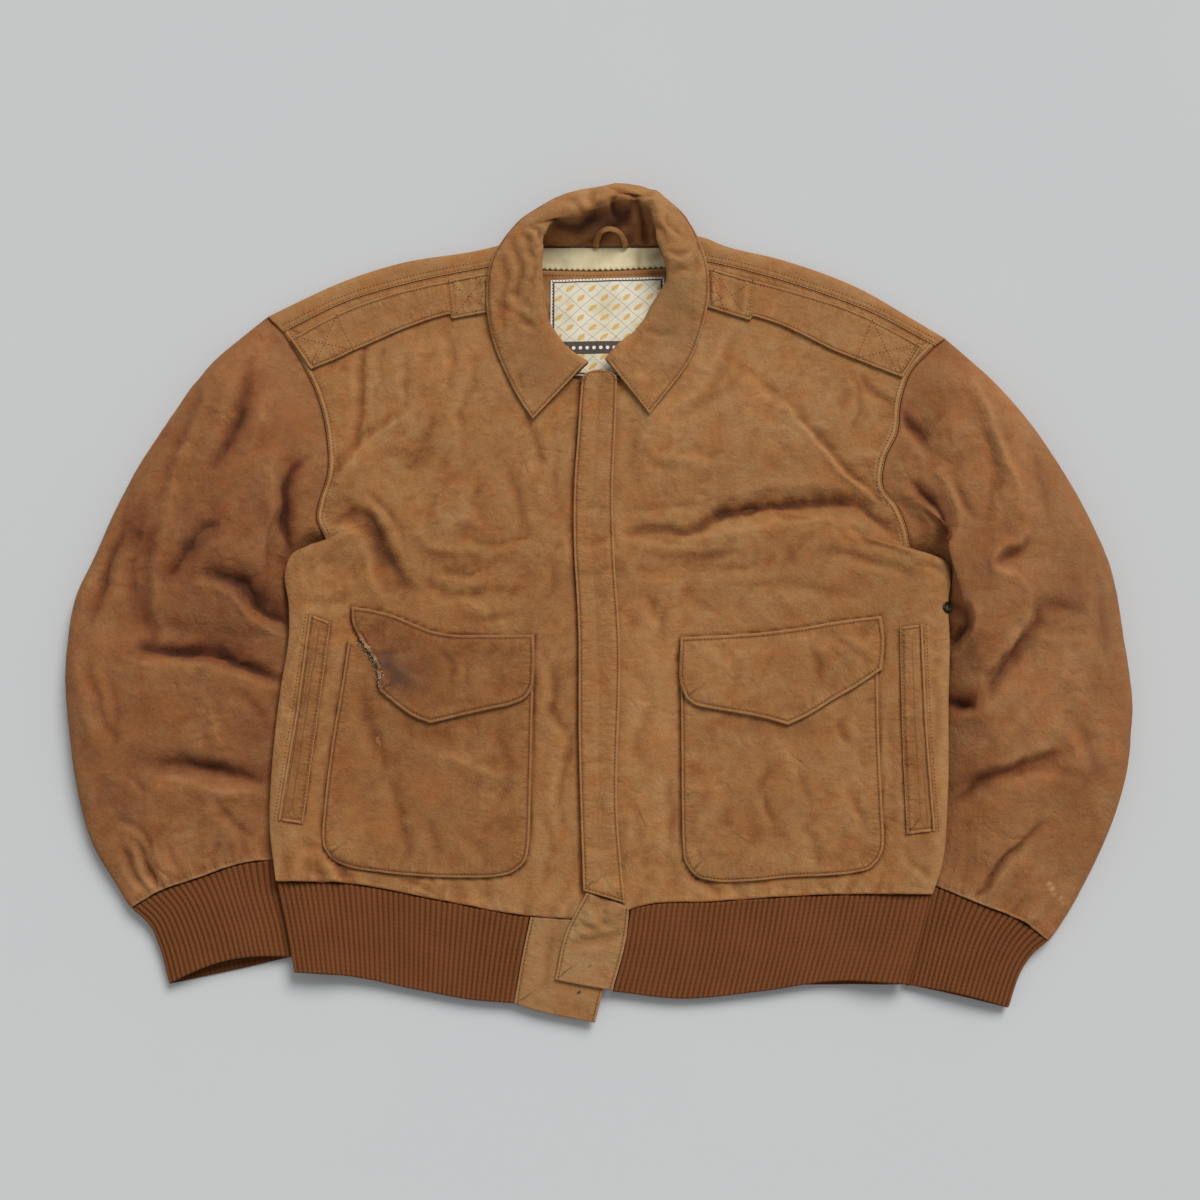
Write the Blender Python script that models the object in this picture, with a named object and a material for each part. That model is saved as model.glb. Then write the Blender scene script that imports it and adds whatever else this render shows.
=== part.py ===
"""A worn suede flight jacket, closed and laid flat on its back.

The frame: +Z up, the floor at z = 0, the collar towards +Y, the wearer's left towards +X, the
origin on the floor under the middle of the jacket. Sizes and tables are in millimetres, on the
plan that lies on the floor, and become metres where a mesh is made. "right" and "left" in names
are the wearer's, so "right" is the -X side.

The garment is a flattened tube: the back lies on the floor and comes forward over the shoulders
to a forward seam, the fronts lie on it, and the body's sides roll over the inner folds of the
sleeves. Each piece is a sheet of its own thickness, a seam's gap from the next.
"""

import math
from dataclasses import dataclass
from typing import NamedTuple

import bmesh
import bpy
import numpy as np
from mathutils import Vector
from mathutils.bvhtree import BVHTree

MM = 0.001

# Walls of the cut pieces
HIDE = 1.8
DOUBLED_HIDE = 3.0
POCKET_HIDE = 1.6
KNIT = 2.6
CUFF_KNIT = 2.4
EPAULETTE_HIDE = 2.4
FACING_HIDE = 1.2
TAPE = 1.0
LABEL = 1.0

# Gaps: along a seam, and between a piece and what it lies on
SEAM_GAP = 0.6
KNIT_SEAM_GAP = 1.0
LAY_GAP = 0.45

# Heights of the outer faces above the floor
FRONT_HEIGHT = 13.0
HEM_HEIGHT = 11.0
SIDE_FOLD_HEIGHT = 17.5
SIDE_UNDERSIDE = 10.4
SIDE_RISE = 10.0
ARMPIT_UNDERSIDE = 7.0
SHOULDER_FOLD_HEIGHT = 7.0
SLEEVE_CROWN = 31.0
CUFF_SEAM_HEIGHT = 17.0
CUFF_HEIGHT = 15.0
CUFF_MOUTH_HEIGHT = 13.0
SLEEVE_FOLD_HEIGHT = 9.0
TUCKED_HEIGHT = 8.2
TUCKED_HEIGHT_AT_ARMPIT = 4.8
BAND_HEIGHT = 10.3
BAND_FOLD_HEIGHT = 15.0
BAND_SIDE_RISE = 7.0
BAND_UNDERSIDE = 9.8
LOWER_TAB_TOP = 10.2

# Widths over which the rolled edges turn
SIDE_ROLL = 14.0
SHOULDER_ROLL = 11.0
SLEEVE_ROLL = 42.0
SLEEVE_UNDER_ROLL = 12.0
INNER_FOLD_ROLL = 5.0
BAND_ROLL = 12.0
# How far a sleeve's inner fold lies under the body
TUCK = 17.0
TUCK_AT_ARMPIT = 4.0
TUCK_AT_CUFF_MOUTH = 5.0
# The body's side: its ridge, and the stretch of its underside that a sleeve lifts
SIDE_RIDGE_INSET = 18.0
SIDE_RIDGE_WIDTH = 34.0
LIFTED_STRETCH = 22.0
LIFTED_BLEND = 34.0
ARMPIT_STRETCH = 8.0
# Where the fronts start to flatten towards the waistband's seam
HEM_LINE = -285.0
HEM_BLEND = 90.0

# A distance beyond every blend
FAR = 999.0

# The middle of the whole outline on the plan, which becomes the origin
MIDDLE = (-2.6, 11.5)

# Shares of a body edge's length, hem to shoulder, at the armpit and where the neckline starts
ARMPIT = 0.62
NECK_CORNER = 0.78
# The share below the armpit over which the rolled side forms
ROLL_FORMS = 0.07
# The share to each side of the armpit in which the back is lifted there
ARMPIT_REACH = 0.1
# Share of the whole armhole, shoulder fold to armpit, at which the forward seam meets it
FORWARD = 0.1
# Shares of the back's width at the two neck points
NECK_SPAN = (0.37, 0.63)


@dataclass(frozen=True)
class HalfOutline:
    """One half of the jacket on the plan. Each line runs from its first named end to its second."""

    sign: int  # -1 on the wearer's right, +1 on the wearer's left
    shoulder_fold: tuple  # neck to sleeve
    forward_seam: tuple  # neck to armhole
    armhole: tuple  # forward seam to armpit
    side: tuple  # armpit to hem
    hem: tuple  # side to centre
    neckline: tuple  # centre to forward seam
    sleeve_outer: tuple  # shoulder to cuff
    cuff_seam: tuple  # outer fold to body
    cuff_outer: tuple  # seam to mouth
    cuff_inner: tuple  # seam to mouth
    cuff_mouth: tuple  # outer fold to inner fold
    cuff_mouth_set_back: float  # how much shorter the cuff's upper layer is
    band_side: tuple  # top to bottom
    band_bottom: tuple  # side to the knit's end
    band_end: tuple  # where the knit meets its end tab, top to bottom
    sleeve_side_share: float  # share of the body's side that the sleeve lies against


RIGHT = HalfOutline(
    sign=-1,
    shoulder_fold=((-78, 338), (-112, 329), (-186, 316), (-241, 297), (-278, 279), (-307, 264)),
    forward_seam=((-72, 317), (-104, 310), (-166, 297), (-235, 276), (-291, 247)),
    armhole=(
        (-291, 247), (-272, 216), (-257, 184), (-248, 148), (-246, 112), (-253, 88), (-255, 72),
        (-246, 53),
    ),
    side=(
        (-246, 53), (-262, 46), (-276, 38), (-281, 24), (-277, -8), (-276, -35), (-282, -85),
        (-287, -150), (-287, -205), (-280, -250),
    ),
    hem=((-280, -250), (-225, -251), (-138, -266), (-65, -279), (-4, -286)),
    neckline=((-6, 205), (-24, 203), (-40, 213), (-56, 232), (-66, 258), (-72, 317)),
    sleeve_outer=(
        (-307, 264), (-350, 225), (-401, 152), (-433, 91), (-454, 38), (-470, -3), (-475, -50),
        (-466, -131), (-445, -212), (-406, -273),
    ),
    cuff_seam=((-406, -273), (-382, -259), (-348, -247), (-309, -234), (-285, -231)),
    cuff_outer=((-406, -273), (-390, -287), (-380, -307), (-371, -337)),
    cuff_inner=((-285, -231), (-281, -256), (-272, -290), (-267, -314)),
    cuff_mouth=((-371, -337), (-344, -331), (-311, -324), (-267, -314)),
    cuff_mouth_set_back=9.0,
    band_side=((-280, -250), (-271, -287), (-263, -327)),
    band_bottom=((-263, -327), (-224, -329), (-155, -342), (-110, -350), (-74, -353)),
    band_end=((-61, -279), (-68, -316), (-74, -353)),
    sleeve_side_share=0.94,
)
LEFT = HalfOutline(
    sign=1,
    shoulder_fold=((80, 345), (98, 341), (114, 334), (167, 320), (241, 291), (288, 262), (318, 243)),
    forward_seam=((77, 319), (100, 315), (148, 303), (203, 285), (248, 267), (307, 234)),
    armhole=(
        (307, 234), (283, 207), (274, 181), (270, 152), (258, 126), (256, 102), (268, 84), (276, 62),
        (278, 43),
    ),
    side=(
        (278, 43), (297, 38), (311, 29), (313, 16), (310, -4), (310, -38), (307, -92), (303, -180),
        (295, -240), (287, -261),
    ),
    hem=((287, -261), (207, -261), (100, -267), (26, -274), (8, -280)),
    neckline=((6, 205), (22, 204), (38, 219), (53, 242), (66, 270), (77, 319)),
    sleeve_outer=(
        (318, 243), (358, 204), (410, 133), (441, 72), (459, 20), (466, -35), (471, -95),
        (464, -150), (441, -214), (413, -264), (387, -301),
    ),
    cuff_seam=((387, -301), (364, -284), (330, -270), (290, -257)),
    cuff_outer=((387, -301), (376, -309), (364, -324), (357, -340), (351, -357)),
    cuff_inner=((290, -257), (279, -298), (268, -338)),
    cuff_mouth=((351, -357), (327, -351), (301, -345), (268, -338)),
    cuff_mouth_set_back=1.5,
    band_side=((287, -261), (277, -298), (264, -337)),
    band_bottom=((264, -337), (207, -334), (138, -343), (69, -349), (11, -343)),
    band_end=((26, -275), (20, -310), (11, -343)),
    sleeve_side_share=0.975,
)

ZIP_LINE = ((3, -283), (1, -215), (-1, -130), (-2, -30), (-5, 30), (-6, 80), (-4, 150), (0, 205))
ZIP_HALF_WIDTH = 6.0
BACK_HEM = (
    (-280, -250), (-240, -251), (-140, -264), (0, -274), (140, -270), (235, -261.5), (287, -261),
)
BACK_BAND_BOTTOM = ((-263, -326), (-140, -334), (0, -338), (140, -337), (264, -336))
BACK_NECKLINE = ((-78, 338), (-40, 335), (0, 334), (40, 335), (80, 345))


class Swell(NamedTuple):
    """A broad ridge, or a hollow where rise is below 0, lying on the plan."""

    x: float
    y: float
    half_length: float
    half_width: float
    turn: float  # degrees from +X
    rise: float


BODY_SWELLS = (
    Swell(-150, 150, 110, 55, 60, 3.5),
    Swell(-205, 92, 75, 20, -38, 4.5),
    Swell(-190, 20, 60, 30, -60, 3.0),
    Swell(130, 190, 100, 60, -35, 3.5),
    Swell(140, 85, 130, 24, 5, -3.5),
    Swell(150, 25, 120, 35, 0, 2.5),
    Swell(-60, -10, 40, 110, 0, 2.0),
    Swell(100, -262, 60, 16, -6, -1.0),
)
SLEEVE_SWELLS = (
    Swell(-330, 35, 95, 20, -18, 7.0),
    Swell(-345, -38, 85, 13, -8, -10.0),
    Swell(-370, -110, 90, 42, -10, 4.0),
    Swell(-340, -160, 80, 11, -8, -6.0),
    Swell(-420, 40, 90, 14, 60, -5.0),
    Swell(-330, 120, 70, 18, 65, 4.0),
    Swell(365, 60, 95, 18, 78, 5.0),
    Swell(352, -25, 85, 17, 48, 8.0),
    Swell(335, -75, 60, 14, 25, -9.0),
    Swell(385, -150, 100, 16, 20, -6.0),
    Swell(430, -60, 110, 26, 85, 4.0),
    Swell(352, -235, 55, 9, 48, -5.0),
)


# ---------------------------------------------------------------- lines and grids


def rounded(share):
    """A quarter circle's rise: 0 at 0, 1 from 1 on, upright where it starts."""
    return np.sqrt(1 - (1 - np.clip(share, 0, 1)) ** 2)


def eased(share):
    """An S-shaped rise: 0 at 0, 1 from 1 on, level at both ends."""
    share = np.clip(share, 0, 1)
    return share * share * (3 - 2 * share)


def smooth_curve(points, steps=16):
    """A dense polyline on the cubic curve through the points, which keeps their dimension."""
    points = np.asarray(points, float)
    run = np.concatenate([[0], np.cumsum(np.linalg.norm(np.diff(points, axis=0), axis=1))])
    slope = np.gradient(points, run, axis=0)
    dense = []
    for k in range(len(points) - 1):
        span = run[k + 1] - run[k]
        t = np.linspace(0, 1, steps, endpoint=False)[:, None]
        dense.append(
            (2 * t**3 - 3 * t**2 + 1) * points[k]
            + (t**3 - 2 * t**2 + t) * span * slope[k]
            + (3 * t**2 - 2 * t**3) * points[k + 1]
            + (t**3 - t**2) * span * slope[k + 1]
        )
    return np.vstack([*dense, points[-1:]])


class Line:
    """A smooth line, read by the share of its length."""

    def __init__(self, points):
        self.points = smooth_curve(points)
        run = np.linalg.norm(np.diff(self.points, axis=0), axis=1)
        self.run = np.concatenate([[0], np.cumsum(run)])
        self.length = self.run[-1]

    def at(self, share):
        where = np.clip(share, 0, 1) * self.length
        return np.stack([np.interp(where, self.run, axis) for axis in self.points.T], axis=-1)

    def part(self, start, end):
        return Line(self.at(np.linspace(start, end, 14)))

    def reversed(self):
        return Line(self.points[::-1])


class Path:
    """Lines joined end to end, with a corner at each given share."""

    def __init__(self, lines, corners=()):
        self.lines = lines
        self.marks = [0, *corners, 1]

    def at(self, share):
        share = np.asarray(share, float)
        found = np.zeros(share.shape + (2,))
        for line, start, end in zip(self.lines, self.marks, self.marks[1:]):
            inside = (share >= start) & (share <= end)
            found[inside] = line.at((share[inside] - start) / (end - start))
        return found


class Marked:
    """A chain of straight steps, read by the share given to each of its points."""

    def __init__(self, points, shares):
        self.points = np.asarray(points, float)
        self.shares = shares

    def at(self, share):
        return np.stack([np.interp(share, self.shares, axis) for axis in self.points.T], axis=-1)


def patch(bottom, top, first, last, across, along):
    """The plan grid between four paths, one row for each value of along."""
    u, v = np.meshgrid(across, along)
    u, v = u[..., None], v[..., None]
    at_bottom, at_top = bottom.at(across)[None], top.at(across)[None]
    at_first, at_last = first.at(along)[:, None], last.at(along)[:, None]
    return (
        (1 - v) * at_bottom
        + v * at_top
        + (1 - u) * at_first
        + u * at_last
        - (1 - u) * (1 - v) * at_bottom[:, :1]
        - u * (1 - v) * at_bottom[:, -1:]
        - (1 - u) * v * at_top[:, :1]
        - u * v * at_top[:, -1:]
    )


def moved_aside(points, gap):
    """A plan line moved to its left by a gap, or to its right where the gap is below 0."""
    along = np.gradient(points, axis=0)
    along /= np.linalg.norm(along, axis=1, keepdims=True)
    return points + gap * np.stack([-along[:, 1], along[:, 0]], axis=1)


def swell_height(swells, plan):
    """The sum of the swells at each plan point."""
    total = np.zeros(plan.shape[:-1])
    for swell in swells:
        turn = math.radians(swell.turn)
        dx, dy = plan[..., 0] - swell.x, plan[..., 1] - swell.y
        along = (dx * math.cos(turn) + dy * math.sin(turn)) / swell.half_length
        aside = (dy * math.cos(turn) - dx * math.sin(turn)) / swell.half_width
        total += swell.rise * np.exp(-(along**2) - aside**2)
    return total


def with_height(plan, height):
    return np.concatenate([plan, np.broadcast_to(height, plan.shape[:-1])[..., None]], axis=-1)


def apart(plan, edge):
    return np.linalg.norm(plan - edge, axis=-1)


# ---------------------------------------------------------------- sheets


def grid_normals(grid, wrap):
    """Unit normals of a point grid: across columns times along rows."""
    if wrap:
        across = np.roll(grid, -1, axis=1) - np.roll(grid, 1, axis=1)
    else:
        across = np.gradient(grid, axis=1)
    normal = np.cross(across, np.gradient(grid, axis=0))
    return normal / np.linalg.norm(normal, axis=-1, keepdims=True)


def clear_scene():
    for obj in list(bpy.data.objects):
        bpy.data.objects.remove(obj, do_unlink=True)


def srgb(code):
    channels = [int(code[k : k + 2], 16) / 255 for k in (1, 3, 5)]
    return [c / 12.92 if c <= 0.04045 else ((c + 0.055) / 1.055) ** 2.4 for c in channels]


def finish(name, color, roughness, metallic=0.0):
    """A Principled material of its own for one piece."""
    material = bpy.data.materials.new(name)
    material.use_nodes = True
    shader = material.node_tree.nodes["Principled BSDF"]
    shader.inputs["Base Color"].default_value = (*srgb(color), 1)
    shader.inputs["Roughness"].default_value = roughness
    shader.inputs["Metallic"].default_value = metallic
    return material


FINISHES = {
    "suede": ("#97683f", 0.85),
    "sleeve_suede": ("#8c5d38", 0.85),
    "knit": ("#7d4a2a", 0.95),
    "tape": ("#cdc9a8", 0.9),
    "label": ("#e4dcc4", 0.8),
    "zip": ("#6b4a2e", 0.7),
    "dark_metal": ("#3a3632", 0.4, 0.9),
}


class Jacket:
    """The pieces made so far, each a closed mesh with its points in millimetres."""

    def __init__(self):
        self.trees = {}

    def add(self, name, points, faces, look):
        """Makes one piece's object from points in millimetres on the plan's frame."""
        self.trees[name] = BVHTree.FromPolygons([Vector(p) for p in points], faces)
        shift = np.array([MIDDLE[0], MIDDLE[1], 0.0])
        mesh = bpy.data.meshes.new(name)
        mesh.from_pydata(((points - shift) * MM).tolist(), [], faces)
        mesh.update()
        sheet = bmesh.new()
        sheet.from_mesh(mesh)
        bmesh.ops.recalc_face_normals(sheet, faces=sheet.faces)
        sheet.to_mesh(mesh)
        sheet.free()
        mesh.shade_smooth()
        mesh.set_sharp_from_angle(angle=math.radians(50))
        obj = bpy.data.objects.new(name, mesh)
        bpy.context.scene.collection.objects.link(obj)
        mesh.materials.append(finish(name, *FINISHES[look]))
        return obj

    def sheet(self, name, outer, wall, look, facing=1, wrap=False, kept=None, inner=None):
        """A closed sheet: a grid of outer points and the same points moved in by the wall.

        facing is +1 where columns times rows points out of the garment, and -1 where it points
        in. wrap joins the last column to the first. kept is a mask of the cells to build.
        """
        if inner is None:
            inner = outer - facing * wall * grid_normals(outer, wrap)
        rows, columns = outer.shape[:2]
        cells = columns if wrap else columns - 1
        if kept is None:
            kept = np.ones((rows - 1, cells), bool)
        used = {}
        points = []
        faces = []

        def corner(side, i, j):
            key = (side, i, j % columns)
            if key not in used:
                used[key] = len(points)
                points.append((outer, inner)[side][i, j % columns])
            return used[key]

        def is_kept(i, j):
            if wrap:
                j %= columns
            return 0 <= i < rows - 1 and 0 <= j < cells and kept[i, j]

        for i in range(rows - 1):
            for j in range(cells):
                if not kept[i, j]:
                    continue
                loop = [(i, j), (i, j + 1), (i + 1, j + 1), (i + 1, j)]
                faces.append([corner(0, *c) for c in loop])
                faces.append([corner(1, *c) for c in reversed(loop)])
                beyond = [(i - 1, j), (i, j + 1), (i + 1, j), (i, j - 1)]
                for k, cell in enumerate(beyond):
                    if not is_kept(*cell):
                        a, b = loop[k], loop[(k + 1) % 4]
                        faces.append([corner(0, *b), corner(0, *a), corner(1, *a), corner(1, *b)])
        return self.add(name, np.array(points), faces, look)

    def surface_height(self, x, y, carriers, otherwise=0.0):
        """The height of the highest of the named pieces over a plan point."""
        found = otherwise
        for name in carriers:
            hit = self.trees[name].ray_cast(Vector((x, y, 500.0)), Vector((0, 0, -1)))[0]
            if hit is not None:
                found = max(found, hit.z)
        return found

    def lay(self, plan, carriers, gap=LAY_GAP, otherwise=0.0, probes=6):
        """The underside heights of a plan grid laid on the named pieces.

        Each cell is probed inside as well as at its corners, along whichever diagonal folds it
        lower, and its corners rise until no probe is closer than the gap.
        """
        flat = plan.reshape(-1, 2)
        height = np.array([self.surface_height(x, y, carriers, otherwise) for x, y in flat])
        height = height.reshape(plan.shape[:2]) + gap
        steps = np.linspace(0, 1, probes + 1)
        for i in range(plan.shape[0] - 1):
            for j in range(plan.shape[1] - 1):
                cell = ((i, j), (i, j + 1), (i + 1, j), (i + 1, j + 1))
                here, across, along, beyond = (height[c] for c in cell)
                bend = here + beyond - across - along
                need = 0.0
                for a in steps:
                    for b in steps:
                        weights = ((1 - a) * (1 - b), (1 - a) * b, a * (1 - b), a * b)
                        x, y = sum(w * plan[c] for w, c in zip(weights, cell))
                        own = here + a * (along - here) + b * (across - here)
                        own += min(bend * min(a, b), bend * max(0, a + b - 1))
                        under = self.surface_height(x, y, carriers, otherwise) + gap
                        need = max(need, under - own)
                height[i : i + 2, j : j + 2] += need
        return height

    def laid_sheet(self, name, plan, wall, look, carriers, gap=LAY_GAP, otherwise=0.0):
        """A sheet of one wall laid on the named pieces, its columns times rows pointing up."""
        under = with_height(plan, self.lay(plan, carriers, gap, otherwise))
        return self.sheet(name, under + np.array([0, 0, wall]), wall, look, inner=under)


# ---------------------------------------------------------------- the body

ACROSS_FRONT = np.array([0, 0.13, 0.27, 0.41, 0.55, 0.68, 0.79, 0.87, 0.925, 0.965, 0.989, 1])
# Rows up a body's side, from the hem to the armpit
UP_SIDE = np.array([0, 0.09, 0.19, 0.3, 0.41, 0.5, 0.56, 0.595, ARMPIT])
# Steps from the forward seam down the armhole to the armpit. One row meets the neckline's corner.
DOWN_ARMHOLE = np.array(
    [0, 0.16, 0.33, 0.48, 0.545, (1 - NECK_CORNER) / (1 - ARMPIT), 0.75, 0.9, 1.0]
)
ALONG_FRONT = np.concatenate([UP_SIDE, (ARMPIT + (1 - ARMPIT) * (1 - DOWN_ARMHOLE))[-2::-1]])
ACROSS_SLEEVE = np.concatenate([[0, 0.012, 0.05], FORWARD + (1 - FORWARD) * DOWN_ARMHOLE])
ALONG_BACK = np.concatenate([UP_SIDE, (ARMPIT + (1 - ARMPIT) * (1 - ACROSS_SLEEVE))[-2::-1]])
ACROSS_BACK = np.concatenate(
    [
        NECK_SPAN[0] * (1 - ACROSS_FRONT[::-1]),
        [NECK_SPAN[0] + 0.015, 0.44, 0.5, 0.56, NECK_SPAN[1] - 0.015],
        NECK_SPAN[1] + NECK_SPAN[0] * ACROSS_FRONT,
    ]
)
RETURN_STEPS = np.array([0.05, 0.18, 0.42, 0.7, 1.0])


def side_roll_share(along):
    """How far the rolled side has formed: 0 at the armpit and above, 1 lower down."""
    return eased((ARMPIT - along) / ROLL_FORMS)


def front_height(plan, side_distance, roll_share):
    """The outer height of the fronts and the shoulders, before the side's roll is taken off."""
    towards_hem = eased((plan[..., 1] - HEM_LINE) / HEM_BLEND)
    height = HEM_HEIGHT + (FRONT_HEIGHT - HEM_HEIGHT) * towards_hem
    height = height + swell_height(BODY_SWELLS, plan)
    from_ridge = (side_distance - SIDE_RIDGE_INSET) / SIDE_RIDGE_WIDTH
    return height + SIDE_RISE * roll_share * np.exp(-(from_ridge**2))


def armhole_path(half):
    """The whole armhole from the shoulder fold over the forward seam to the armpit."""
    top = Line([half.shoulder_fold[-1], half.forward_seam[-1]])
    return Path([top, Line(half.armhole)], [FORWARD])


def levelled_normals(outer, facing, share, columns):
    """Outward normals of a body sheet whose side columns, where share is 1, face level."""
    normal = facing * grid_normals(outer, wrap=False)
    for column in columns:
        normal[:, column, 2] *= 1 - share
    return normal / np.linalg.norm(normal, axis=-1, keepdims=True)


def front_grid(half, across=ACROSS_FRONT, along=ALONG_FRONT):
    """The plan grid of a front: columns from the zip to the side, rows from the hem up."""
    zip_edge = moved_aside(Line(ZIP_LINE).at(np.linspace(0, 1, 30)), -half.sign * ZIP_HALF_WIDTH)
    centre = Path([Line(zip_edge), Line([zip_edge[-1], *half.neckline[1:]])], [NECK_CORNER])
    hem = Line([*half.hem[:-1], zip_edge[0]]).reversed()
    side = Path([Line(half.side).reversed(), Line(half.armhole).reversed()], [ARMPIT])
    return patch(hem, Line(half.forward_seam), centre, side, across, along)


def front_points(half, across=ACROSS_FRONT, along=ALONG_FRONT):
    """A front's outer grid."""
    plan = front_grid(half, across, along)
    distance = apart(plan, plan[:, -1:])
    share = side_roll_share(along)[:, None]
    height = front_height(plan, distance, share)
    fold = SIDE_FOLD_HEIGHT + SEAM_GAP / 2
    rolled = fold + (height - fold) * rounded(distance / SIDE_ROLL)
    return with_height(plan, height + share * (rolled - height))


def back_points():
    """The back's outer grid, from the hem over the shoulder folds to the forward seams."""
    bottom = Line(BACK_HEM)
    shoulders = Path(
        [Line(RIGHT.shoulder_fold).reversed(), Line(BACK_NECKLINE), Line(LEFT.shoulder_fold)],
        NECK_SPAN,
    )
    edges = []
    for half in (RIGHT, LEFT):
        armhole = armhole_path(half).at(ACROSS_SLEEVE[::-1])
        marks = 1 - ACROSS_SLEEVE[::-1]
        edges.append(Path([Line(half.side).reversed(), Marked(armhole, marks)], [ARMPIT]))
    plan = patch(bottom, shoulders, *edges, ACROSS_BACK, ALONG_BACK)

    distance = np.minimum(apart(plan, plan[:, :1]), apart(plan, plan[:, -1:]))
    share = side_roll_share(ALONG_BACK)[:, None]
    underside = SIDE_UNDERSIDE * (1 - eased((distance - LIFTED_STRETCH) / LIFTED_BLEND))
    fold = SIDE_FOLD_HEIGHT - SEAM_GAP / 2
    rolled = fold - (fold - underside) * rounded(distance / SIDE_ROLL)
    near_armpit = 1 - eased(np.abs(ALONG_BACK[:, None] - ARMPIT) / ARMPIT_REACH)
    lifted = ARMPIT_UNDERSIDE * near_armpit * (1 - eased((distance - ARMPIT_STRETCH) / LIFTED_BLEND))
    height = lifted + share * (rolled - lifted)

    from_fold = apart(plan, plan[-1:])
    in_shoulder = (ACROSS_BACK <= NECK_SPAN[0]) | (ACROSS_BACK >= NECK_SPAN[1])
    turned = SHOULDER_FOLD_HEIGHT * (1 - rounded(from_fold / SHOULDER_ROLL))
    height = np.maximum(height, np.where(in_shoulder, turned, 0))
    floor_rows = with_height(plan, height)

    outline = plan[-1]
    seam = outline - np.array([0, SHOULDER_ROLL])
    seam[ACROSS_BACK <= NECK_SPAN[0]] = Line(RIGHT.forward_seam).at(ACROSS_FRONT[::-1])
    seam[ACROSS_BACK >= NECK_SPAN[1]] = Line(LEFT.forward_seam).at(ACROSS_FRONT)
    inwards = outline - seam
    seam = seam + SEAM_GAP * inwards / np.linalg.norm(inwards, axis=1, keepdims=True)
    returned = outline + RETURN_STEPS[:, None, None] * (seam - outline)
    from_fold = apart(returned, outline)
    height = front_height(returned, FAR, 0.0)
    height = SHOULDER_FOLD_HEIGHT + (height - SHOULDER_FOLD_HEIGHT) * rounded(from_fold / SHOULDER_ROLL)
    points = np.concatenate([floor_rows, with_height(returned, height)])

    kept = np.ones((points.shape[0] - 1, points.shape[1] - 1), bool)
    middles = (ACROSS_BACK[1:] + ACROSS_BACK[:-1]) / 2
    in_neck = (middles > NECK_SPAN[0]) & (middles < NECK_SPAN[1])
    kept[len(ALONG_BACK) - 1 :, in_neck] = False
    return points, kept


def make_body(jacket):
    points, kept = back_points()
    share = np.zeros(len(points))
    share[: len(ALONG_BACK)] = side_roll_share(ALONG_BACK)
    inner = points - HIDE * levelled_normals(points, -1, share, (0, -1))
    jacket.sheet("back", points, HIDE, "suede", kept=kept, inner=inner)
    for name, half in (("front_right", RIGHT), ("front_left", LEFT)):
        points = front_points(half)
        normals = levelled_normals(points, half.sign, side_roll_share(ALONG_FRONT), (-1,))
        jacket.sheet(name, points, HIDE, "suede", inner=points - HIDE * normals)


# ---------------------------------------------------------------- the sleeves and cuffs

# Share of a sleeve's length from which it narrows to the cuff
FOREARM = 0.72
# Widths over which a sleeve rises from its armhole, and from where it slips under the body
SLEEVE_HEAD = 70.0
LOW_STRETCH = 50.0
LOW_STRETCH_AT_ARMPIT = 16.0
ALONG_SLEEVE = np.array([0, 0.05, 0.11, 0.21, 0.33, 0.45, 0.57, 0.69, 0.81, 0.92, 1])
TUCK_STEPS = np.array([0.5, 0.85, 1.0])


def ring_grid(plan, tuck, sign, crown, outer_height, tucked_height):
    """A flattened tube's outer grid from its upper layer's plan.

    Columns run over the top from the outer fold to the body, on under the body to the inner
    fold, and back along the floor. crown is the upper layer's height and tucked_height its
    height where it slips under the body.
    """
    inner_edge = plan[:, -1:]
    steps = TUCK_STEPS[None, :, None] * tuck[:, None, None]
    tucked = inner_edge + steps * np.array([-sign, 0.0])
    from_outer = apart(plan, plan[:, :1])
    top = outer_height + (crown - outer_height) * rounded(from_outer / SLEEVE_ROLL)
    middle = tucked_height / 2
    from_fold = tuck[:, None] * (1 - TUCK_STEPS[None])
    tucked_top = middle + middle * rounded(from_fold / INNER_FOLD_ROLL)
    upper = np.concatenate([with_height(plan, top), with_height(tucked, tucked_top)], axis=1)

    under_plan = np.concatenate([plan, tucked[:, :-1]], axis=1)[:, 1:]
    from_outer = apart(under_plan, plan[:, :1])
    from_inner = apart(under_plan, tucked[:, -1:])
    under = outer_height * (1 - rounded(from_outer / SLEEVE_UNDER_ROLL))
    under = np.maximum(under, middle * (1 - rounded(from_inner / INNER_FOLD_ROLL)))
    lower = with_height(under_plan, under)[:, ::-1]
    return np.concatenate([upper, lower], axis=1)


def tuck_along(along):
    """How far the inner fold lies under the body, from the armpit to the cuff's seam."""
    return TUCK_AT_ARMPIT + (TUCK - TUCK_AT_ARMPIT) * eased(along / 0.16)


def tucked_height_along(along):
    """The height at which the sleeve slips under the body's side."""
    rise = eased((along - 0.06) / 0.2)
    return TUCKED_HEIGHT_AT_ARMPIT + (TUCKED_HEIGHT - TUCKED_HEIGHT_AT_ARMPIT) * rise


def sleeve_plan(half):
    """The plan grid of a sleeve's upper layer, from a seam's gap outside the armhole."""
    armhole = moved_aside(armhole_path(half).at(ACROSS_SLEEVE), half.sign * SEAM_GAP)
    outer = Line([armhole[0], *half.sleeve_outer[1:]])
    against = Line(half.side).part(0, half.sleeve_side_share)
    against = Line([armhole[-1], *against.points[8:]])
    seam = Line([*half.cuff_seam[:-1], against.at(1.0)])
    return patch(Marked(armhole, ACROSS_SLEEVE), seam, outer, against, ACROSS_SLEEVE, ALONG_SLEEVE)


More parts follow.
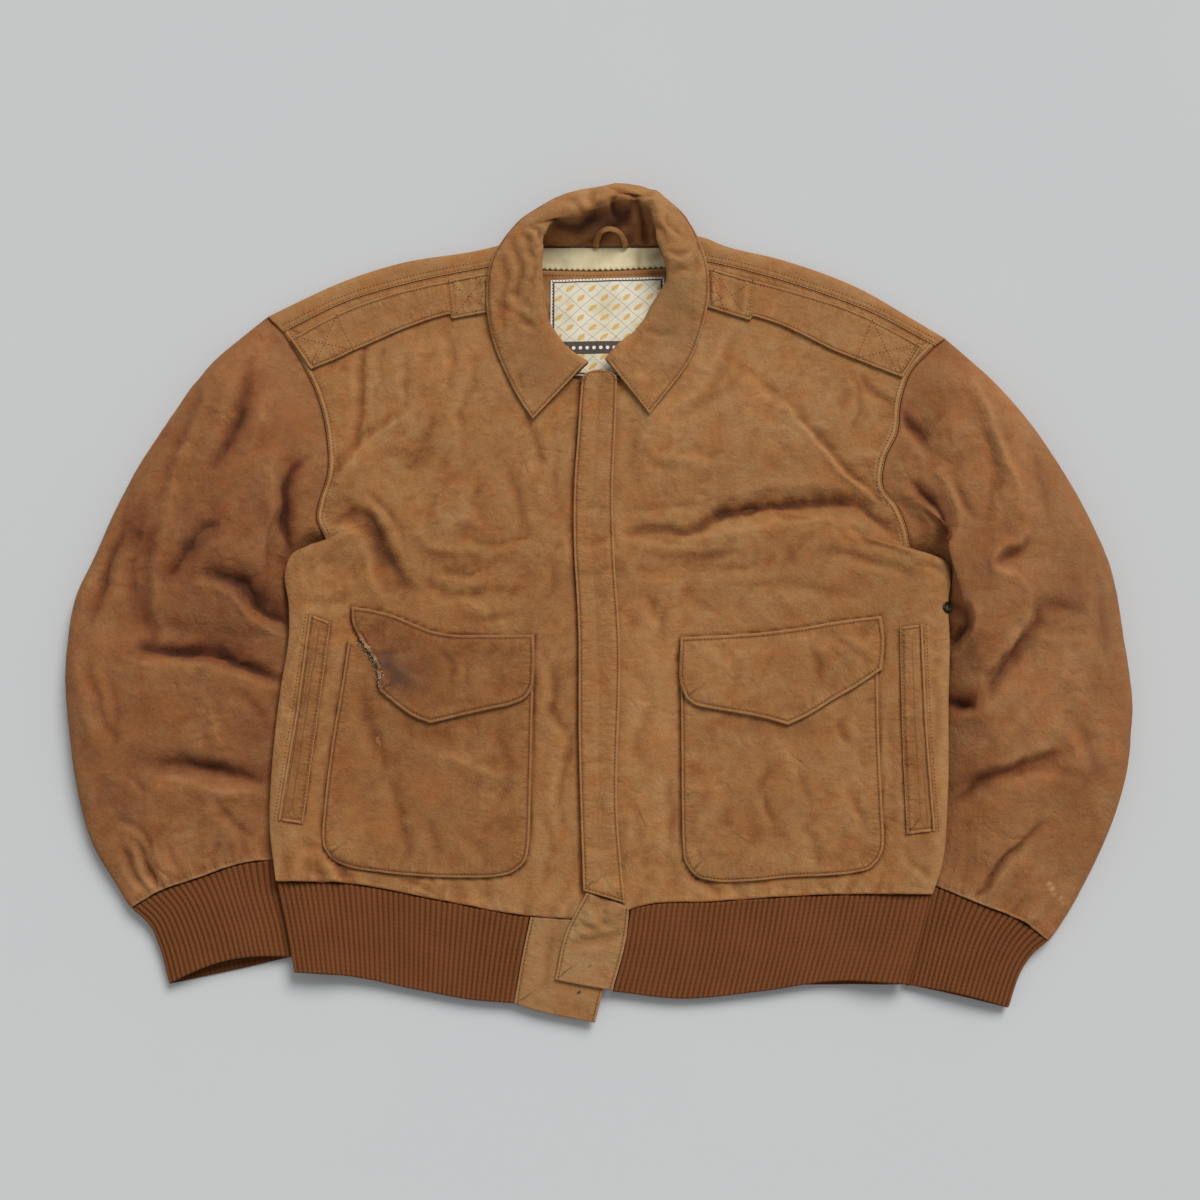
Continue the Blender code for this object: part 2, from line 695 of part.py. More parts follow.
def sleeve_points(half):
    """A sleeve's outer rings, from the armhole to the cuff's seam."""
    plan = sleeve_plan(half)
    along = ALONG_SLEEVE[:, None]
    from_armhole = apart(plan, plan[:1])
    from_body = apart(plan, plan[:, -1:])
    low = tucked_height_along(along)
    crown = SLEEVE_CROWN + (CUFF_SEAM_HEIGHT - SLEEVE_CROWN) * eased((along - FOREARM) / (1 - FOREARM))
    free = eased(from_armhole / 40) * eased((1 - along) / 0.1)
    crown = crown + free * swell_height(SLEEVE_SWELLS, plan)
    at_armhole = front_height(plan, FAR, 0.0)
    crown = at_armhole + (crown - at_armhole) * eased(from_armhole / SLEEVE_HEAD)
    low_stretch = LOW_STRETCH_AT_ARMPIT + (LOW_STRETCH - LOW_STRETCH_AT_ARMPIT) * eased(along / 0.2)
    from_low = from_body / low_stretch
    crown = low + (crown - low) * np.sin(np.pi / 2 * np.clip(from_low, 0, 1))
    outer_height = SHOULDER_FOLD_HEIGHT + (SLEEVE_FOLD_HEIGHT - SHOULDER_FOLD_HEIGHT) * eased(along / 0.2)
    return ring_grid(plan, tuck_along(ALONG_SLEEVE), half.sign, crown, outer_height, low)


ALONG_CUFF = np.array([0, 0.18, 0.58, 1.0])


def cuff_points(half):
    """A cuff's outer rings, from a seam's gap below the sleeve to the open mouth."""
    seam = moved_aside(sleeve_plan(half)[-1], half.sign * KNIT_SEAM_GAP)
    plan = patch(
        Marked(seam, ACROSS_SLEEVE),
        Line(half.cuff_mouth),
        Line([seam[0], *half.cuff_outer[1:]]),
        Line([seam[-1], *half.cuff_inner[1:]]),
        ACROSS_SLEEVE,
        ALONG_CUFF,
    )
    along = ALONG_CUFF[:, None]
    from_body = apart(plan, plan[:, -1:])
    crown = CUFF_HEIGHT + (CUFF_MOUTH_HEIGHT - CUFF_HEIGHT) * along
    from_low = np.clip(from_body / LOW_STRETCH, 0, 1)
    crown = TUCKED_HEIGHT + (crown - TUCKED_HEIGHT) * np.sin(np.pi / 2 * from_low)
    tuck = TUCK + (TUCK_AT_CUFF_MOUTH - TUCK) * ALONG_CUFF
    rings = ring_grid(plan, tuck, half.sign, crown, SLEEVE_FOLD_HEIGHT - 2 * along, TUCKED_HEIGHT)
    set_back = half.cuff_mouth_set_back * np.sin(np.pi * ACROSS_SLEEVE)
    rings[:, : len(ACROSS_SLEEVE), 1] += along * set_back
    return rings


def make_sleeves(jacket):
    for side, half in (("right", RIGHT), ("left", LEFT)):
        sleeve, cuff = sleeve_points(half), cuff_points(half)
        jacket.sheet(f"sleeve_{side}", sleeve, HIDE, "sleeve_suede", facing=half.sign, wrap=True)
        jacket.sheet(f"cuff_{side}", cuff, CUFF_KNIT, "knit", facing=half.sign, wrap=True)


# ---------------------------------------------------------------- the waistband and its tabs

ACROSS_BAND = np.array([0, 0.1, 0.5, 0.9, 1])


def line_from(chain, end_x, sign):
    """The part of a hem's point chain beyond a plan x, starting on the chain at that x."""
    order = chain if sign > 0 else chain[::-1]
    start_y = np.interp(end_x, order[:, 0], order[:, 1])
    beyond = chain[sign * chain[:, 0] > sign * end_x + 3]
    return np.vstack([[end_x, start_y], beyond])


def band_front(half):
    """One front stretch of the band: rows from its end tab to the side fold, columns top to hem."""
    hem = front_grid(half)[0]
    hem = line_from(hem, half.band_end[0][0], half.sign)
    hem = moved_aside(hem, -half.sign * KNIT_SEAM_GAP)
    marks = np.concatenate([[0], np.cumsum(np.linalg.norm(np.diff(hem, axis=0), axis=1))])
    marks = marks / marks[-1]
    plan = patch(
        Line([hem[0], *half.band_end[1:]]),
        Line([hem[-1], *half.band_side[1:]]),
        Marked(hem, marks),
        Line(half.band_bottom).reversed(),
        ACROSS_BAND,
        marks,
    )
    distance = apart(plan, plan[-1:])
    from_ridge = (distance - SIDE_RIDGE_INSET) / SIDE_RIDGE_WIDTH
    height = BAND_HEIGHT + BAND_SIDE_RISE * np.exp(-(from_ridge**2))
    return with_height(plan, BAND_FOLD_HEIGHT + (height - BAND_FOLD_HEIGHT) * rounded(distance / BAND_ROLL))


def band_back(right_fold, left_fold):
    """The back stretch of the band, between its two side folds, along the floor."""
    top = back_points()[0][0, :, :2]
    top = np.vstack([right_fold[0, :2], top[1:-1] - [0, KNIT_SEAM_GAP], left_fold[0, :2]])
    plan = patch(
        Marked(top, ACROSS_BACK),
        Line(BACK_BAND_BOTTOM),
        Marked(right_fold[:, :2], ACROSS_BAND),
        Marked(left_fold[:, :2], ACROSS_BAND),
        ACROSS_BACK,
        ACROSS_BAND,
    )
    plan = np.swapaxes(plan, 0, 1)
    distance = np.minimum(apart(plan, plan[:1]), apart(plan, plan[-1:]))
    underside = BAND_UNDERSIDE * (1 - eased((distance - LIFTED_STRETCH) / LIFTED_BLEND))
    height = BAND_FOLD_HEIGHT - (BAND_FOLD_HEIGHT - underside) * rounded(distance / BAND_ROLL)
    return with_height(plan, height)[1:-1]


def make_waistband(jacket):
    right, left = band_front(RIGHT), band_front(LEFT)
    loop = np.concatenate([right, band_back(right[-1], left[-1]), left[::-1]])
    jacket.sheet("waistband", loop, KNIT, "knit", facing=-1)


def make_tabs(jacket):
    """The leather end tabs: the wearer's right one ends the band, the left one lies over it."""
    across = np.array([0, 0.06, 0.3, 0.5, 0.7, 0.94, 1])
    along = np.array([0, 0.06, 0.4, 0.7, 0.94, 1])
    end = moved_aside(np.array(RIGHT.band_end, float), SEAM_GAP)
    hem = np.array([(-60, -281.4), (-40, -283.9), (-6, -287.8), (17, -288.4)])
    end[0] = hem[0]
    plan = patch(
        Line([end[-1], (-51, -360), (-26, -365), (-4, -369)]),
        Line([end[0], *hem[1:]]),
        Line(end).reversed(),
        Line([(-4, -369), (3, -342), (12, -310), hem[-1]]),
        across,
        along,
    )
    top = with_height(plan, LOWER_TAB_TOP)
    jacket.sheet("end_tab_right", top, DOUBLED_HIDE, "suede")

    plan = patch(
        Line([(-39, -333), (-14, -338), (11, -342)]),
        Line([(-10, -261), (8, -267), (26, -273)]),
        Line([(-39, -333), (-30, -294), (-10, -261)]),
        Line([(11, -342), (22, -302), (26, -273)]),
        across,
        np.array([0, 0.06, 0.3, 0.55, 0.75, 0.85, 0.95, 1]),
    )
    under = ("end_tab_right", "waistband", "front_right", "front_left", "front_zip", "wind_flap")
    jacket.laid_sheet("end_tab_left", plan, DOUBLED_HIDE, "suede", under, otherwise=LOWER_TAB_TOP - 0.6)


# ---------------------------------------------------------------- the front closure


def make_closure(jacket):
    """The zip tape between the fronts, and the wind flap that hides it."""
    along = np.linspace(0, 1, 16)
    middle = Line(ZIP_LINE).at(along)
    half_width = ZIP_HALF_WIDTH - SEAM_GAP
    plan = np.stack([moved_aside(middle, side * half_width) for side in (1, -1)], axis=1)
    height = front_height(plan, FAR, 0.0) - SEAM_GAP
    jacket.sheet("front_zip", with_height(plan, height), POCKET_HIDE, "zip")

    free_edge = Line([(-15, -258), (-19, -130), (-20, -20), (-24, 55), (-24, 90), (-20, 160), (-17, 204)])
    seam_edge = Line([(22, -269), (16, -200), (18, -40), (13, 45), (12, 90), (15, 170), (16, 204)])
    plan = patch(
        Line([(-15, -258), (22, -269)]),
        Line([(-17, 204), (-10, 207.5), (8, 208), (16, 204)]),
        free_edge,
        seam_edge,
        np.array([0, 0.12, 0.5, 0.88, 1]),
        np.concatenate([[0], np.linspace(0.04, 0.97, 17), [1]]),
    )
    under = ("front_right", "front_left", "front_zip")
    jacket.laid_sheet("wind_flap", plan, DOUBLED_HIDE, "suede", under, otherwise=FRONT_HEIGHT - 0.5)


# ---------------------------------------------------------------- the pockets

POCKETS = {
    "right": (
        ((-223, -41), (-229, -85), (-238, -160), (-241, -212), (-236, -228)),
        ((-236, -228), (-221, -238), (-164, -245), (-87, -246), (-68, -237)),
        ((-57, -41), (-58, -95), (-61, -160), (-62, -220), (-68, -237)),
    ),
    "left": (
        ((71, -45), (71, -120), (71, -200), (72, -228), (77, -241)),
        ((77, -241), (92, -249), (150, -248), (225, -242), (240, -233)),
        ((246, -42), (245, -110), (246, -200), (246, -220), (240, -233)),
    ),
}
POCKET_FLAPS = {
    "right": (
        ((-221, -9), (-214, -35), (-199, -58), (-192, -85)),
        ((-192, -85), (-165, -106), (-149, -113), (-110, -104), (-68, -93), (-57, -82)),
        ((-58, -34), (-56, -60), (-57, -82)),
        ((-221, -9), (-180, -21), (-150, -30), (-110, -34), (-58, -34)),
    ),
    "left": (
        ((71, -36), (70, -60), (73, -88)),
        ((73, -88), (90, -99), (140, -110), (166, -115), (188, -103), (215, -84), (249, -64)),
        ((250, -17), (251, -40), (249, -64)),
        ((71, -36), (140, -33), (195, -26), (250, -17)),
    ),
}
WELTS = {
    "right": (((-277, -196), (-266, -110), (-255, -20)), ((-256, -200), (-246, -110), (-238, -25))),
    "left": (((267, -210), (267, -120), (267, -29)), ((289, -206), (287, -120), (285, -26))),
}


def make_pockets(jacket):
    ease = np.array([0, 0.05, 0.2, 0.4, 0.6, 0.8, 0.95, 1])
    for side in ("right", "left"):
        front = f"front_{side}"
        first, bottom, last = POCKETS[side]
        top = Line([first[0], last[0]])
        plan = patch(Line(bottom), top, Line(first).reversed(), Line(last).reversed(), ease, ease)
        jacket.laid_sheet(f"pocket_{side}", plan, POCKET_HIDE, "suede", (front,))

        first, bottom, last, top = (Line(points) for points in POCKET_FLAPS[side])
        across = np.array([0, 0.05, 0.2, 0.37, 0.5, 0.62, 0.8, 0.95, 1])
        along = np.array([0, 0.1, 0.5, 0.9, 1])
        plan = patch(bottom, top, first.reversed(), last.reversed(), across, along)
        jacket.laid_sheet(f"pocket_flap_{side}", plan, DOUBLED_HIDE, "suede", (front, f"pocket_{side}"))

        low, high = (Line(points) for points in WELTS[side])
        steps = np.linspace(0, 1, 9)
        plan = np.stack([low.at(steps), high.at(steps)], axis=1)
        jacket.laid_sheet(f"welt_{side}", plan, POCKET_HIDE, "suede", (front,))


# ---------------------------------------------------------------- shoulders, collar and neck

EPAULETTES = {
    "right": (
        ((-284, 240), (-264, 252), (-238, 266), (-200, 281), (-164, 291), (-130, 298), (-99, 304)),
        ((-264, 211), (-247, 218), (-220, 231), (-183, 246), (-147, 256), (-130, 260), (-99, 266)),
    ),
    "left": (
        ((98, 309), (138, 298), (184, 284), (228, 269), (272, 247), (295, 233)),
        ((99, 270), (138, 257), (174, 246), (210, 230), (246, 215), (276, 203)),
    ),
}


class CollarStation(NamedTuple):
    """One section of the collar: its neck seam, the top of its roll and its free edge."""

    neck: tuple  # x, y, height
    roll: tuple
    edge: tuple


COLLAR = (
    CollarStation((-22, 206.2, 11.6), (-11, 215, 19.5), (-61, 163, 17)),
    CollarStation((-38, 215.5, 11.6), (-24, 227, 20.5), (-73, 181, 17)),
    CollarStation((-53, 233, 11.6), (-38, 243, 21.5), (-86, 206, 17)),
    CollarStation((-62.5, 258.3, 11.6), (-48, 262, 23.5), (-98, 236, 17)),
    CollarStation((-68.5, 290, 11), (-52, 290, 27), (-105, 275, 19)),
    CollarStation((-70, 317, 9), (-53, 316, 31), (-100, 316, 18)),
    CollarStation((-63.5, 333, 4.4), (-47, 341, 35), (-80, 349, 8)),
    CollarStation((-36, 334, 2.8), (-20, 348, 37), (-47, 376, 3.2)),
    CollarStation((0, 334, 2.4), (2, 358, 38), (-6, 389, 3.2)),
    CollarStation((24, 334, 2.4), (26, 366, 37), (30, 392, 3.2)),
    CollarStation((50, 334.5, 3.6), (43, 362, 36), (62, 378, 3.4)),
    CollarStation((67, 334, 5), (50, 345, 34), (84, 353, 8)),
    CollarStation((75, 317, 9), (54, 322, 32), (97, 320, 18)),
    CollarStation((68.5, 289, 11), (61, 299, 27), (101, 288, 18.5)),
    CollarStation((59.5, 263, 11.6), (46, 271, 24), (96, 256, 17)),
    CollarStation((50.5, 243.5, 11.6), (35, 251, 22), (82, 218, 17)),
    CollarStation((35.5, 221, 11.6), (22, 233, 20.5), (63, 189, 17)),
    CollarStation((20, 207, 11.6), (9, 218, 19.5), (46, 168, 17)),
)
COLLAR_ROLL = 3.0


def collar_points(jacket):
    """The collar's visible face: rows along the neck, columns from its seam over the roll to its edge."""
    neck = np.array([s.neck for s in COLLAR], float)
    roll = np.array([s.roll for s in COLLAR], float)
    edge = np.array([s.edge for s in COLLAR], float)
    out = edge - roll
    out[:, 2] = 0
    out /= np.linalg.norm(out, axis=1, keepdims=True)
    up = np.array([0, 0, 1.0])
    turn_in = roll - 1.7 * COLLAR_ROLL * up + 0.3 * COLLAR_ROLL * out
    nose = roll - 0.8 * COLLAR_ROLL * up
    top = roll + COLLAR_ROLL * out
    stand = [neck, neck + 0.5 * (turn_in - neck), turn_in, nose, top]
    fall = []
    for t in (0.35, 0.68, 0.94, 1.0):
        point = top + t * (edge - top)
        point[:, 2] = edge[:, 2] + (roll[:, 2] - edge[:, 2]) * math.sqrt(1 - t * t)
        fall.append(point)
    grid = np.stack(stand + fall, axis=1)
    carriers = ("front_right", "front_left", "back", "epaulette_right", "epaulette_left", "wind_flap")
    lowest = jacket.lay(grid[:, 5:, :2], carriers) + HIDE
    grid[:, 5:, 2] = np.maximum(grid[:, 5:, 2], lowest)
    return grid


def make_shoulders(jacket):
    for side, (upper, lower) in EPAULETTES.items():
        steps = np.array([0, 0.04, 0.16, 0.3, 0.44, 0.58, 0.72, 0.86, 0.97, 1])
        upper, lower = Line(upper).at(steps), Line(lower).at(steps)
        plan = np.stack([lower + t * (upper - lower) for t in (0, 0.5, 1)])
        jacket.laid_sheet(f"epaulette_{side}", plan, EPAULETTE_HIDE, "suede", (f"front_{side}", "back"))


def make_collar(jacket):
    jacket.sheet("collar", collar_points(jacket), HIDE, "suede", facing=-1)


def make_neck(jacket):
    """What shows on the inside of the back: facing, neck tape and label."""
    steps = np.array([0, 0.25, 0.5, 0.75, 1])
    facing = patch(
        Line([(-40, 216), (-14, 196), (12, 196), (42, 216)]),
        Line([(-62, 311), (0, 310), (66, 313)]),
        Line([(-40, 216), (-60, 250), (-62, 311)]),
        Line([(42, 216), (64, 252), (66, 313)]),
        steps,
        steps,
    )
    jacket.laid_sheet("neck_facing", facing, FACING_HIDE, "suede", ("back",))
    label = patch(
        Line([(-46, 208), (60, 208)]),
        Line([(-46, 301), (60, 304)]),
        Line([(-46, 208), (-46, 301)]),
        Line([(60, 208), (60, 304)]),
        steps,
        steps,
    )
    jacket.laid_sheet("neck_label", label, LABEL, "label", ("back", "neck_facing"))
    tape = patch(
        Line([(-62, 311.8), (0, 310.8), (66, 313.8)]),
        Line([(-55, 333), (55, 333)]),
        Line([(-62, 311.8), (-55, 333)]),
        Line([(66, 313.8), (55, 333)]),
        steps,
        np.array([0, 1]),
    )
    jacket.laid_sheet("neck_tape", tape, TAPE, "tape", ("back",))


HANGER_RADIUS = 1.8
HANGER_LOOP = (
    (-8, 332.8, 5.8), (-6, 337, 10.2), (0, 343, 17), (8, 345, 19.5), (16, 343.5, 17.5), (22, 338, 11.2),
    (24, 332.8, 5.8),
)
EYELET_OUTER = 5.2
EYELET_INNER = 2.6
EYELET_THICKNESS = 1.2
EYELET_Y = -10.0


def ring_faces(rings, sides, closed):
    """The quads between rings of points, and the two caps of an open tube."""
    faces = []
    for i in range(rings if closed else rings - 1):
        for j in range(sides):
            k, l = (i + 1) % rings, (j + 1) % sides
            faces.append([i * sides + j, i * sides + l, k * sides + l, k * sides + j])
    if not closed:
        faces.append(list(range(sides))[::-1])
        faces.append([(rings - 1) * sides + j for j in range(sides)])
    return faces


def make_hanger_loop(jacket):
    """The hanging loop: a round cord that arches up the inside of the collar's stand."""
    sides, rings = 7, 11
    centre = Line(HANGER_LOOP).at(np.linspace(0, 1, rings))
    along = np.gradient(centre, axis=0)
    along /= np.linalg.norm(along, axis=1, keepdims=True)
    aside = np.cross(along, [0, -0.7, 0.7])
    aside /= np.linalg.norm(aside, axis=1, keepdims=True)
    over = np.cross(aside, along)
    turn = np.linspace(0, 2 * np.pi, sides, endpoint=False)[None, :, None]
    around = np.cos(turn) * aside[:, None] + np.sin(turn) * over[:, None]
    points = centre[:, None] + HANGER_RADIUS * around
    jacket.add("hanger_loop", points.reshape(-1, 3), ring_faces(rings, sides, closed=False), "suede")


def make_eyelet(jacket):
    """The metal vent eyelet at the wearer's left underarm, a washer on the rolled side."""
    aim = Vector((-0.8, 0, -0.6))
    spot, normal = jacket.trees["front_left"].ray_cast(Vector((340, EYELET_Y, 42.5)), aim)[:2]
    normal = np.array(normal if normal.dot(aim) < 0 else -normal)
    centre = np.array(spot) + normal * (LAY_GAP + 0.15)
    first = np.cross(normal, [0, 1, 0])
    first /= np.linalg.norm(first)
    second = np.cross(normal, first)
    section = [(EYELET_INNER, 0), (EYELET_OUTER, 0), (EYELET_OUTER - 0.5, EYELET_THICKNESS),
               (EYELET_INNER + 0.5, EYELET_THICKNESS)]
    points = []
    sides = 12
    for turn in np.linspace(0, 2 * np.pi, sides, endpoint=False):
        spoke = math.cos(turn) * first + math.sin(turn) * second
        points += [centre + radius * spoke + height * normal for radius, height in section]
    faces = ring_faces(sides, len(section), closed=True)
    jacket.add("underarm_eyelet", np.array(points), faces, "dark_metal")


def main():
    clear_scene()
    jacket = Jacket()
    make_body(jacket)
    make_sleeves(jacket)
    make_closure(jacket)
    make_waistband(jacket)
    make_tabs(jacket)
    make_pockets(jacket)
    make_shoulders(jacket)
    make_collar(jacket)
    make_neck(jacket)
    make_hanger_loop(jacket)
    make_eyelet(jacket)


main()
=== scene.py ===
"""Looks of a worn suede flight jacket, closed and laid flat on its back.

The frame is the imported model's: +Z up, the floor at z = 0, the collar towards +Y, the wearer's
left towards +X. Tables are in millimetres on the pattern's own plan, whose middle is MIDDLE, and
become metres where a mesh is made. "right" and "left" in names are the wearer's.

Every cut piece is a closed thin shell on its solid's form: a fine grid whose walls round off at
the cut edges, with sewn grooves, gathers and folds in it, and with what its finish reads kept on
each point: relief, tone, wear and soil. Stitches and loose threads are laid by Geometry Nodes.
"""

import logging
import math
from dataclasses import dataclass
from enum import Enum
from pathlib import Path as FilePath
from typing import Any, NamedTuple

import bpy
import numpy as np
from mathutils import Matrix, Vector
from mathutils.bvhtree import BVHTree

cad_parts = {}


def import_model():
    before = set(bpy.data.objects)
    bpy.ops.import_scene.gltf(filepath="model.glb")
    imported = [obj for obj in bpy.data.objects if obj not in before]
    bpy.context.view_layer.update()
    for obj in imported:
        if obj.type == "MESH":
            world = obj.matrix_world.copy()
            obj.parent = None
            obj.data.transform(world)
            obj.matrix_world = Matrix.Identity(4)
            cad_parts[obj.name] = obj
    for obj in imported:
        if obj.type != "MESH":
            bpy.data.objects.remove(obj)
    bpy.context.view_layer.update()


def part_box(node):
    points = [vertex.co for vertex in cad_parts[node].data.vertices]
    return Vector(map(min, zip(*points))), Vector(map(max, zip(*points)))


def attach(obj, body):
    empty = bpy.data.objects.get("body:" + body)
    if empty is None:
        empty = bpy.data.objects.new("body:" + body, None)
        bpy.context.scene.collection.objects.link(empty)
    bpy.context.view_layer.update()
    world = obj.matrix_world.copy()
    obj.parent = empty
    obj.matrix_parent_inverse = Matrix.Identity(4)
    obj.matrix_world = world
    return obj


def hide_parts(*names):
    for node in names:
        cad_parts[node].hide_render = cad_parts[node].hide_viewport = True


log = logging.getLogger("jacket")

Grid = np.ndarray
MM = 0.001
MIDDLE = np.array([-2.6, 11.5, 0.0])
FAR = 999.0
# What a finish reads at each point of a sheet
MARKS = ("relief", "tone", "wear", "soil", "stain", "run", "beside", "pucker")

# Walls of the cut pieces, mm
HIDE = 1.8
DOUBLED_HIDE = 3.0
POCKET_HIDE = 1.6
EPAULETTE_HIDE = 2.4
FACING_HIDE = 1.2
KNIT = 2.6
CUFF_KNIT = 2.4
TAPE = 1.0
LABEL = 1.0

# Gaps along a seam, and between a piece and what it lies on, mm
SEAM_GAP = 0.1
KNIT_SEAM_GAP = 0.5
LAY_GAP = 0.3

# How near the floor a piece's outer and inner walls may come, mm
LOWEST_OUTER = 0.1
LOWEST_INNER = 0.7

# Heights of the outer faces above the floor, mm
FRONT_HEIGHT = 13.0
HEM_HEIGHT = 11.0
SIDE_FOLD_HEIGHT = 17.5
SIDE_UNDERSIDE = 10.4
SIDE_RISE = 10.0
ARMPIT_UNDERSIDE = 7.0
SHOULDER_FOLD_HEIGHT = 7.0
SLEEVE_CROWN = 31.0
CUFF_SEAM_HEIGHT = 17.0
CUFF_HEIGHT = 15.0
CUFF_MOUTH_HEIGHT = 13.0
SLEEVE_FOLD_HEIGHT = 9.0
TUCKED_HEIGHT = 8.2
TUCKED_HEIGHT_AT_ARMPIT = 4.8
BAND_HEIGHT = 10.3
BAND_FOLD_HEIGHT = 15.0
BAND_SIDE_RISE = 7.0
BAND_UNDERSIDE = 9.8
LOWER_TAB_TOP = 10.2

# Widths over which the rolled edges turn, mm
SIDE_ROLL = 14.0
SHOULDER_ROLL = 11.0
SLEEVE_ROLL = 42.0
SLEEVE_UNDER_ROLL = 12.0
INNER_FOLD_ROLL = 5.0
BAND_ROLL = 12.0

# How far the sleeve's inner fold lies under the body's side, mm
TUCK = 17.0
TUCK_AT_ARMPIT = 4.0
TUCK_AT_CUFF_MOUTH = 5.0

# The ridge inside a rolled side, and the stretch of the back that the side lifts, mm
SIDE_RIDGE_INSET = 18.0
SIDE_RIDGE_WIDTH = 34.0
LIFTED_STRETCH = 22.0
LIFTED_BLEND = 34.0
ARMPIT_STRETCH = 8.0

# The hem's line on the plan, and over what length the body rises from it, mm
HEM_LINE = -285.0
HEM_BLEND = 90.0

# Over what length a sleeve rises from its armhole, and from where it slips under the body, mm
SLEEVE_HEAD = 70.0
LOW_STRETCH = 50.0
LOW_STRETCH_AT_ARMPIT = 16.0

# Shares of a body edge's length: the armpit, the neckline's corner, and how far the side's roll
# and the armpit's lift take to form
ARMPIT = 0.62
NECK_CORNER = 0.78
ROLL_FORMS = 0.07
ARMPIT_REACH = 0.1
# The forward seam's share of the armhole, the neck's of the shoulders, the forearm's of the sleeve
FORWARD = 0.1
NECK_SPAN = (0.37, 0.63)
FOREARM = 0.72

# Sewing, mm: a stitch at every pitch, as long as it shows, and a topstitch row inside an edge
STITCH_PITCH = 3.1
STITCH_LENGTH = 1.65
STITCH_RADIUS = 0.5
FIBRE_RADIUS = 0.28
TOPSTITCH = 2.8
# Knit ribs, crest to crest, mm
RIB_PITCH = 4.6
# How far in the cut edge of a single hide, of a knit and of a thin tape rounds off, mm
HIDE_ROUND = 0.4
KNIT_ROUND = 1.6
TAPE_ROUND = 0.5


# ---------------------------------------------------------------- lines and grids


def rounded(share: Grid) -> Grid:
    """A quarter circle's rise: 0 at 0, 1 from 1 on, upright where it starts."""
    return np.sqrt(1 - (1 - np.clip(share, 0, 1)) ** 2)


def eased(share: Grid) -> Grid:
    """An S-shaped rise: 0 at 0, 1 from 1 on, level at both ends."""
    share = np.clip(share, 0, 1)
    return share * share * (3 - 2 * share)


def bell(offset: Grid, width: float) -> Grid:
    """A soft bump of height 1 at offset 0, about as wide as the width to each side."""
    return np.exp(-((offset / width) ** 2))


def smooth_curve(points: Any, steps: int = 16) -> Grid:
    """A dense polyline on the cubic curve through points of any dimension.

    Args:
        points: The points, one row each.
        steps: How many parts each stretch between two points is cut into.

    Returns:
        The dense points, one row each.
    """
    points = np.asarray(points, float)
    run = length_along(points)
    slope = np.gradient(points, run, axis=0)
    dense = []
    for k in range(len(points) - 1):
        span = run[k + 1] - run[k]
        t = np.linspace(0, 1, steps, endpoint=False)[:, None]
        dense.append(
            (2 * t**3 - 3 * t**2 + 1) * points[k]
            + (t**3 - 2 * t**2 + t) * span * slope[k]
            + (3 * t**2 - 2 * t**3) * points[k + 1]
            + (t**3 - t**2) * span * slope[k + 1]
        )
    return np.vstack([*dense, points[-1:]])


class Line:
    """A smooth line, read by the share of its length."""

    def __init__(self, points: Any, steps: int = 16) -> None:
        """Fits the curve through the points, with that many steps in each stretch.

        Args:
            points: Points to run through, of any dimension.
            steps: How many parts each stretch between two of them is cut into.
        """
        self.points = smooth_curve(points, steps)
        self.run = length_along(self.points)
        self.length = float(self.run[-1])

    def at(self, share: Any) -> Grid:
        """The points at shares of the length."""
        where = np.clip(share, 0, 1) * self.length
        return np.stack([np.interp(where, self.run, axis) for axis in self.points.T], axis=-1)

    def part(self, start: float, end: float) -> "Line":
        """The stretch between two shares."""
        return Line(self.at(np.linspace(start, end, 14)))

    def reversed(self) -> "Line":
        """The same line from its other end."""
        return Line(self.points[::-1], 1)

    def near(self, plan: Grid) -> tuple[Grid, Grid]:
        """Finds the nearest place on the line for plan points.

        Args:
            plan: Plan points, in any shape of grid.

        Returns:
            The distance, above 0 to the line's left, and the share of the length.
        """
        flat = plan[..., :2].reshape(-1, 2)
        best = np.full(len(flat), np.inf)
        side = np.ones(len(flat))
        share = np.zeros(len(flat))
        for k, (a, b) in enumerate(zip(self.points[:-1, :2], self.points[1:, :2])):
            step = b - a
            span = float(step @ step)
            if span < 1e-12:
                continue
            offset = flat - a
            t = np.clip(offset @ step / span, 0, 1)
            gap = offset - t[:, None] * step
            distance = np.einsum("ij,ij->i", gap, gap)
            closer = distance < best
            best[closer] = distance[closer]
            side[closer] = np.sign(step[0] * offset[closer, 1] - step[1] * offset[closer, 0])
            share[closer] = (self.run[k] + t[closer] * math.sqrt(span)) / self.length
        shape = plan.shape[:-1]
        return (np.sqrt(best) * side).reshape(shape), share.reshape(shape)


class Path:
    """Lines joined end to end, with a corner at each given share."""

    def __init__(self, lines: list[Line], corners: Any = ()) -> None:
        """Keeps the lines and the shares of their ends."""
        self.lines = lines
        self.marks = [0, *corners, 1]

    def at(self, share: Any) -> Grid:
        """The points at shares of the whole path.

        Args:
            share: One or more shares, from 0 to 1.

        Returns:
            The points on the plan.
        """
        share = np.asarray(share, float)
        found = np.zeros(share.shape + (2,))
        for line, start, end in zip(self.lines, self.marks, self.marks[1:]):
            inside = (share >= start) & (share <= end)
            found[inside] = line.at((share[inside] - start) / (end - start))
        return found


class Fixed:
    """A chain of points that a grid reads as it is, one for each of its own shares."""

    def __init__(self, points: Grid) -> None:
        """Keeps the points."""
        self.points = points

    def at(self, share: Any) -> Grid:
        """The points themselves."""
        return self.points


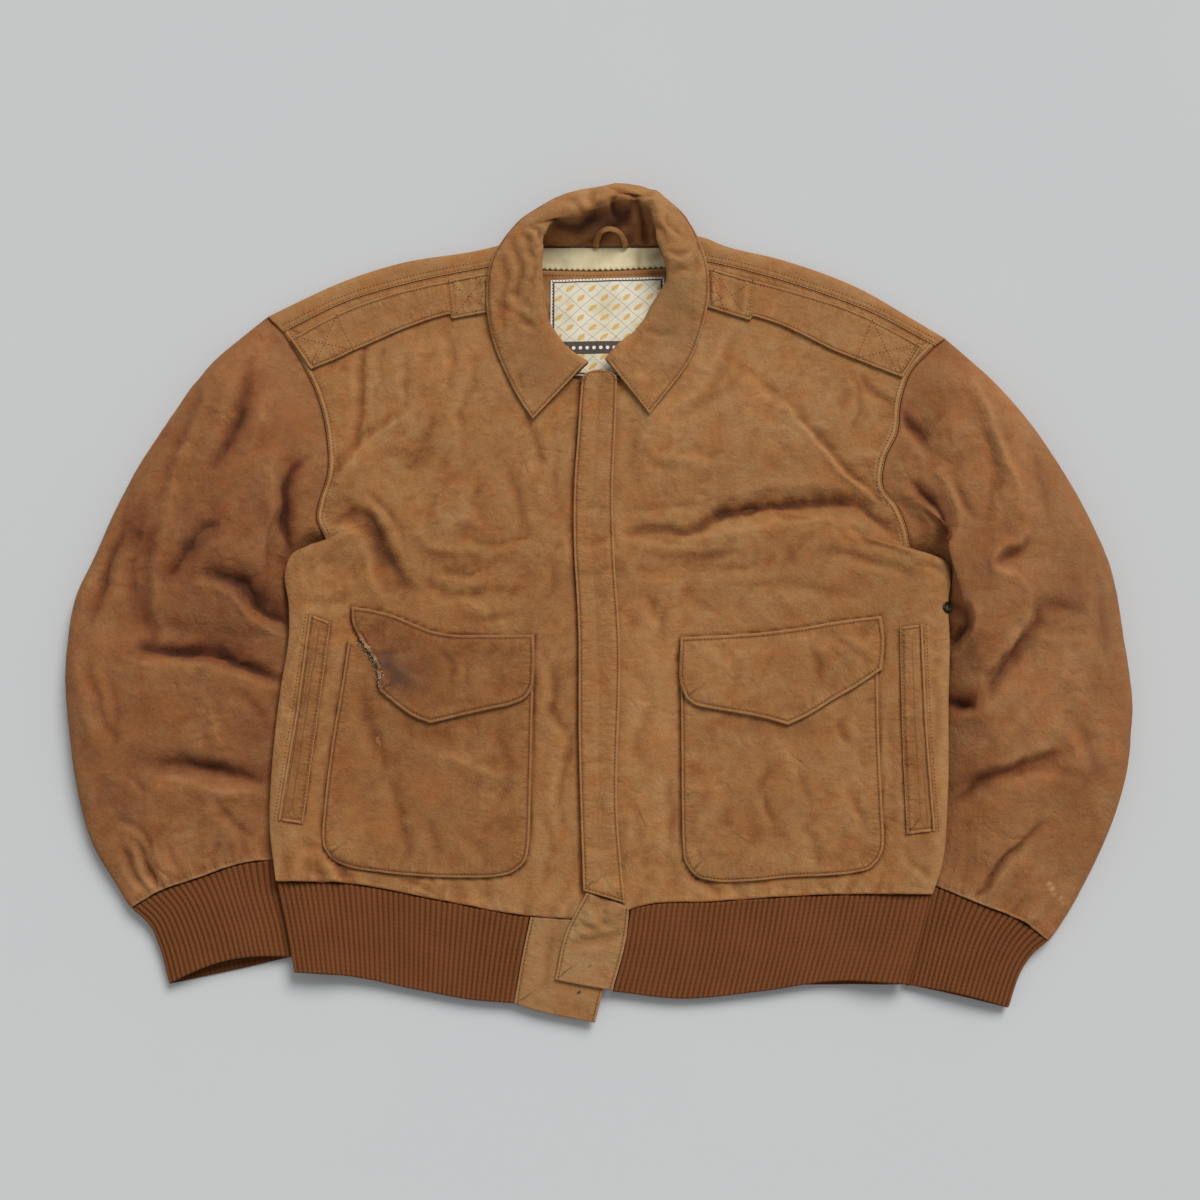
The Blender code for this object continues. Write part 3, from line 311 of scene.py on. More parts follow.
def patch(bottom: Any, top: Any, first: Any, last: Any, across: Grid, along: Grid) -> Grid:
    """The plan grid between four paths.

    Args:
        bottom: The path along the first row.
        top: The path along the last row.
        first: The path up the first column.
        last: The path up the last column.
        across: Shares of the columns.
        along: Shares of the rows.

    Returns:
        Points, rows by columns by two.
    """
    u, v = np.meshgrid(across, along)
    u, v = u[..., None], v[..., None]
    at_bottom, at_top = bottom.at(across)[None], top.at(across)[None]
    at_first, at_last = first.at(along)[:, None], last.at(along)[:, None]
    return (
        (1 - v) * at_bottom
        + v * at_top
        + (1 - u) * at_first
        + u * at_last
        - (1 - u) * (1 - v) * at_bottom[:, :1]
        - u * (1 - v) * at_bottom[:, -1:]
        - (1 - u) * v * at_top[:, :1]
        - u * v * at_top[:, -1:]
    )


def moved_aside(points: Grid, gap: float) -> Grid:
    """A plan line moved to its left by a gap, or to its right where the gap is below 0.

    Args:
        points: The line's points, in order.
        gap: How far they move, mm.

    Returns:
        The moved points.
    """
    along = np.gradient(points, axis=0)
    along /= np.linalg.norm(along, axis=1, keepdims=True)
    return points + gap * np.stack([-along[:, 1], along[:, 0]], axis=1)


# Where a grid's first rows lie beside a sewn edge, a plain one and a knit one, mm
SEWN_STEPS = (0, 0.3, 0.7, 1.2, 1.9, 2.5, 3.1, 3.8, 5.0, 6.8)
PLAIN_STEPS = (0, 0.4, 1.0, 1.9)
KNIT_STEPS = (0, 0.5, 1.2, 2.2)


def spread(length: float, step: float, first: Any = SEWN_STEPS, last: Any = SEWN_STEPS) -> Grid:
    """Shares of a length in even steps, closer together at its two ends.

    Args:
        length: The length, mm.
        step: The step away from the ends, mm.
        first: Distances of the first marks from the start, mm.
        last: Distances of the last marks from the end, mm.

    Returns:
        Rising shares from 0 to 1.
    """
    head = np.asarray(first, float)
    tail = length - np.asarray(last, float)[::-1]
    count = max(2, int(round((tail[0] - head[-1]) / step)) + 1)
    marks = np.concatenate([head, np.linspace(head[-1], tail[0], count)[1:-1], tail])
    return marks / length


def with_height(plan: Grid, height: Any) -> Grid:
    """Plan points with their heights."""
    return np.concatenate([plan, np.broadcast_to(height, plan.shape[:-1])[..., None]], axis=-1)


def apart(plan: Grid, edge: Grid) -> Grid:
    """The distances between plan points and their edge's points."""
    return np.linalg.norm(plan - edge, axis=-1)


# The sides of a grid
BOTTOM, TOP, FIRST, LAST = np.s_[:1], np.s_[-1:], np.s_[:, :1], np.s_[:, -1:]


def from_sides(grid: Grid, *sides: Any) -> Grid:
    """How far each point of a grid lies from the nearest of its sides, along its row or column.

    Args:
        grid: Rows by columns of points.
        sides: Which sides count, as slices.

    Returns:
        The distance for each point, mm.
    """
    return np.minimum.reduce([apart(grid, grid[side]) for side in sides])


def length_along(line: Grid) -> Grid:
    """The length from a chain's start to each of its points."""
    return np.concatenate([[0], np.cumsum(np.linalg.norm(np.diff(line, axis=0), axis=1))])


def grid_normals(grid: Grid, wrap: bool = False) -> Grid:
    """Unit normals of a point grid: across columns times along rows.

    Args:
        grid: Rows by columns of points.
        wrap: Whether the last column meets the first.

    Returns:
        A unit vector for each point.
    """
    if wrap:
        across = np.roll(grid, -1, axis=1) - np.roll(grid, 1, axis=1)
    else:
        across = np.gradient(grid, axis=1)
    normal = np.cross(across, np.gradient(grid, axis=0))
    return normal / np.maximum(np.linalg.norm(normal, axis=-1, keepdims=True), 1e-9)


def blurred(values: Grid, reach: int, wrap: bool = False) -> Grid:
    """A grid of values averaged over about the square root of reach cells each way.

    Args:
        values: A grid of numbers.
        reach: How many cells to each side count.
        wrap: Whether the last column meets the first.

    Returns:
        The softened grid.
    """
    for _ in range(reach):
        padded = np.pad(values, ((1, 1), (0, 0)), mode="edge")
        values = (padded[2:] + padded[1:-1] + padded[:-2]) / 3
        padded = np.pad(values, ((0, 0), (1, 1)), mode="wrap" if wrap else "edge")
        values = (padded[:, 2:] + padded[:, 1:-1] + padded[:, :-2]) / 3
    return values


# ---------------------------------------------------------------- folds and crumples


class Swell(NamedTuple):
    """A broad ridge, a hollow where rise is below 0, or, where it is an amount of tone, a tint or a painted
    shade.
    """

    x: float
    y: float
    half_length: float
    half_width: float
    turn: float  # degrees from +X
    rise: float


def swell_height(swells: Any, plan: Grid) -> Grid:
    """The sum of the swells at each plan point.

    Args:
        swells: The swells.
        plan: Points, of which x and y count.

    Returns:
        The sum for each point.
    """
    total = np.zeros(plan.shape[:-1])
    for swell in swells:
        turn = math.radians(swell.turn)
        dx, dy = plan[..., 0] - swell.x, plan[..., 1] - swell.y
        along = (dx * math.cos(turn) + dy * math.sin(turn)) / swell.half_length
        aside = (dy * math.cos(turn) - dx * math.sin(turn)) / swell.half_width
        total += swell.rise * np.exp(-(along**2) - aside**2)
    return total


class Noise:
    """Smooth seeded noise in space, about -1 to 1, with features about 1 unit apart."""

    def __init__(self, seed: int) -> None:
        """Draws the table of directions from the seed.

        Args:
            seed: The number that sets it.
        """
        rng = np.random.default_rng(seed)
        self.table = np.tile(rng.permutation(256), 3)
        directions = rng.normal(size=(256, 3))
        self.directions = directions / np.linalg.norm(directions, axis=1, keepdims=True)
        self.heights = rng.uniform(-1, 1, 256)

    def at(self, points: Grid) -> Grid:
        """The noise at points.

        Args:
            points: Places of three numbers each.

        Returns:
            A value for each place, about -1 to 1.
        """
        cell = np.floor(points).astype(int)
        part = points - cell
        cell = cell & 255
        ease = part**3 * (part * (part * 6 - 15) + 10)
        total = np.zeros(points.shape[:-1])
        for corner in np.ndindex(2, 2, 2):
            index = self.table[cell[..., 0] + corner[0]] + cell[..., 1] + corner[1]
            index = self.table[self.table[index] + cell[..., 2] + corner[2]]
            offset = part - np.array(corner)
            weight = np.prod(np.where(np.array(corner) == 1, ease, 1 - ease), axis=-1)
            total += weight * np.einsum("...i,...i->...", self.directions[index], offset)
        return total * 1.6

    def facets(self, points: Grid) -> Grid:
        """Flat facets that meet in creases, about -1 to 1, with corners about 1 unit apart.

        Args:
            points: Places of three numbers each.

        Returns:
            A value for each place.
        """
        cell = np.floor(points).astype(int)
        part = points - cell
        order = np.argsort(-part, axis=-1)
        ranked = np.take_along_axis(part, order, axis=-1)
        one = np.ones_like(ranked[..., :1])
        ranked = np.concatenate([one, ranked, 0 * one], axis=-1)
        corner = cell & 255
        total = np.zeros(points.shape[:-1])
        for step in range(4):
            index = self.table[self.table[corner[..., 0]] + corner[..., 1]]
            index = self.table[index + corner[..., 2]]
            total += (ranked[..., step] - ranked[..., step + 1]) * self.heights[index]
            if step < 3:
                corner = corner + (np.arange(3) == order[..., step, None])
        return total


class Fold(NamedTuple):
    """A fold along a smooth line on the plan, fading out towards its two ends.

    rise is its height, below 0 for a trough. left and right are its widths to the two sides of
    its line, and beside is the height of a second, softer ridge or hollow along its right.
    """

    path: tuple
    rise: float
    left: float
    right: float
    beside: float = 0.0


def creased(offset: Grid) -> Grid:
    """A crest that is sharp at its middle and runs out softly, as a crease in hide does."""
    return np.exp(-1.25 * (np.sqrt(offset**2 + 0.03) - 0.173))


def wandered(plan: Grid) -> Grid:
    """Plan points moved a few millimetres, so that what is read there wanders as hide does.

    Args:
        plan: Points, of which x and y count.

    Returns:
        The moved x and y.
    """
    noise = Noise(97)
    flat = plan[..., :2]
    place = with_height(flat, 0.0)
    moved = []
    for shift in (1.3, 8.9):
        far, near = noise.at(place / 34 + shift), noise.at(place / 11 + 2 * shift)
        moved.append(3.6 * far + 1.5 * near)
    return flat + np.stack(moved, axis=-1)


def fold_height(folds: Any, plan: Grid) -> Grid:
    """The sum of the folds at each plan point, uneven in their run and their height.

    Args:
        folds: The folds.
        plan: Points, of which x and y count.

    Returns:
        The height for each point, mm.
    """
    total = np.zeros(plan.shape[:-1])
    plan = wandered(plan)
    uneven = Noise(98).at(with_height(plan / 15, 0.0))
    for fold in folds:
        line = Line(fold.path, 6)
        reach = 3.4 * max(fold.left, fold.right, 4.0)
        low, high = line.points.min(axis=0) - reach, line.points.max(axis=0) + reach
        inside = np.all((plan[..., :2] > low) & (plan[..., :2] < high), axis=-1)
        if not inside.any():
            continue
        aside, share = line.near(plan[inside])
        fade = (4 * share * (1 - share)) ** 0.7
        profile = fold.rise * creased(aside / np.where(aside > 0, fold.left, fold.right))
        profile += fold.beside * bell(aside + 1.9 * fold.right, 1.1 * fold.right)
        total[inside] += fade * profile
    return total * (1 + 0.45 * uneven)


@dataclass(frozen=True)
class Crumple:
    """How a piece of soft hide crumples: what it adds to its form, in mm, at each size."""

    seed: int
    broad: float = 0.8
    broad_size: float = 46.0
    lines: float = 0.7
    line_size: float = 30.0
    fine: float = 0.22
    fine_size: float = 8.0

    def at(self, points: Grid) -> Grid:
        """The height that the crumples add at points on the form.

        Args:
            points: Points on the form, mm.

        Returns:
            The height for each point, mm.
        """
        noise, other = Noise(self.seed), Noise(self.seed + 40)
        broad = noise.at(points / self.broad_size + 7.3)
        # Turned away from the grid, then bent, so that no two facets are alike
        turned = points @ np.array([[0.80, -0.52, 0.30], [0.59, 0.76, -0.27], [-0.09, 0.39, 0.92]])
        warp = np.stack([other.at(points / 34.0 + shift) for shift in (3.1, 23.7, 41.9)], axis=-1)
        kept = 0.4 + 0.9 * eased(0.5 + 1.3 * other.at(points / 70.0 + 11.0))
        lines = noise.facets(turned / self.line_size + 0.45 * warp + 31.7)
        lines += 0.5 * other.facets(turned / (0.46 * self.line_size) + 0.6 * warp + 13.1)
        fine = other.facets(turned / self.fine_size + warp + 5.0)
        fine = fine + 0.5 * noise.at(points / (0.6 * self.fine_size) + 9.0)
        return self.broad * broad + kept * (self.lines * lines + self.fine * fine)


def gathers(
    run: Grid, distance: Grid, seed: int, pitch: float, depth: float, reach: float, hold: float = -0.8
) -> Grid:
    """Uneven puckers that run away from a seam.

    Args:
        run: Length along the seam, mm.
        distance: Distance from the seam, mm.
        seed: The seed of their unevenness.
        pitch: Mean spacing, mm.
        depth: Height from trough to crest near the seam, mm.
        reach: How far they run from the seam, mm.
        hold: How far past the seam they start, mm.

    Returns:
        Heights to add, mm.
    """
    noise = Noise(seed)
    zero = np.zeros_like(run)
    lean = noise.at(np.stack([run / (5 * pitch), zero + 6.1, zero], axis=-1))
    place = np.stack([(run + lean * distance) / pitch, distance / (3.2 * pitch), zero], axis=-1)
    uneven = 0.6 + 0.8 * noise.at(np.stack([run / (4 * pitch), zero + 4.2, zero], axis=-1))
    wave = noise.at(place + 2.0) + 0.5 * noise.at(place * np.array([2.1, 1.4, 1.0]) + 17.0)
    length = reach * (1 + 0.7 * noise.at(np.stack([run / (1.7 * pitch), zero, zero + 8.5], axis=-1)))
    settle = eased((distance + hold) / 4.0)
    return depth * wave * uneven * settle * np.exp(-distance / np.maximum(length, 3.0))


def sewn(distance: Grid, row: float = TOPSTITCH, puff: float = 0.45, groove: float = 0.5) -> Grid:
    """The form of a stitched edge: a puffed rim, the sunk stitch row and the swell behind it.

    Args:
        distance: Distance from the edge, mm.
        row: The row's distance from it, mm.
        puff: How high the rim stands, mm.
        groove: How deep the stitches sink, mm.

    Returns:
        The height for each point, mm.
    """
    rim = puff * bell(distance - 0.45 * row, 0.5 * row)
    behind = 0.5 * puff * bell(distance - row - 2.6, 2.0)
    return rim - groove * bell(distance - row, 0.65) + behind


def puckered(beside: Grid, strength: float, reach: float, start: float = 0.4) -> Grid:
    """How strongly hide puckers beside a stitched edge.

    Args:
        beside: Distance from the edge, mm.
        strength: The most it puckers.
        reach: How far the puckers run, mm.
        start: Where they begin, mm.

    Returns:
        One strength for each point.
    """
    return strength * np.exp(-beside / reach) * eased((beside - start) / 1.5)


# ---------------------------------------------------------------- sheets


@dataclass
class Sheet:
    """A grid of outer points, and what makes a closed thin shell of it.

    facing is +1 where columns times rows points out of the garment, and -1 where it points in.
    wrap joins the last column to the first, and kept is a mask of the cells to build. edge is
    each point's distance from the nearest cut edge, and inset is what is carved from the outer
    wall alone. The level columns have level normals, as far as level_share says in each row.

    The finish reads relief, tone, wear, soil and stain: carved height, which it paints as shade in
    hollows and lighter on crests; tint, with painted shade in places; rubbing, dirt and dark spills.
    It also reads run, the length along the nearest stitched edge, beside, the distance from it, and
    pucker, how strongly the hide puckers there, which it paints in light and shade.
    """

    points: Grid
    wall: float
    facing: int = 1
    wrap: bool = False
    kept: Grid | None = None
    edge: Grid | None = None
    level_columns: tuple = ()
    level_share: Grid | None = None
    relief: Any = 0.0
    tone: Any = 0.0
    wear: Any = 0.0
    soil: Any = 0.0
    stain: Any = 0.0
    inset: Any = 0.0
    run: Any = 0.0
    beside: Any = 0.0
    pucker: Any = 0.0
    uv: Grid | None = None
    round_to: float = 1.2

    def outward(self) -> Grid:
        """Outward unit normals, level where a rolled side's seam asks for it.

        Returns:
            A unit vector for each point.
        """
        normal = self.facing * grid_normals(self.points, self.wrap)
        for column in self.level_columns:
            normal[:, column, 2] *= 1 - self.level_share
        return normal / np.linalg.norm(normal, axis=-1, keepdims=True)

    def rim(self) -> Grid:
        """Distances from the nearest edge of the grid that isn't joined.

        Returns:
            The distance for each point, mm.
        """
        if self.edge is not None:
            return np.broadcast_to(self.edge, self.points.shape[:2])
        sides = (BOTTOM, TOP) if self.wrap else (BOTTOM, TOP, FIRST, LAST)
        return from_sides(self.points, *sides)

    def raise_by(self, height: Grid, strength: float = 2.0, reach: int = 26) -> None:
        """Moves the outer points out by heights, and adds what they carve to the relief."""
        self.points = self.points + self.outward() * height[..., None]
        self.carve(height, strength, reach)

    def carve(self, height: Grid, strength: float = 2.0, reach: int = 26) -> None:
        """Adds to the relief what stands above or below its surroundings, which the finishes paint as shade
        in the hollows and lighter on the crests.

        Args:
            height: The carved height, mm.
            strength: The height that the finish reads as 1, mm.
            reach: How far the average reaches that it stands out from, in cells.
        """
        carved = (height - blurred(height, reach, self.wrap)) / strength
        carved = np.where(carved > 0, 0.5 * np.tanh(1.2 * carved), 0.95 * np.tanh(carved))
        self.relief = self.relief + carved

    def walls(self) -> tuple[Grid, Grid]:
        """The outer and the inner points, drawn together where the edge rounds off.

        Returns:
            The outer and the inner wall's points.
        """
        normal = self.outward()
        share = rounded(self.rim() / self.round_to)[..., None]
        inset = np.broadcast_to(self.inset, self.points.shape[:2])[..., None]
        outer = self.points - normal * (inset * share + self.wall * 0.46 * (1 - share))
        inner = self.points - normal * self.wall * (1 - 0.42 * (1 - share))
        return outer, inner

    def faces(self) -> tuple[Grid, Grid]:
        """The quads of both walls and of the rims between them.

        Returns:
            Vertex numbers, four to a face, and the grid columns that their UVs come from.
        """
        rows, columns = self.points.shape[:2]
        cells = columns if self.wrap else columns - 1
        kept = np.ones((rows - 1, cells), bool) if self.kept is None else self.kept
        i, j = np.nonzero(kept)
        loop = [(i, j), (i, j + 1), (i + 1, j + 1), (i + 1, j)]

        def corner(side: int, place: tuple) -> tuple[Grid, Grid]:
            """A corner's vertex number, and its place in the grid of UVs."""
            row, column = place
            vertex = side * rows * columns + row * columns + column % columns
            return vertex, row * (columns + 1) + column

        quads = [[corner(0, c) for c in loop], [corner(1, c) for c in reversed(loop)]]
        around = np.pad(kept, 1, constant_values=False)
        if self.wrap:
            around[1:-1, 0], around[1:-1, -1] = kept[:, -1], kept[:, 0]
        for k, (down, aside) in enumerate([(-1, 0), (0, 1), (1, 0), (0, -1)]):
            bare = ~around[i + 1 + down, j + 1 + aside]
            a = tuple(part[bare] for part in loop[k])
            b = tuple(part[bare] for part in loop[(k + 1) % 4])
            quads.append([corner(0, b), corner(0, a), corner(1, a), corner(1, b)])
        vertices = np.concatenate([np.stack([c[0] for c in quad], axis=1) for quad in quads])
        places = np.concatenate([np.stack([c[1] for c in quad], axis=1) for quad in quads])
        if self.facing < 0:
            vertices, places = vertices[:, ::-1], places[:, ::-1]
        return vertices, places


def to_row(points: Grid) -> Grid:
    """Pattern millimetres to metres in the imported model's frame."""
    return (points - MIDDLE) * MM


def placed_object(name: str, data: Any) -> bpy.types.Object:
    """An object of a mesh, a lamp or a camera, at the origin of the scene.

    Args:
        name: Its name.
        data: Its data.

    Returns:
        The object.
    """
    obj = bpy.data.objects.new(name, data)
    bpy.context.scene.collection.objects.link(obj)
    return obj


class Workroom:
    """Makes the pieces' objects, and keeps the walls that other pieces are laid on."""

    def __init__(self) -> None:
        """Starts with nothing made."""
        self.trees: dict[str, BVHTree] = {}
        self.seams: dict[str, list[Grid]] = {}

    def piece(self, name: str, sheet: Sheet, material: bpy.types.Material, slot: str) -> bpy.types.Object:
        """Makes one closed shell, which replaces the CAD node of its name.

        Args:
            name: The CAD node's name.
            sheet: Its grid.
            material: Its finish.
            slot: The record's material slot.

        Returns:
            The new object.
        """
        outer, inner = sheet.walls()
        outer[..., 2] = np.maximum(outer[..., 2], LOWEST_OUTER)
        inner[..., 2] = np.maximum(inner[..., 2], LOWEST_INNER)
        shape = outer.shape[:2]
        vertices = np.concatenate([outer.reshape(-1, 3), inner.reshape(-1, 3)])
        faces, places = sheet.faces()
        used, numbers = np.unique(faces, return_inverse=True)
        numbers = numbers.reshape(faces.shape)
        mesh = bpy.data.meshes.new(name)
        mesh.from_pydata(to_row(vertices[used]).tolist(), [], numbers.tolist())
        for mark in MARKS:
            values = np.broadcast_to(getattr(sheet, mark), shape).reshape(-1)
            lining = values - 0.25 if mark == "tone" else values * 0.5
            both = np.concatenate([values, lining])[used]
            layer = mesh.attributes.new(mark, "FLOAT", "POINT")
            layer.data.foreach_set("value", both.astype(np.float32))
        if sheet.uv is not None:
            layer = mesh.uv_layers.new(name="cloth")
            flat = sheet.uv.reshape(-1, 2)[places.reshape(-1)]
            layer.data.foreach_set("uv", flat.reshape(-1).astype(np.float32))
        mesh.shade_smooth()
        mesh.materials.append(material)
        mesh.update()
        self.trees[name] = BVHTree.FromPolygons(vertices[used].tolist(), numbers.tolist())
        obj = placed_object(f"{name}_cloth", mesh)
        self.declare(obj, slot, name)
        return obj

    def declare(self, obj: bpy.types.Object, slot: str, *nodes: str) -> None:
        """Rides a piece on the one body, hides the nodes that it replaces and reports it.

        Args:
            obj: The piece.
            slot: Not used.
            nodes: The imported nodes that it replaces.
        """
        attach(obj, "root")
        if nodes:
            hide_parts(*nodes)
        triangles = sum(len(polygon.vertices) - 2 for polygon in obj.data.polygons)
        log.info("%-22s %7d triangles", obj.name, triangles)

    def top(self, plan: Grid, carriers: Any, otherwise: float = 0.0) -> Grid:
        """The height of the highest of the named pieces over each plan point.

        Args:
            plan: Points, of which x and y count.
            carriers: Names of the pieces that may lie there.
            otherwise: The height where none does, mm.

        Returns:
            The height for each point, mm.
        """
        flat = plan[..., :2].reshape(-1, 2)
        found = np.full(len(flat), float(otherwise))
        down = Vector((0, 0, -1))
        for tree in (self.trees[name] for name in carriers):
            for k, (x, y) in enumerate(flat):
                hit = tree.ray_cast(Vector((x, y, 200.0)), down)[0]
                if hit is not None and hit.z > found[k]:
                    found[k] = hit.z
        return found.reshape(plan.shape[:-1])

    def laid(self, plan: Grid, carriers: Any, wall: float, otherwise: float = 0.0, ease: int = 2) -> Grid:
        """The outer points of a grid laid on the named pieces, bridging their narrow hollows.

        Args:
            plan: The plan grid.
            carriers: Names of the pieces underneath.
            wall: The laid piece's wall, mm.
            otherwise: The height where none of them lies.
            ease: How far the piece bridges hollows, in blurring steps.

        Returns:
            The outer points.
        """
        under = self.top(plan, carriers, otherwise)
        eased_over = blurred(under, ease)
        lack = np.maximum(0, under - eased_over)
        for _ in range(2):
            padded = np.pad(lack, 1, mode="edge")
            rows, columns = lack.shape
            around = [padded[a : a + rows, b : b + columns] for a, b in np.ndindex(3, 3)]
            lack = np.max(around, axis=0)
        return with_height(plan, eased_over + lack + LAY_GAP + wall)

    def sew(self, group: str, line: Grid, carriers: Any, sink: float = 0.15) -> None:
        """Adds a row of stitches along a plan line, laid on the named pieces.

        Args:
            group: The group of stitches that becomes one object.
            line: Plan points along the row.
            carriers: Names of the pieces it is sewn through.
            sink: How deep the thread lies in the hide, mm.
        """
        dense = Line(line, 1)
        count = max(3, int(dense.length / 1.5))
        plan = dense.at(np.linspace(0, 1, count))
        height = self.top(plan, carriers, -1.0)
        whole = height > 0
        for stretch in np.split(np.arange(count), np.nonzero(~whole)[0]):
            stretch = stretch[whole[stretch]]
            if len(stretch) > 2:
                points = with_height(plan[stretch], height[stretch] - sink)
                self.seams.setdefault(group, []).append(points)


# ---------------------------------------------------------------- finishes


def linear(code: str) -> tuple[float, float, float, float]:
    """An sRGB hex colour as linear RGBA.

    Args:
        code: The colour, as "#rrggbb".

    Returns:
        The four channels.
    """
    channels = [int(code[k : k + 2], 16) / 255 for k in (1, 3, 5)]
    parts = [c / 12.92 if c <= 0.04045 else ((c + 0.055) / 1.055) ** 2.4 for c in channels]
    return (*parts, 1.0)


def add_node(tree: Any, kind: str, sockets: dict | None = None, out: Any = 0, **settings: Any) -> Any:
    """Adds a node, fills its inputs and gives one of its outputs.

    Args:
        tree: The node tree.
        kind: The node's type, without "ShaderNode".
        sockets: For each input, by name or number, a value or the output that is linked to it.
        out: The name or number of the output.
        settings: The node's own settings.

    Returns:
        The output, or the node where it has none.
    """
    full = kind.startswith(("GeometryNode", "FunctionNode", "NodeGroup"))
    node = tree.nodes.new(kind if full else f"ShaderNode{kind}")
    for key, value in settings.items():
        setattr(node, key, value)
    for key, value in (sockets or {}).items():
        if isinstance(value, bpy.types.NodeSocket):
            tree.links.new(value, node.inputs[key])
        else:
            node.inputs[key].default_value = value
    return node.outputs[out] if len(node.outputs) else node


def weighted_sum(tree: Any, base: Any, *terms: tuple) -> Any:
    """A base value plus each output times its weight.

    Args:
        tree: The node tree.
        base: A number or an output.
        terms: Pairs of an output and its weight.

    Returns:
        The output of the sum.
    """
    for output, weight in terms:
        base = add_node(tree, "Math", {0: output, 1: weight, 2: base}, operation="MULTIPLY_ADD")
    return base


def ramp(tree: Any, value: Any, *stops: tuple) -> Any:
    """The colour of a value between stops.

    Args:
        tree: The node tree.
        value: The output that picks the colour.
        stops: Pairs of a place and a hex colour.

    Returns:
        The colour's output.
    """
    colour = add_node(tree, "ValToRGB", {"Fac": value})
    elements = colour.node.color_ramp.elements
    while len(elements) < len(stops):
        elements.new(0.5)
    for element, (place, code) in zip(elements, stops):
        element.position, element.color = place, linear(code)
    return colour


def printed_over(tree: Any, colour: Any, share: Any, code: str, blend: str = "MIX") -> Any:
    """A colour with a hex colour mixed in by a share.

    Args:
        tree: The node tree.
        colour: The first colour.
        share: How much of the other one there is, from 0 to 1.
        code: The other one.
        blend: How the two are mixed.

    Returns:
        The mixed colour's output.
    """
    sockets = {0: share, 6: colour, 7: linear(code)}
    return add_node(tree, "Mix", sockets, out=2, data_type="RGBA", blend_type=blend)


def new_tree(name: str) -> tuple[bpy.types.Material, bpy.types.NodeTree]:
    """Starts a material with no nodes.

    Args:
        name: Its name.

    Returns:
        The material and its empty tree.
    """
    material = bpy.data.materials.new(name)
    material.use_nodes = True
    material.node_tree.nodes.clear()
    return material, material.node_tree


def close_material(tree: Any, sockets: dict) -> None:
    """Ends a tree with its shader, a dull dielectric unless the sockets say more."""
    shader = add_node(tree, "BsdfPrincipled", {"Roughness": 0.85, "IOR": 1.45} | sockets)
    add_node(tree, "OutputMaterial", {"Surface": shader})


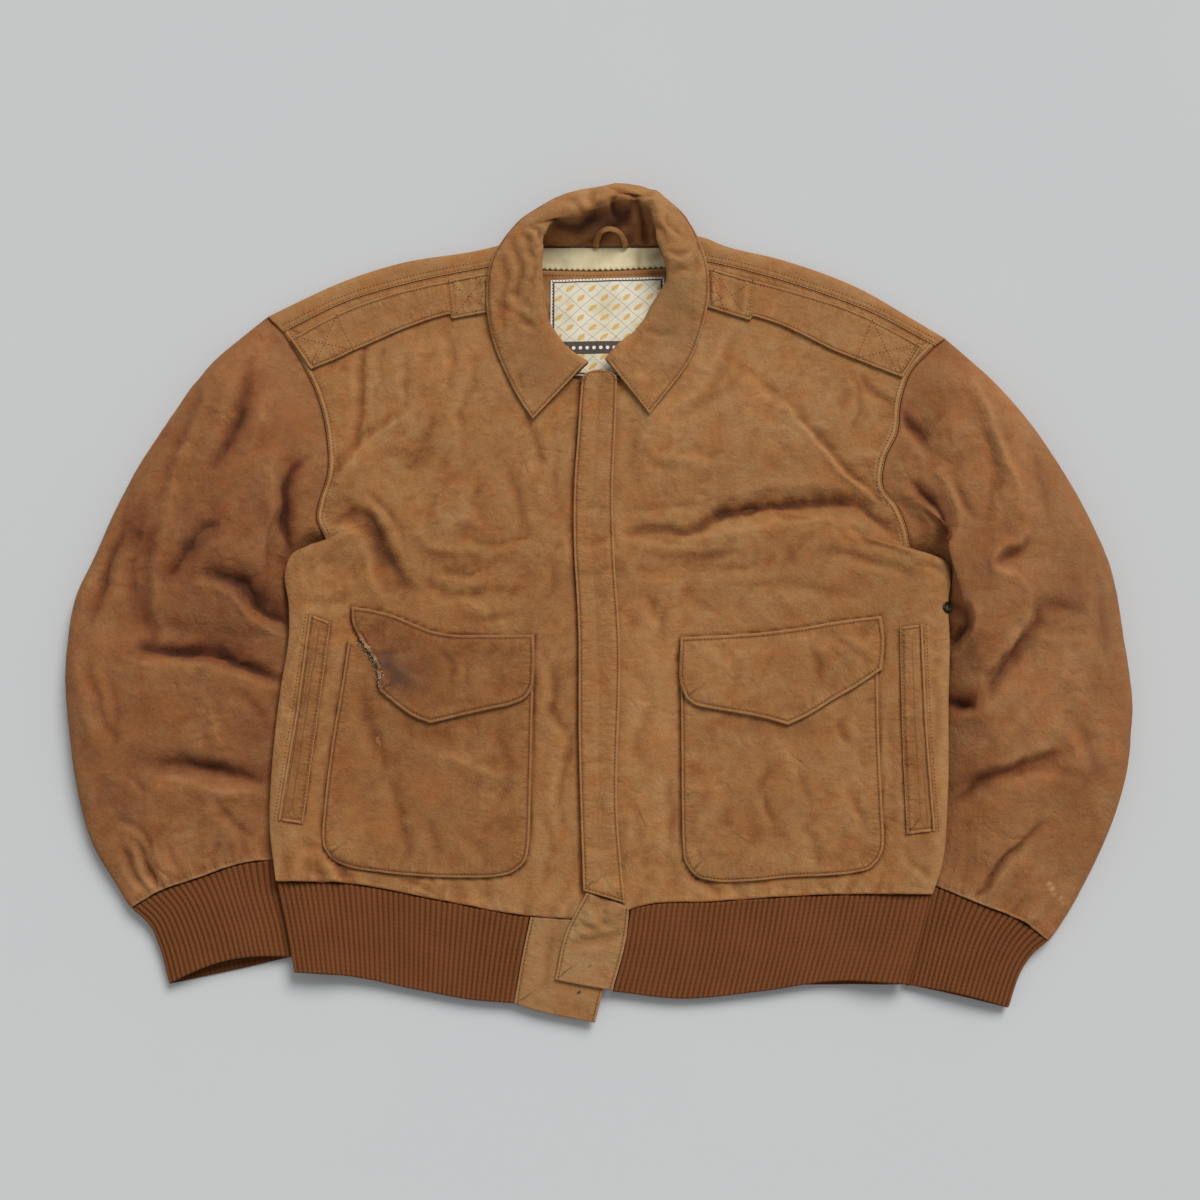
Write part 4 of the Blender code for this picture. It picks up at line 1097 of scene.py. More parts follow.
@dataclass(frozen=True)
class Nubuck:
    """Buffed cowhide: a matte nap, pale where it is rubbed, with painted shade that turns it red-brown in
    its hollows and painted highlight on its crests.
    """

    name: str
    deep: str = "#502c18"
    valley: str = "#7f522c"
    middle: str = "#9a6f42"
    ridge: str = "#ae8456"
    crest: str = "#c3a077"
    warm: str = "#ffe4cf"
    rubbed: str = "#bb9262"
    grime: str = "#5a4e34"
    stain: str = "#47302a"
    mottle: float = 0.3

    def make(self) -> bpy.types.Material:
        """Builds the material.

        Returns:
            The material.
        """
        material, tree = new_tree(self.name)
        place = add_node(tree, "TexCoord", out="Object")
        marks = {mark: add_node(tree, "Attribute", out="Fac", attribute_name=mark) for mark in MARKS}
        # Cloudy patches 44 mm wide from the dye, 9 mm blotches from handling, a 1.3 mm nap that is
        # drawn three times as coarse as the real one so that it shows, and shifts of hue of all sizes.
        # Each has its size in mm, its detail and its roughness.
        sizes = {
            "cloud": (44.0, 4.0, 0.62),
            "blotch": (9.0, 4.0, 0.6),
            "nap": (1.3, 3.0, 0.65),
            "hue": (26.0, 7.0, 0.76),
        }
        noise = {}
        for key, (size, detail, rough) in sizes.items():
            sockets = {"Vector": place, "Scale": 1000 / size, "Detail": detail, "Roughness": rough}
            noise[key] = add_node(tree, "TexNoise", sockets)
        # Fine streaks that the buffing leaves, 3 mm apart and a few times as long
        turned = {"Vector": place, "Rotation": (0, 0, 0.5), "Scale": (1, 0.28, 1)}
        turned = add_node(tree, "Mapping", turned)
        streak = {"Vector": turned, "Scale": 330.0, "Detail": 3.0, "Roughness": 0.6}
        streak = add_node(tree, "TexNoise", streak)
        # Years of folding leave flat facets some 24 mm wide, and soft creases where a noise of 25 mm
        # crosses its middle, here and there; the creases also darken the colour a little, as painted shade
        bent = add_node(tree, "TexNoise", {"Vector": place, "Scale": 24.0, "Detail": 1.0}, out="Color")
        shift = {0: bent, 1: (0.035, 0.035, 0.035), 2: place}
        bent = add_node(tree, "VectorMath", shift, operation="MULTIPLY_ADD")
        facets = add_node(tree, "TexVoronoi", {"Vector": bent, "Scale": 42.0}, distance="MANHATTAN")
        lines = add_node(tree, "TexNoise", {"Vector": bent, "Scale": 40.0, "Detail": 1.2, "Roughness": 0.5})
        lines = add_node(tree, "Math", {0: lines, 1: 0.5}, operation="SUBTRACT")
        lines = add_node(tree, "Math", {0: lines}, operation="ABSOLUTE")
        scaled = {"operation": "MULTIPLY_ADD", "use_clamp": True}
        lines = add_node(tree, "Math", {0: lines, 1: -8.0, 2: 1.0}, **scaled)
        here = add_node(tree, "Math", {0: noise["cloud"], 1: 5.0, 2: -2.2}, **scaled)
        creases = add_node(tree, "Math", {0: lines, 1: here}, operation="MULTIPLY")
        # Puckers 3 mm apart that run away from each stitched edge, bumped and painted in light and shade
        along = weighted_sum(tree, 0.0, (marks["run"], 1 / 3.3))
        away = weighted_sum(tree, 0.0, (marks["beside"], 1 / 16))
        at_seam = add_node(tree, "CombineXYZ", {"X": along, "Y": away})
        pucker = {"Vector": at_seam, "Scale": 1.0, "Detail": 2.0, "Roughness": 0.5}
        pucker = add_node(tree, "TexNoise", pucker)
        pucker = add_node(tree, "Math", {0: pucker, 1: 0.5}, operation="SUBTRACT")
        pucker = add_node(tree, "Math", {0: pucker, 1: marks["pucker"]}, operation="MULTIPLY")
        shares = {"cloud": self.mottle, "blotch": 0.2, "nap": 0.38}
        # The relief, the puckers and the creases darken the colour in hollows and lighten it on crests:
        # painted shade and painted highlight, with rubbing on the crests. The streaks are the nap's own.
        carved = ((marks["relief"], 0.22), (streak, 0.08), (pucker, 0.5), (creases, -0.03))
        dyed = ((noise[key], share) for key, share in shares.items())
        value = weighted_sum(tree, marks["tone"], *carved, *dyed)
        # The middle of all the noises falls on the middle of the colours
        level = sum(shares.values()) / 2 + 0.025 - 0.52
        value = add_node(tree, "Math", {0: value, 1: level}, operation="SUBTRACT")
        codes = (self.deep, self.valley, self.middle, self.ridge, self.crest)
        colour = ramp(tree, value, *zip((0.06, 0.3, 0.52, 0.72, 0.95), codes))
        hue = add_node(tree, "Math", {0: noise["hue"], 1: 3.6, 2: -1.3}, **scaled)
        colour = printed_over(tree, colour, hue, self.warm, "MULTIPLY")
        # Each mark's colour, and how far the blotches break it up
        soils = (("wear", self.rubbed, 0.9), ("soil", self.grime, 1.2), ("stain", self.stain, 0.5))
        for mark, code, patchy in soils:
            broken = weighted_sum(tree, 1 - patchy / 2, (noise["blotch"], patchy))
            share = add_node(tree, "Math", {0: marks[mark], 1: broken}, operation="MULTIPLY", use_clamp=True)
            colour = printed_over(tree, colour, share, code)
        # Grain wrinkles about 4 mm apart under the nap; heights in metres
        grain = {"Vector": place, "Scale": 260.0, "Detail": 5.0, "Roughness": 0.62, "Distortion": 0.4}
        grain = add_node(tree, "TexNoise", grain)
        folded = ((facets, 0.0008), (creases, -0.0007), (pucker, 0.003))
        height = weighted_sum(tree, 0.0, *folded, (grain, 0.001), (noise["nap"], 0.0003))
        close_material(tree, {
            "Base Color": colour,
            # Rubbed hide is a little smoother than its nap
            "Roughness": weighted_sum(tree, 0.74, (noise["blotch"], 0.2)),
            "Normal": add_node(tree, "Bump", {"Strength": 1.0, "Distance": 1.0, "Height": height}),
            "Specular IOR Level": 0.25,
            "Sheen Weight": 0.12,
            "Sheen Roughness": 0.5,
            "Sheen Tint": linear("#d9b88c"),
        })
        return material


@dataclass(frozen=True)
class RibKnit:
    """Wool-blend two-by-two rib: raised wales of interlocked loops, painted shade in the grooves between
    them, a little fuzz.
    """

    name: str
    groove: str = "#4c2711"
    wale: str = "#704223"
    crest: str = "#7f4d2c"

    def make(self) -> bpy.types.Material:
        """Builds the material.

        Returns:
            The material.
        """
        material, tree = new_tree(self.name)
        place = add_node(tree, "TexCoord", out="Object")
        relief = add_node(tree, "Attribute", out="Fac", attribute_name="relief")
        tone = add_node(tree, "Attribute", out="Fac", attribute_name="tone")
        cloud = add_node(tree, "TexNoise", {"Vector": place, "Scale": 34.0, "Detail": 4.0})
        fuzz = add_node(tree, "TexNoise", {"Vector": place, "Scale": 900.0, "Detail": 3.0})
        # Loops 3.7 mm long, drawn about twice as coarse as the real gauge
        along = place.node.outputs["UV"]
        loops = {"Vector": along, "Scale": 84.0, "Distortion": 2.2, "Detail": 2.0, "Detail Scale": 3.0}
        loops = add_node(tree, "TexWave", loops, out="Fac", wave_type="BANDS", bands_direction="Y")
        value = weighted_sum(tree, tone, (relief, 0.27), (cloud, 0.3), (fuzz, 0.16), (loops, 0.05))
        value = add_node(tree, "Math", {0: value, 1: 0.14})
        height = weighted_sum(tree, 0.0, (loops, 0.0001), (fuzz, 0.00024))
        close_material(tree, {
            "Base Color": ramp(tree, value, (0.05, self.groove), (0.55, self.wale), (0.95, self.crest)),
            "Normal": add_node(tree, "Bump", {"Strength": 1.0, "Distance": 1.0, "Height": height}),
            "Roughness": 0.95,
            "Specular IOR Level": 0.15,
            "Sheen Weight": 0.2,
            "Sheen Tint": linear("#b98558"),
        })
        return material


@dataclass(frozen=True)
class TwillTape:
    """Cotton twill tape: a coarse diagonal weave, yellowed and stained by sweat."""

    name: str
    base: str = "#e6d8ac"
    shade: str = "#d2c192"
    top: str = "#f0e5bf"
    stain: str = "#86703f"

    def make(self) -> bpy.types.Material:
        """Builds the material.

        Returns:
            The material.
        """
        material, tree = new_tree(self.name)
        place = add_node(tree, "TexCoord", out="Object")
        weave = {"Vector": place, "Scale": 160.0, "Distortion": 0.6}
        weave = add_node(tree, "TexWave", weave, out="Fac", bands_direction="DIAGONAL")
        cloud = {"Vector": place, "Scale": 60.0, "Detail": 5.0, "Roughness": 0.65}
        cloud = add_node(tree, "TexNoise", cloud)
        value = weighted_sum(tree, cloud, (weave, 0.04))
        colour = ramp(tree, value, (0.32, self.shade), (0.56, self.base), (0.8, self.top))
        soil = add_node(tree, "Attribute", out="Fac", attribute_name="soil")
        share = add_node(tree, "Math", {0: soil, 1: cloud}, operation="MULTIPLY", use_clamp=True)
        close_material(tree, {
            "Base Color": printed_over(tree, colour, share, self.stain),
            "Normal": add_node(tree, "Bump", {"Strength": 0.12, "Distance": 0.0003, "Height": weave}),
        })
        return material


@dataclass(frozen=True)
class PrintedSatin:
    """A satin label printed with a made-up pattern: lattice lines, leaves and a dotted band."""

    name: str
    ground: str = "#e0d6bc"
    line: str = "#8e867a"
    leaf: str = "#d9ab55"
    rib: str = "#a57a34"
    dark: str = "#4a3a30"
    white: str = "#efe9dc"

    def make(self) -> bpy.types.Material:
        """Builds the material, whose UV runs from 0 to 1 across and up the label.

        Returns:
            The material.
        """
        material, tree = new_tree(self.name)
        place = add_node(tree, "TexCoord", out="UV")
        axes = add_node(tree, "SeparateXYZ", {0: place}).node.outputs

        def sum_of(operation: str, *values: Any) -> Any:
            """One sum on the label's own coordinates.

            Args:
                operation: The sum.
                values: Its terms, each a number or an output.

            Returns:
                Its output.
            """
            return add_node(tree, "Math", dict(enumerate(values)), operation=operation)

        blotch = {"Vector": place, "Scale": 5.0, "Detail": 5.0, "Roughness": 0.6}
        blotch = add_node(tree, "TexNoise", blotch)
        colour = ramp(tree, blotch, (0.3, "#d2c39c"), (0.5, self.ground), (0.75, "#e9e1cc"))
        # Lattice lines 14 mm apart along both diagonals
        bent = sum_of("MULTIPLY_ADD", blotch, 0.06, axes[0])
        cells = []
        for diagonal in (sum_of("ADD", bent, axes[1]), sum_of("SUBTRACT", bent, axes[1])):
            cells.append(sum_of("SUBTRACT", sum_of("FRACT", sum_of("MULTIPLY", diagonal, 5.0)), 0.5))
            on_line = sum_of("GREATER_THAN", sum_of("ABSOLUTE", cells[-1]), 0.478)
            colour = printed_over(tree, colour, sum_of("MULTIPLY", on_line, 0.65), self.line)
        # A lens-shaped leaf in each lattice cell, with its midrib
        length = sum_of("POWER", sum_of("MULTIPLY", cells[0], 2.9), 2.0)
        width = sum_of("ABSOLUTE", sum_of("MULTIPLY", cells[1], 6.0))
        leaf = sum_of("LESS_THAN", sum_of("ADD", length, width), 1.0)
        colour = printed_over(tree, colour, sum_of("MULTIPLY", leaf, 0.8), self.leaf)
        rib = sum_of("MULTIPLY", leaf, sum_of("LESS_THAN", sum_of("ABSOLUTE", cells[1]), 0.012))
        colour = printed_over(tree, colour, rib, self.rib)
        # A dark band with a row of pale dots, 12 mm deep
        band = sum_of("COMPARE", axes[1], 0.29, 0.065)
        dots = sum_of("SUBTRACT", sum_of("FRACT", sum_of("MULTIPLY", axes[0], 17.0)), 0.5)
        rise = sum_of("MULTIPLY", sum_of("SUBTRACT", axes[1], 0.29), 15.0)
        reach = sum_of("ADD", sum_of("POWER", dots, 2.0), sum_of("POWER", rise, 2.0))
        dot = sum_of("LESS_THAN", reach, 0.07)
        colour = printed_over(tree, colour, band, self.dark)
        colour = printed_over(tree, colour, sum_of("MULTIPLY", dot, band), self.white)
        # The dark border inside a bare white edge
        inside = []
        for axis in axes[:2]:
            from_middle = sum_of("ABSOLUTE", sum_of("SUBTRACT", axis, 0.5))
            inside.append(sum_of("SUBTRACT", 0.5, from_middle))
        rim = sum_of("MINIMUM", *inside)
        colour = printed_over(tree, colour, sum_of("LESS_THAN", rim, 0.036), self.dark)
        colour = printed_over(tree, colour, sum_of("LESS_THAN", rim, 0.02), self.white)
        weave = {"Vector": place, "Scale": 60.0, "Distortion": 0.5}
        weave = add_node(tree, "TexWave", weave, out="Fac", bands_direction="Y")
        close_material(tree, {
            "Base Color": colour,
            "Normal": add_node(tree, "Bump", {"Strength": 0.15, "Distance": 0.0002, "Height": weave}),
            "Roughness": 0.6,
        })
        return material


@dataclass(frozen=True)
class BlackenedBrass:
    """Brass with a worn black finish: dull, with the metal showing through in specks."""

    name: str

    def make(self) -> bpy.types.Material:
        """Builds the material.

        Returns:
            The material.
        """
        material, tree = new_tree(self.name)
        place = add_node(tree, "TexCoord", out="Object")
        speck = add_node(tree, "TexNoise", {"Vector": place, "Scale": 700.0, "Detail": 4.0})
        close_material(tree, {
            "Base Color": ramp(tree, speck, (0.35, "#26231f"), (0.6, "#3a352d"), (0.72, "#7a6a45")),
            "Roughness": weighted_sum(tree, 0.3, (speck, 0.3)),
            "Metallic": 0.9,
        })
        return material


@dataclass(frozen=True)
class SpunThread:
    """Spun sewing thread: twisted, matte, a little uneven in its dye."""

    name: str
    dark: str
    light: str

    def make(self) -> bpy.types.Material:
        """Builds the material.

        Returns:
            The material.
        """
        material, tree = new_tree(self.name)
        place = add_node(tree, "TexCoord", out="Object")
        dye = add_node(tree, "TexNoise", {"Vector": place, "Scale": 240.0, "Detail": 2.0})
        # The twist, about 0.8 mm a turn
        twist = {"Vector": place, "Scale": 450.0}
        twist = add_node(tree, "TexWave", twist, out="Fac", bands_direction="DIAGONAL")
        close_material(tree, {
            "Base Color": ramp(tree, dye, (0.35, self.dark), (0.65, self.light)),
            "Normal": add_node(tree, "Bump", {"Strength": 0.3, "Distance": 0.0001, "Height": twist}),
            "Roughness": 0.9,
        })
        return material


class Look(Enum):
    """The jacket's finishes, by the slot they fill."""

    BODY = Nubuck("nubuck_body")
    SLEEVE = Nubuck(
        "nubuck_sleeve",
        deep="#4a2713",
        valley="#764829",
        middle="#90633c",
        ridge="#a6794e",
        crest="#bd9566",
        mottle=0.36,
    )
    KNIT = RibKnit("wool_rib_knit")
    TAPE = TwillTape("cotton_twill_tape")
    ZIP_TAPE = TwillTape(
        "polyester_zip_tape", base="#6b4a2e", shade="#4e3420", top="#7d5a3a", stain="#3a281a"
    )
    LABEL = PrintedSatin("printed_satin")
    METAL = BlackenedBrass("blackened_brass")
    THREAD = SpunThread("spun_thread_brown", "#3b210f", "#5c3a1f")
    FRAYED = SpunThread("spun_thread_frayed", "#866747", "#d0b690")


# ---------------------------------------------------------------- the outline on the plan


@dataclass(frozen=True)
class HalfOutline:
    """One half of the jacket on the plan. Each line runs from its first named end to its second."""

    sign: int  # -1 on the wearer's right, +1 on the wearer's left
    shoulder_fold: tuple  # neck to sleeve
    forward_seam: tuple  # neck to armhole
    armhole: tuple  # forward seam to armpit
    side: tuple  # armpit to hem
    hem: tuple  # side to centre
    neckline: tuple  # centre to forward seam
    sleeve_outer: tuple  # shoulder to cuff
    cuff_seam: tuple  # outer fold to body
    cuff_outer: tuple  # seam to mouth
    cuff_inner: tuple  # seam to mouth
    cuff_mouth: tuple  # outer fold to inner fold
    cuff_mouth_set_back: float  # how much shorter the cuff's upper layer is
    band_side: tuple  # top to bottom
    band_bottom: tuple  # side to the knit's end
    band_end: tuple  # where the knit meets its end tab, top to bottom
    sleeve_side_share: float  # share of the body's side that the sleeve lies against


RIGHT = HalfOutline(
    sign=-1,
    shoulder_fold=((-78, 338), (-112, 329), (-186, 316), (-241, 297), (-278, 279), (-307, 264)),
    forward_seam=((-72, 317), (-104, 310), (-166, 297), (-235, 276), (-291, 247)),
    armhole=(
        (-291, 247), (-272, 216), (-257, 184), (-248, 148), (-246, 112), (-253, 88), (-255, 72),
        (-246, 53),
    ),
    side=(
        (-246, 53), (-262, 46), (-276, 38), (-281, 24), (-277, -8), (-276, -35), (-282, -85),
        (-287, -150), (-287, -205), (-280, -250),
    ),
    hem=((-280, -250), (-225, -251), (-138, -266), (-65, -279), (-4, -286)),
    neckline=((-6, 205), (-24, 203), (-40, 213), (-56, 232), (-66, 258), (-72, 317)),
    sleeve_outer=(
        (-307, 264), (-350, 225), (-401, 152), (-433, 91), (-454, 38), (-470, -3), (-475, -50),
        (-466, -131), (-445, -212), (-406, -273),
    ),
    cuff_seam=((-406, -273), (-382, -259), (-348, -247), (-309, -234), (-285, -231)),
    cuff_outer=((-406, -273), (-390, -287), (-380, -307), (-371, -337)),
    cuff_inner=((-285, -231), (-281, -256), (-272, -290), (-267, -314)),
    cuff_mouth=((-371, -337), (-344, -331), (-311, -324), (-267, -314)),
    cuff_mouth_set_back=9.0,
    band_side=((-280, -250), (-271, -287), (-263, -327)),
    band_bottom=((-263, -327), (-224, -329), (-155, -342), (-110, -350), (-74, -353)),
    band_end=((-61, -279), (-68, -316), (-74, -353)),
    sleeve_side_share=0.94,
)
LEFT = HalfOutline(
    sign=1,
    shoulder_fold=((80, 345), (98, 341), (114, 334), (167, 320), (241, 291), (288, 262), (318, 243)),
    forward_seam=((77, 319), (100, 315), (148, 303), (203, 285), (248, 267), (307, 234)),
    armhole=(
        (307, 234), (283, 207), (274, 181), (270, 152), (258, 126), (256, 102), (268, 84), (276, 62),
        (278, 43),
    ),
    side=(
        (278, 43), (297, 38), (311, 29), (313, 16), (310, -4), (310, -38), (307, -92), (303, -180),
        (295, -240), (287, -261),
    ),
    hem=((287, -261), (207, -261), (100, -267), (26, -274), (8, -280)),
    neckline=((6, 205), (22, 204), (38, 219), (53, 242), (66, 270), (77, 319)),
    sleeve_outer=(
        (318, 243), (358, 204), (410, 133), (441, 72), (459, 20), (466, -35), (471, -95),
        (464, -150), (441, -214), (413, -264), (387, -301),
    ),
    cuff_seam=((387, -301), (364, -284), (330, -270), (290, -257)),
    cuff_outer=((387, -301), (376, -309), (364, -324), (357, -340), (351, -357)),
    cuff_inner=((290, -257), (279, -298), (268, -338)),
    cuff_mouth=((351, -357), (327, -351), (301, -345), (268, -338)),
    cuff_mouth_set_back=1.5,
    band_side=((287, -261), (277, -298), (264, -337)),
    band_bottom=((264, -337), (207, -334), (138, -343), (69, -349), (11, -343)),
    band_end=((26, -275), (20, -310), (11, -343)),
    sleeve_side_share=0.975,
)

ZIP_LINE = ((3, -283), (1, -215), (-1, -130), (-2, -30), (-5, 30), (-6, 80), (-4, 150), (0, 205))
ZIP_HALF_WIDTH = 6.0
BACK_HEM = (
    (-280, -250), (-240, -251), (-140, -264), (0, -274), (140, -270), (235, -261.5), (287, -261),
)
BACK_BAND_BOTTOM = ((-263, -326), (-140, -334), (0, -338), (140, -337), (264, -336))
BACK_NECKLINE = ((-78, 338), (-40, 335), (0, 334), (40, 335), (80, 345))


# The broad form of the body and the sleeves, as the solids have it
BODY_SWELLS = (
    Swell(-150, 150, 110, 55, 60, 3.5),
    Swell(-205, 92, 75, 20, -38, 4.5),
    Swell(-190, 20, 60, 30, -60, 3.0),
    Swell(130, 190, 100, 60, -35, 3.5),
    Swell(140, 85, 130, 24, 5, -3.5),
    Swell(150, 25, 120, 35, 0, 2.5),
    Swell(-60, -10, 40, 110, 0, 2.0),
    Swell(100, -262, 60, 16, -6, -1.0),
)
SLEEVE_SWELLS = (
    Swell(-330, 35, 95, 20, -18, 5.0),
    Swell(-345, -38, 85, 13, -8, -6.0),
    Swell(-370, -110, 90, 42, -10, 4.0),
    Swell(-340, -160, 80, 11, -8, -4.0),
    Swell(-420, 40, 90, 14, 60, -3.0),
    Swell(-330, 120, 70, 18, 65, 3.0),
    Swell(365, 60, 95, 18, 78, 4.0),
    Swell(352, -25, 85, 17, 48, 6.0),
    Swell(335, -75, 60, 14, 25, -5.0),
    Swell(385, -150, 100, 16, 20, -3.0),
    Swell(430, -60, 110, 26, 85, 3.0),
    Swell(352, -235, 55, 9, 48, -2.0),
)
# Folds of the fronts
BODY_FOLDS = (
    # The right front
    Fold(((-217, 238), (-216, 200), (-217, 160), (-221, 134)), -3.0, 2.5, 5, 1.4),
    Fold(((-166, 178), (-196, 154), (-222, 130), (-240, 100), (-245, 88)), 3.4, 9, 4, -1.2),
    Fold(((-178, 230), (-178, 206), (-174, 186), (-176, 166)), -1.3, 3, 4, 0.7),
    Fold(((-148, 252), (-138, 244), (-133, 222), (-136, 190)), -1.5, 3, 5, 0.8),
    Fold(((-196, 240), (-199, 214), (-196, 186)), -1.0, 3, 5, 0.6),
    Fold(((-150, 168), (-158, 140), (-176, 112)), -1.7, 7, 9, 0.8),
    Fold(((-116, 230), (-112, 200), (-124, 166), (-120, 140)), -1.1, 4, 5, 0.8),
    Fold(
        ((-240, 60), (-232, 74), (-214, 77), (-199, 60), (-188, 34), (-170, 12), (-150, 0)),
        -5.0, 5, 9, 0.0,
    ),
    Fold(((-252, 52), (-238, 60), (-222, 57), (-210, 40), (-204, 14), (-190, -8)), 4.0, 5, 9, 0.0),
    Fold(((-212, 98), (-196, 82), (-180, 62), (-172, 44)), -1.7, 2.5, 4, 1.2),
    Fold(((-224, 90), (-206, 76), (-190, 58)), 1.5, 4, 3, 0.0),
    Fold(((-168, 60), (-146, 46), (-120, 42), (-104, 46)), 2.0, 4, 3, -0.9),
    Fold(((-140, 60), (-130, 70), (-116, 70), (-104, 62)), 1.5, 3, 4, -0.8),
    Fold(((-126, 58), (-108, 50), (-84, 51), (-60, 58)), -1.4, 2.5, 4, 0.9),
    Fold(((-150, 36), (-128, 22), (-112, 20), (-96, 30)), -1.5, 3, 5, 0.9),
    Fold(((-160, 20), (-140, 8), (-118, 2), (-92, 8), (-70, 4)), -1.8, 4, 6, 1.1),
    Fold(((-130, -2), (-112, -12), (-88, -12), (-66, -4)), 1.2, 4, 4, -0.8),
    Fold(((-88, 128), (-74, 100), (-70, 70), (-50, 42)), -1.6, 5, 8, 0.9),
    Fold(((-66, 176), (-62, 150), (-50, 126), (-52, 96)), -1.3, 4, 6, 0.8),
    Fold(((-42, 160), (-36, 130), (-40, 96), (-32, 70)), -1.1, 4, 5, 0.7),
    Fold(((-104, 110), (-112, 90), (-104, 72)), -0.9, 3, 5, 0.7),
    Fold(((-50, 40), (-40, 22), (-44, -4)), -1.2, 4, 5, 0.7),
    Fold(((-34, 58), (-28, 40), (-34, 22)), 1.0, 3, 4, -0.6),
    Fold(((-264, 150), (-240, 128), (-232, 108)), -1.4, 4, 6, 0.8),
    Fold(((-272, 0), (-258, -2), (-236, -6), (-222, 2)), -1.2, 4, 6, 0.6),
    Fold(((-284, -60), (-276, -90), (-280, -140)), -0.8, 3, 5, 0.5),
    Fold(((-264, -210), (-240, -222), (-214, -250)), -1.1, 3, 5, 0.8),
    Fold(((-268, -238), (-236, -242), (-200, -250), (-176, -258)), -1.2, 3, 4, 0.8),
    Fold(((-44, -60), (-38, -100), (-26, -132), (-34, -168), (-26, -220)), -1.6, 4, 5, 1.1),
    Fold(((-52, -40), (-40, -76), (-44, -120)), -1.2, 4, 6, 0.8),
    Fold(((-46, -190), (-40, -222), (-48, -256)), -1.0, 3, 5, 0.8),
    Fold(((-180, -250), (-160, -252), (-140, -262)), -1.8, 2.5, 4, 1.1),
    # The left front
    Fold(
        ((20, 54), (50, 61), (84, 61), (104, 73), (150, 82), (200, 88), (228, 84), (250, 70), (274, 50)),
        -7.5, 10, 4, 0.0,
    ),
    Fold(((60, 50), (110, 58), (160, 66), (210, 70), (240, 62)), 3.2, 5, 14, 0.0),
    Fold(((110, 92), (150, 100), (196, 104), (236, 96)), 2.2, 12, 8, 0.0),
    Fold(((168, 186), (196, 152), (220, 122), (244, 99), (256, 84)), -3.2, 6, 3, 2.2),
    Fold(((126, 216), (150, 196), (172, 176)), -1.2, 4, 5, 0.8),
    Fold(((228, 214), (236, 194), (232, 164), (222, 148)), -1.8, 3, 4, 1.0),
    Fold(((238, 210), (250, 190), (266, 176)), -2.6, 4, 6, 1.0),
    Fold(((222, 120), (236, 130), (254, 132)), 1.4, 5, 4, -0.8),
    Fold(((60, 170), (90, 190), (106, 222), (122, 256)), 1.8, 5, 5, -1.0),
    Fold(((80, 176), (104, 184), (124, 206), (130, 232)), -1.0, 5, 7, 0.6),
    Fold(((82, 138), (96, 132), (116, 134)), -1.0, 2.5, 4, 0.6),
    Fold(((26, 178), (34, 150), (30, 120), (38, 96)), -1.2, 4, 6, 0.8),
    Fold(((40, 140), (64, 128), (84, 132)), 0.9, 5, 5, -0.7),
    Fold(((24, 84), (50, 82), (86, 84), (108, 76)), -1.0, 2.5, 4, 0.8),
    Fold(((24, 66), (60, 70), (98, 70)), 1.0, 3, 3, -0.6),
    Fold(((26, 56), (60, 52), (96, 50), (128, 56)), -1.4, 2.5, 4, 1.0),
    Fold(((22, 44), (50, 40), (92, 38), (130, 44)), -1.6, 4, 5, 1.0),
    Fold(((30, 26), (70, 30), (120, 26), (160, 32)), -1.1, 4, 6, 0.9),
    Fold(((30, 4), (44, -2), (56, -20), (52, -48)), -1.8, 5, 7, 0.8),
    Fold(((70, 12), (88, -4), (112, -14)), -1.1, 4, 5, 0.7),
    Fold(((120, 8), (160, 14), (206, 6), (244, 10)), -1.3, 5, 7, 0.9),
    Fold(((190, 44), (226, 40), (262, 26), (286, 20)), -1.5, 4, 6, 1.0),
    Fold(((226, 64), (250, 48), (284, 36)), -1.6, 3, 4, 1.0),
    Fold(((282, 30), (300, 28), (308, 14)), -1.4, 3, 3, 0.8),
    Fold(((60, -160), (64, -196), (58, -232)), -1.4, 3, 5, 1.0),
    Fold(((32, -60), (44, -90), (34, -130), (44, -160)), -1.1, 5, 7, 0.8),
    Fold(((26, -180), (36, -206), (28, -240)), -1.0, 3, 5, 0.7),
    Fold(((50, -210), (40, -230), (46, -252)), -0.9, 3, 4, 0.7),
    Fold(((76, -244), (92, -252), (116, -266)), -2.2, 2.5, 4, 1.2),
    Fold(((186, -244), (196, -254), (212, -266)), -1.6, 2.5, 4, 1.0),
    Fold(((150, -252), (170, -256), (196, -254)), -0.9, 2.5, 4, 0.7),
    Fold(((262, -222), (274, -236), (290, -250)), -1.3, 3, 4, 0.9),
    Fold(((254, -100), (256, -150), (252, -200)), -1.0, 2.5, 4, 0.6),
    Fold(((292, -60), (296, -100), (292, -150)), -1.1, 4, 5, 0.6),
)
BACK_FOLDS = (
    Fold(((-210, 170), (-120, 120), (-40, 90)), -3.2, 8, 12, 0.0),
    Fold(((220, 160), (130, 118), (60, 96)), -3.0, 9, 11, 0.0),
    Fold(((-230, 20), (-150, -20), (-60, -30)), -2.4, 7, 10, 0.0),
    Fold(((240, -10), (160, -40), (70, -36)), -2.6, 8, 9, 0.0),
    Fold(((-60, -120), (-40, -180), (-56, -250)), -2.0, 6, 9, 0.0),
    Fold(((80, -110), (96, -180), (80, -248)), -2.2, 7, 8, 0.0),
    Fold(((-190, -120), (-170, -180), (-180, -240)), -1.8, 6, 7, 0.0),
    Fold(((190, -130), (176, -190), (186, -246)), -2.0, 6, 8, 0.0),
)
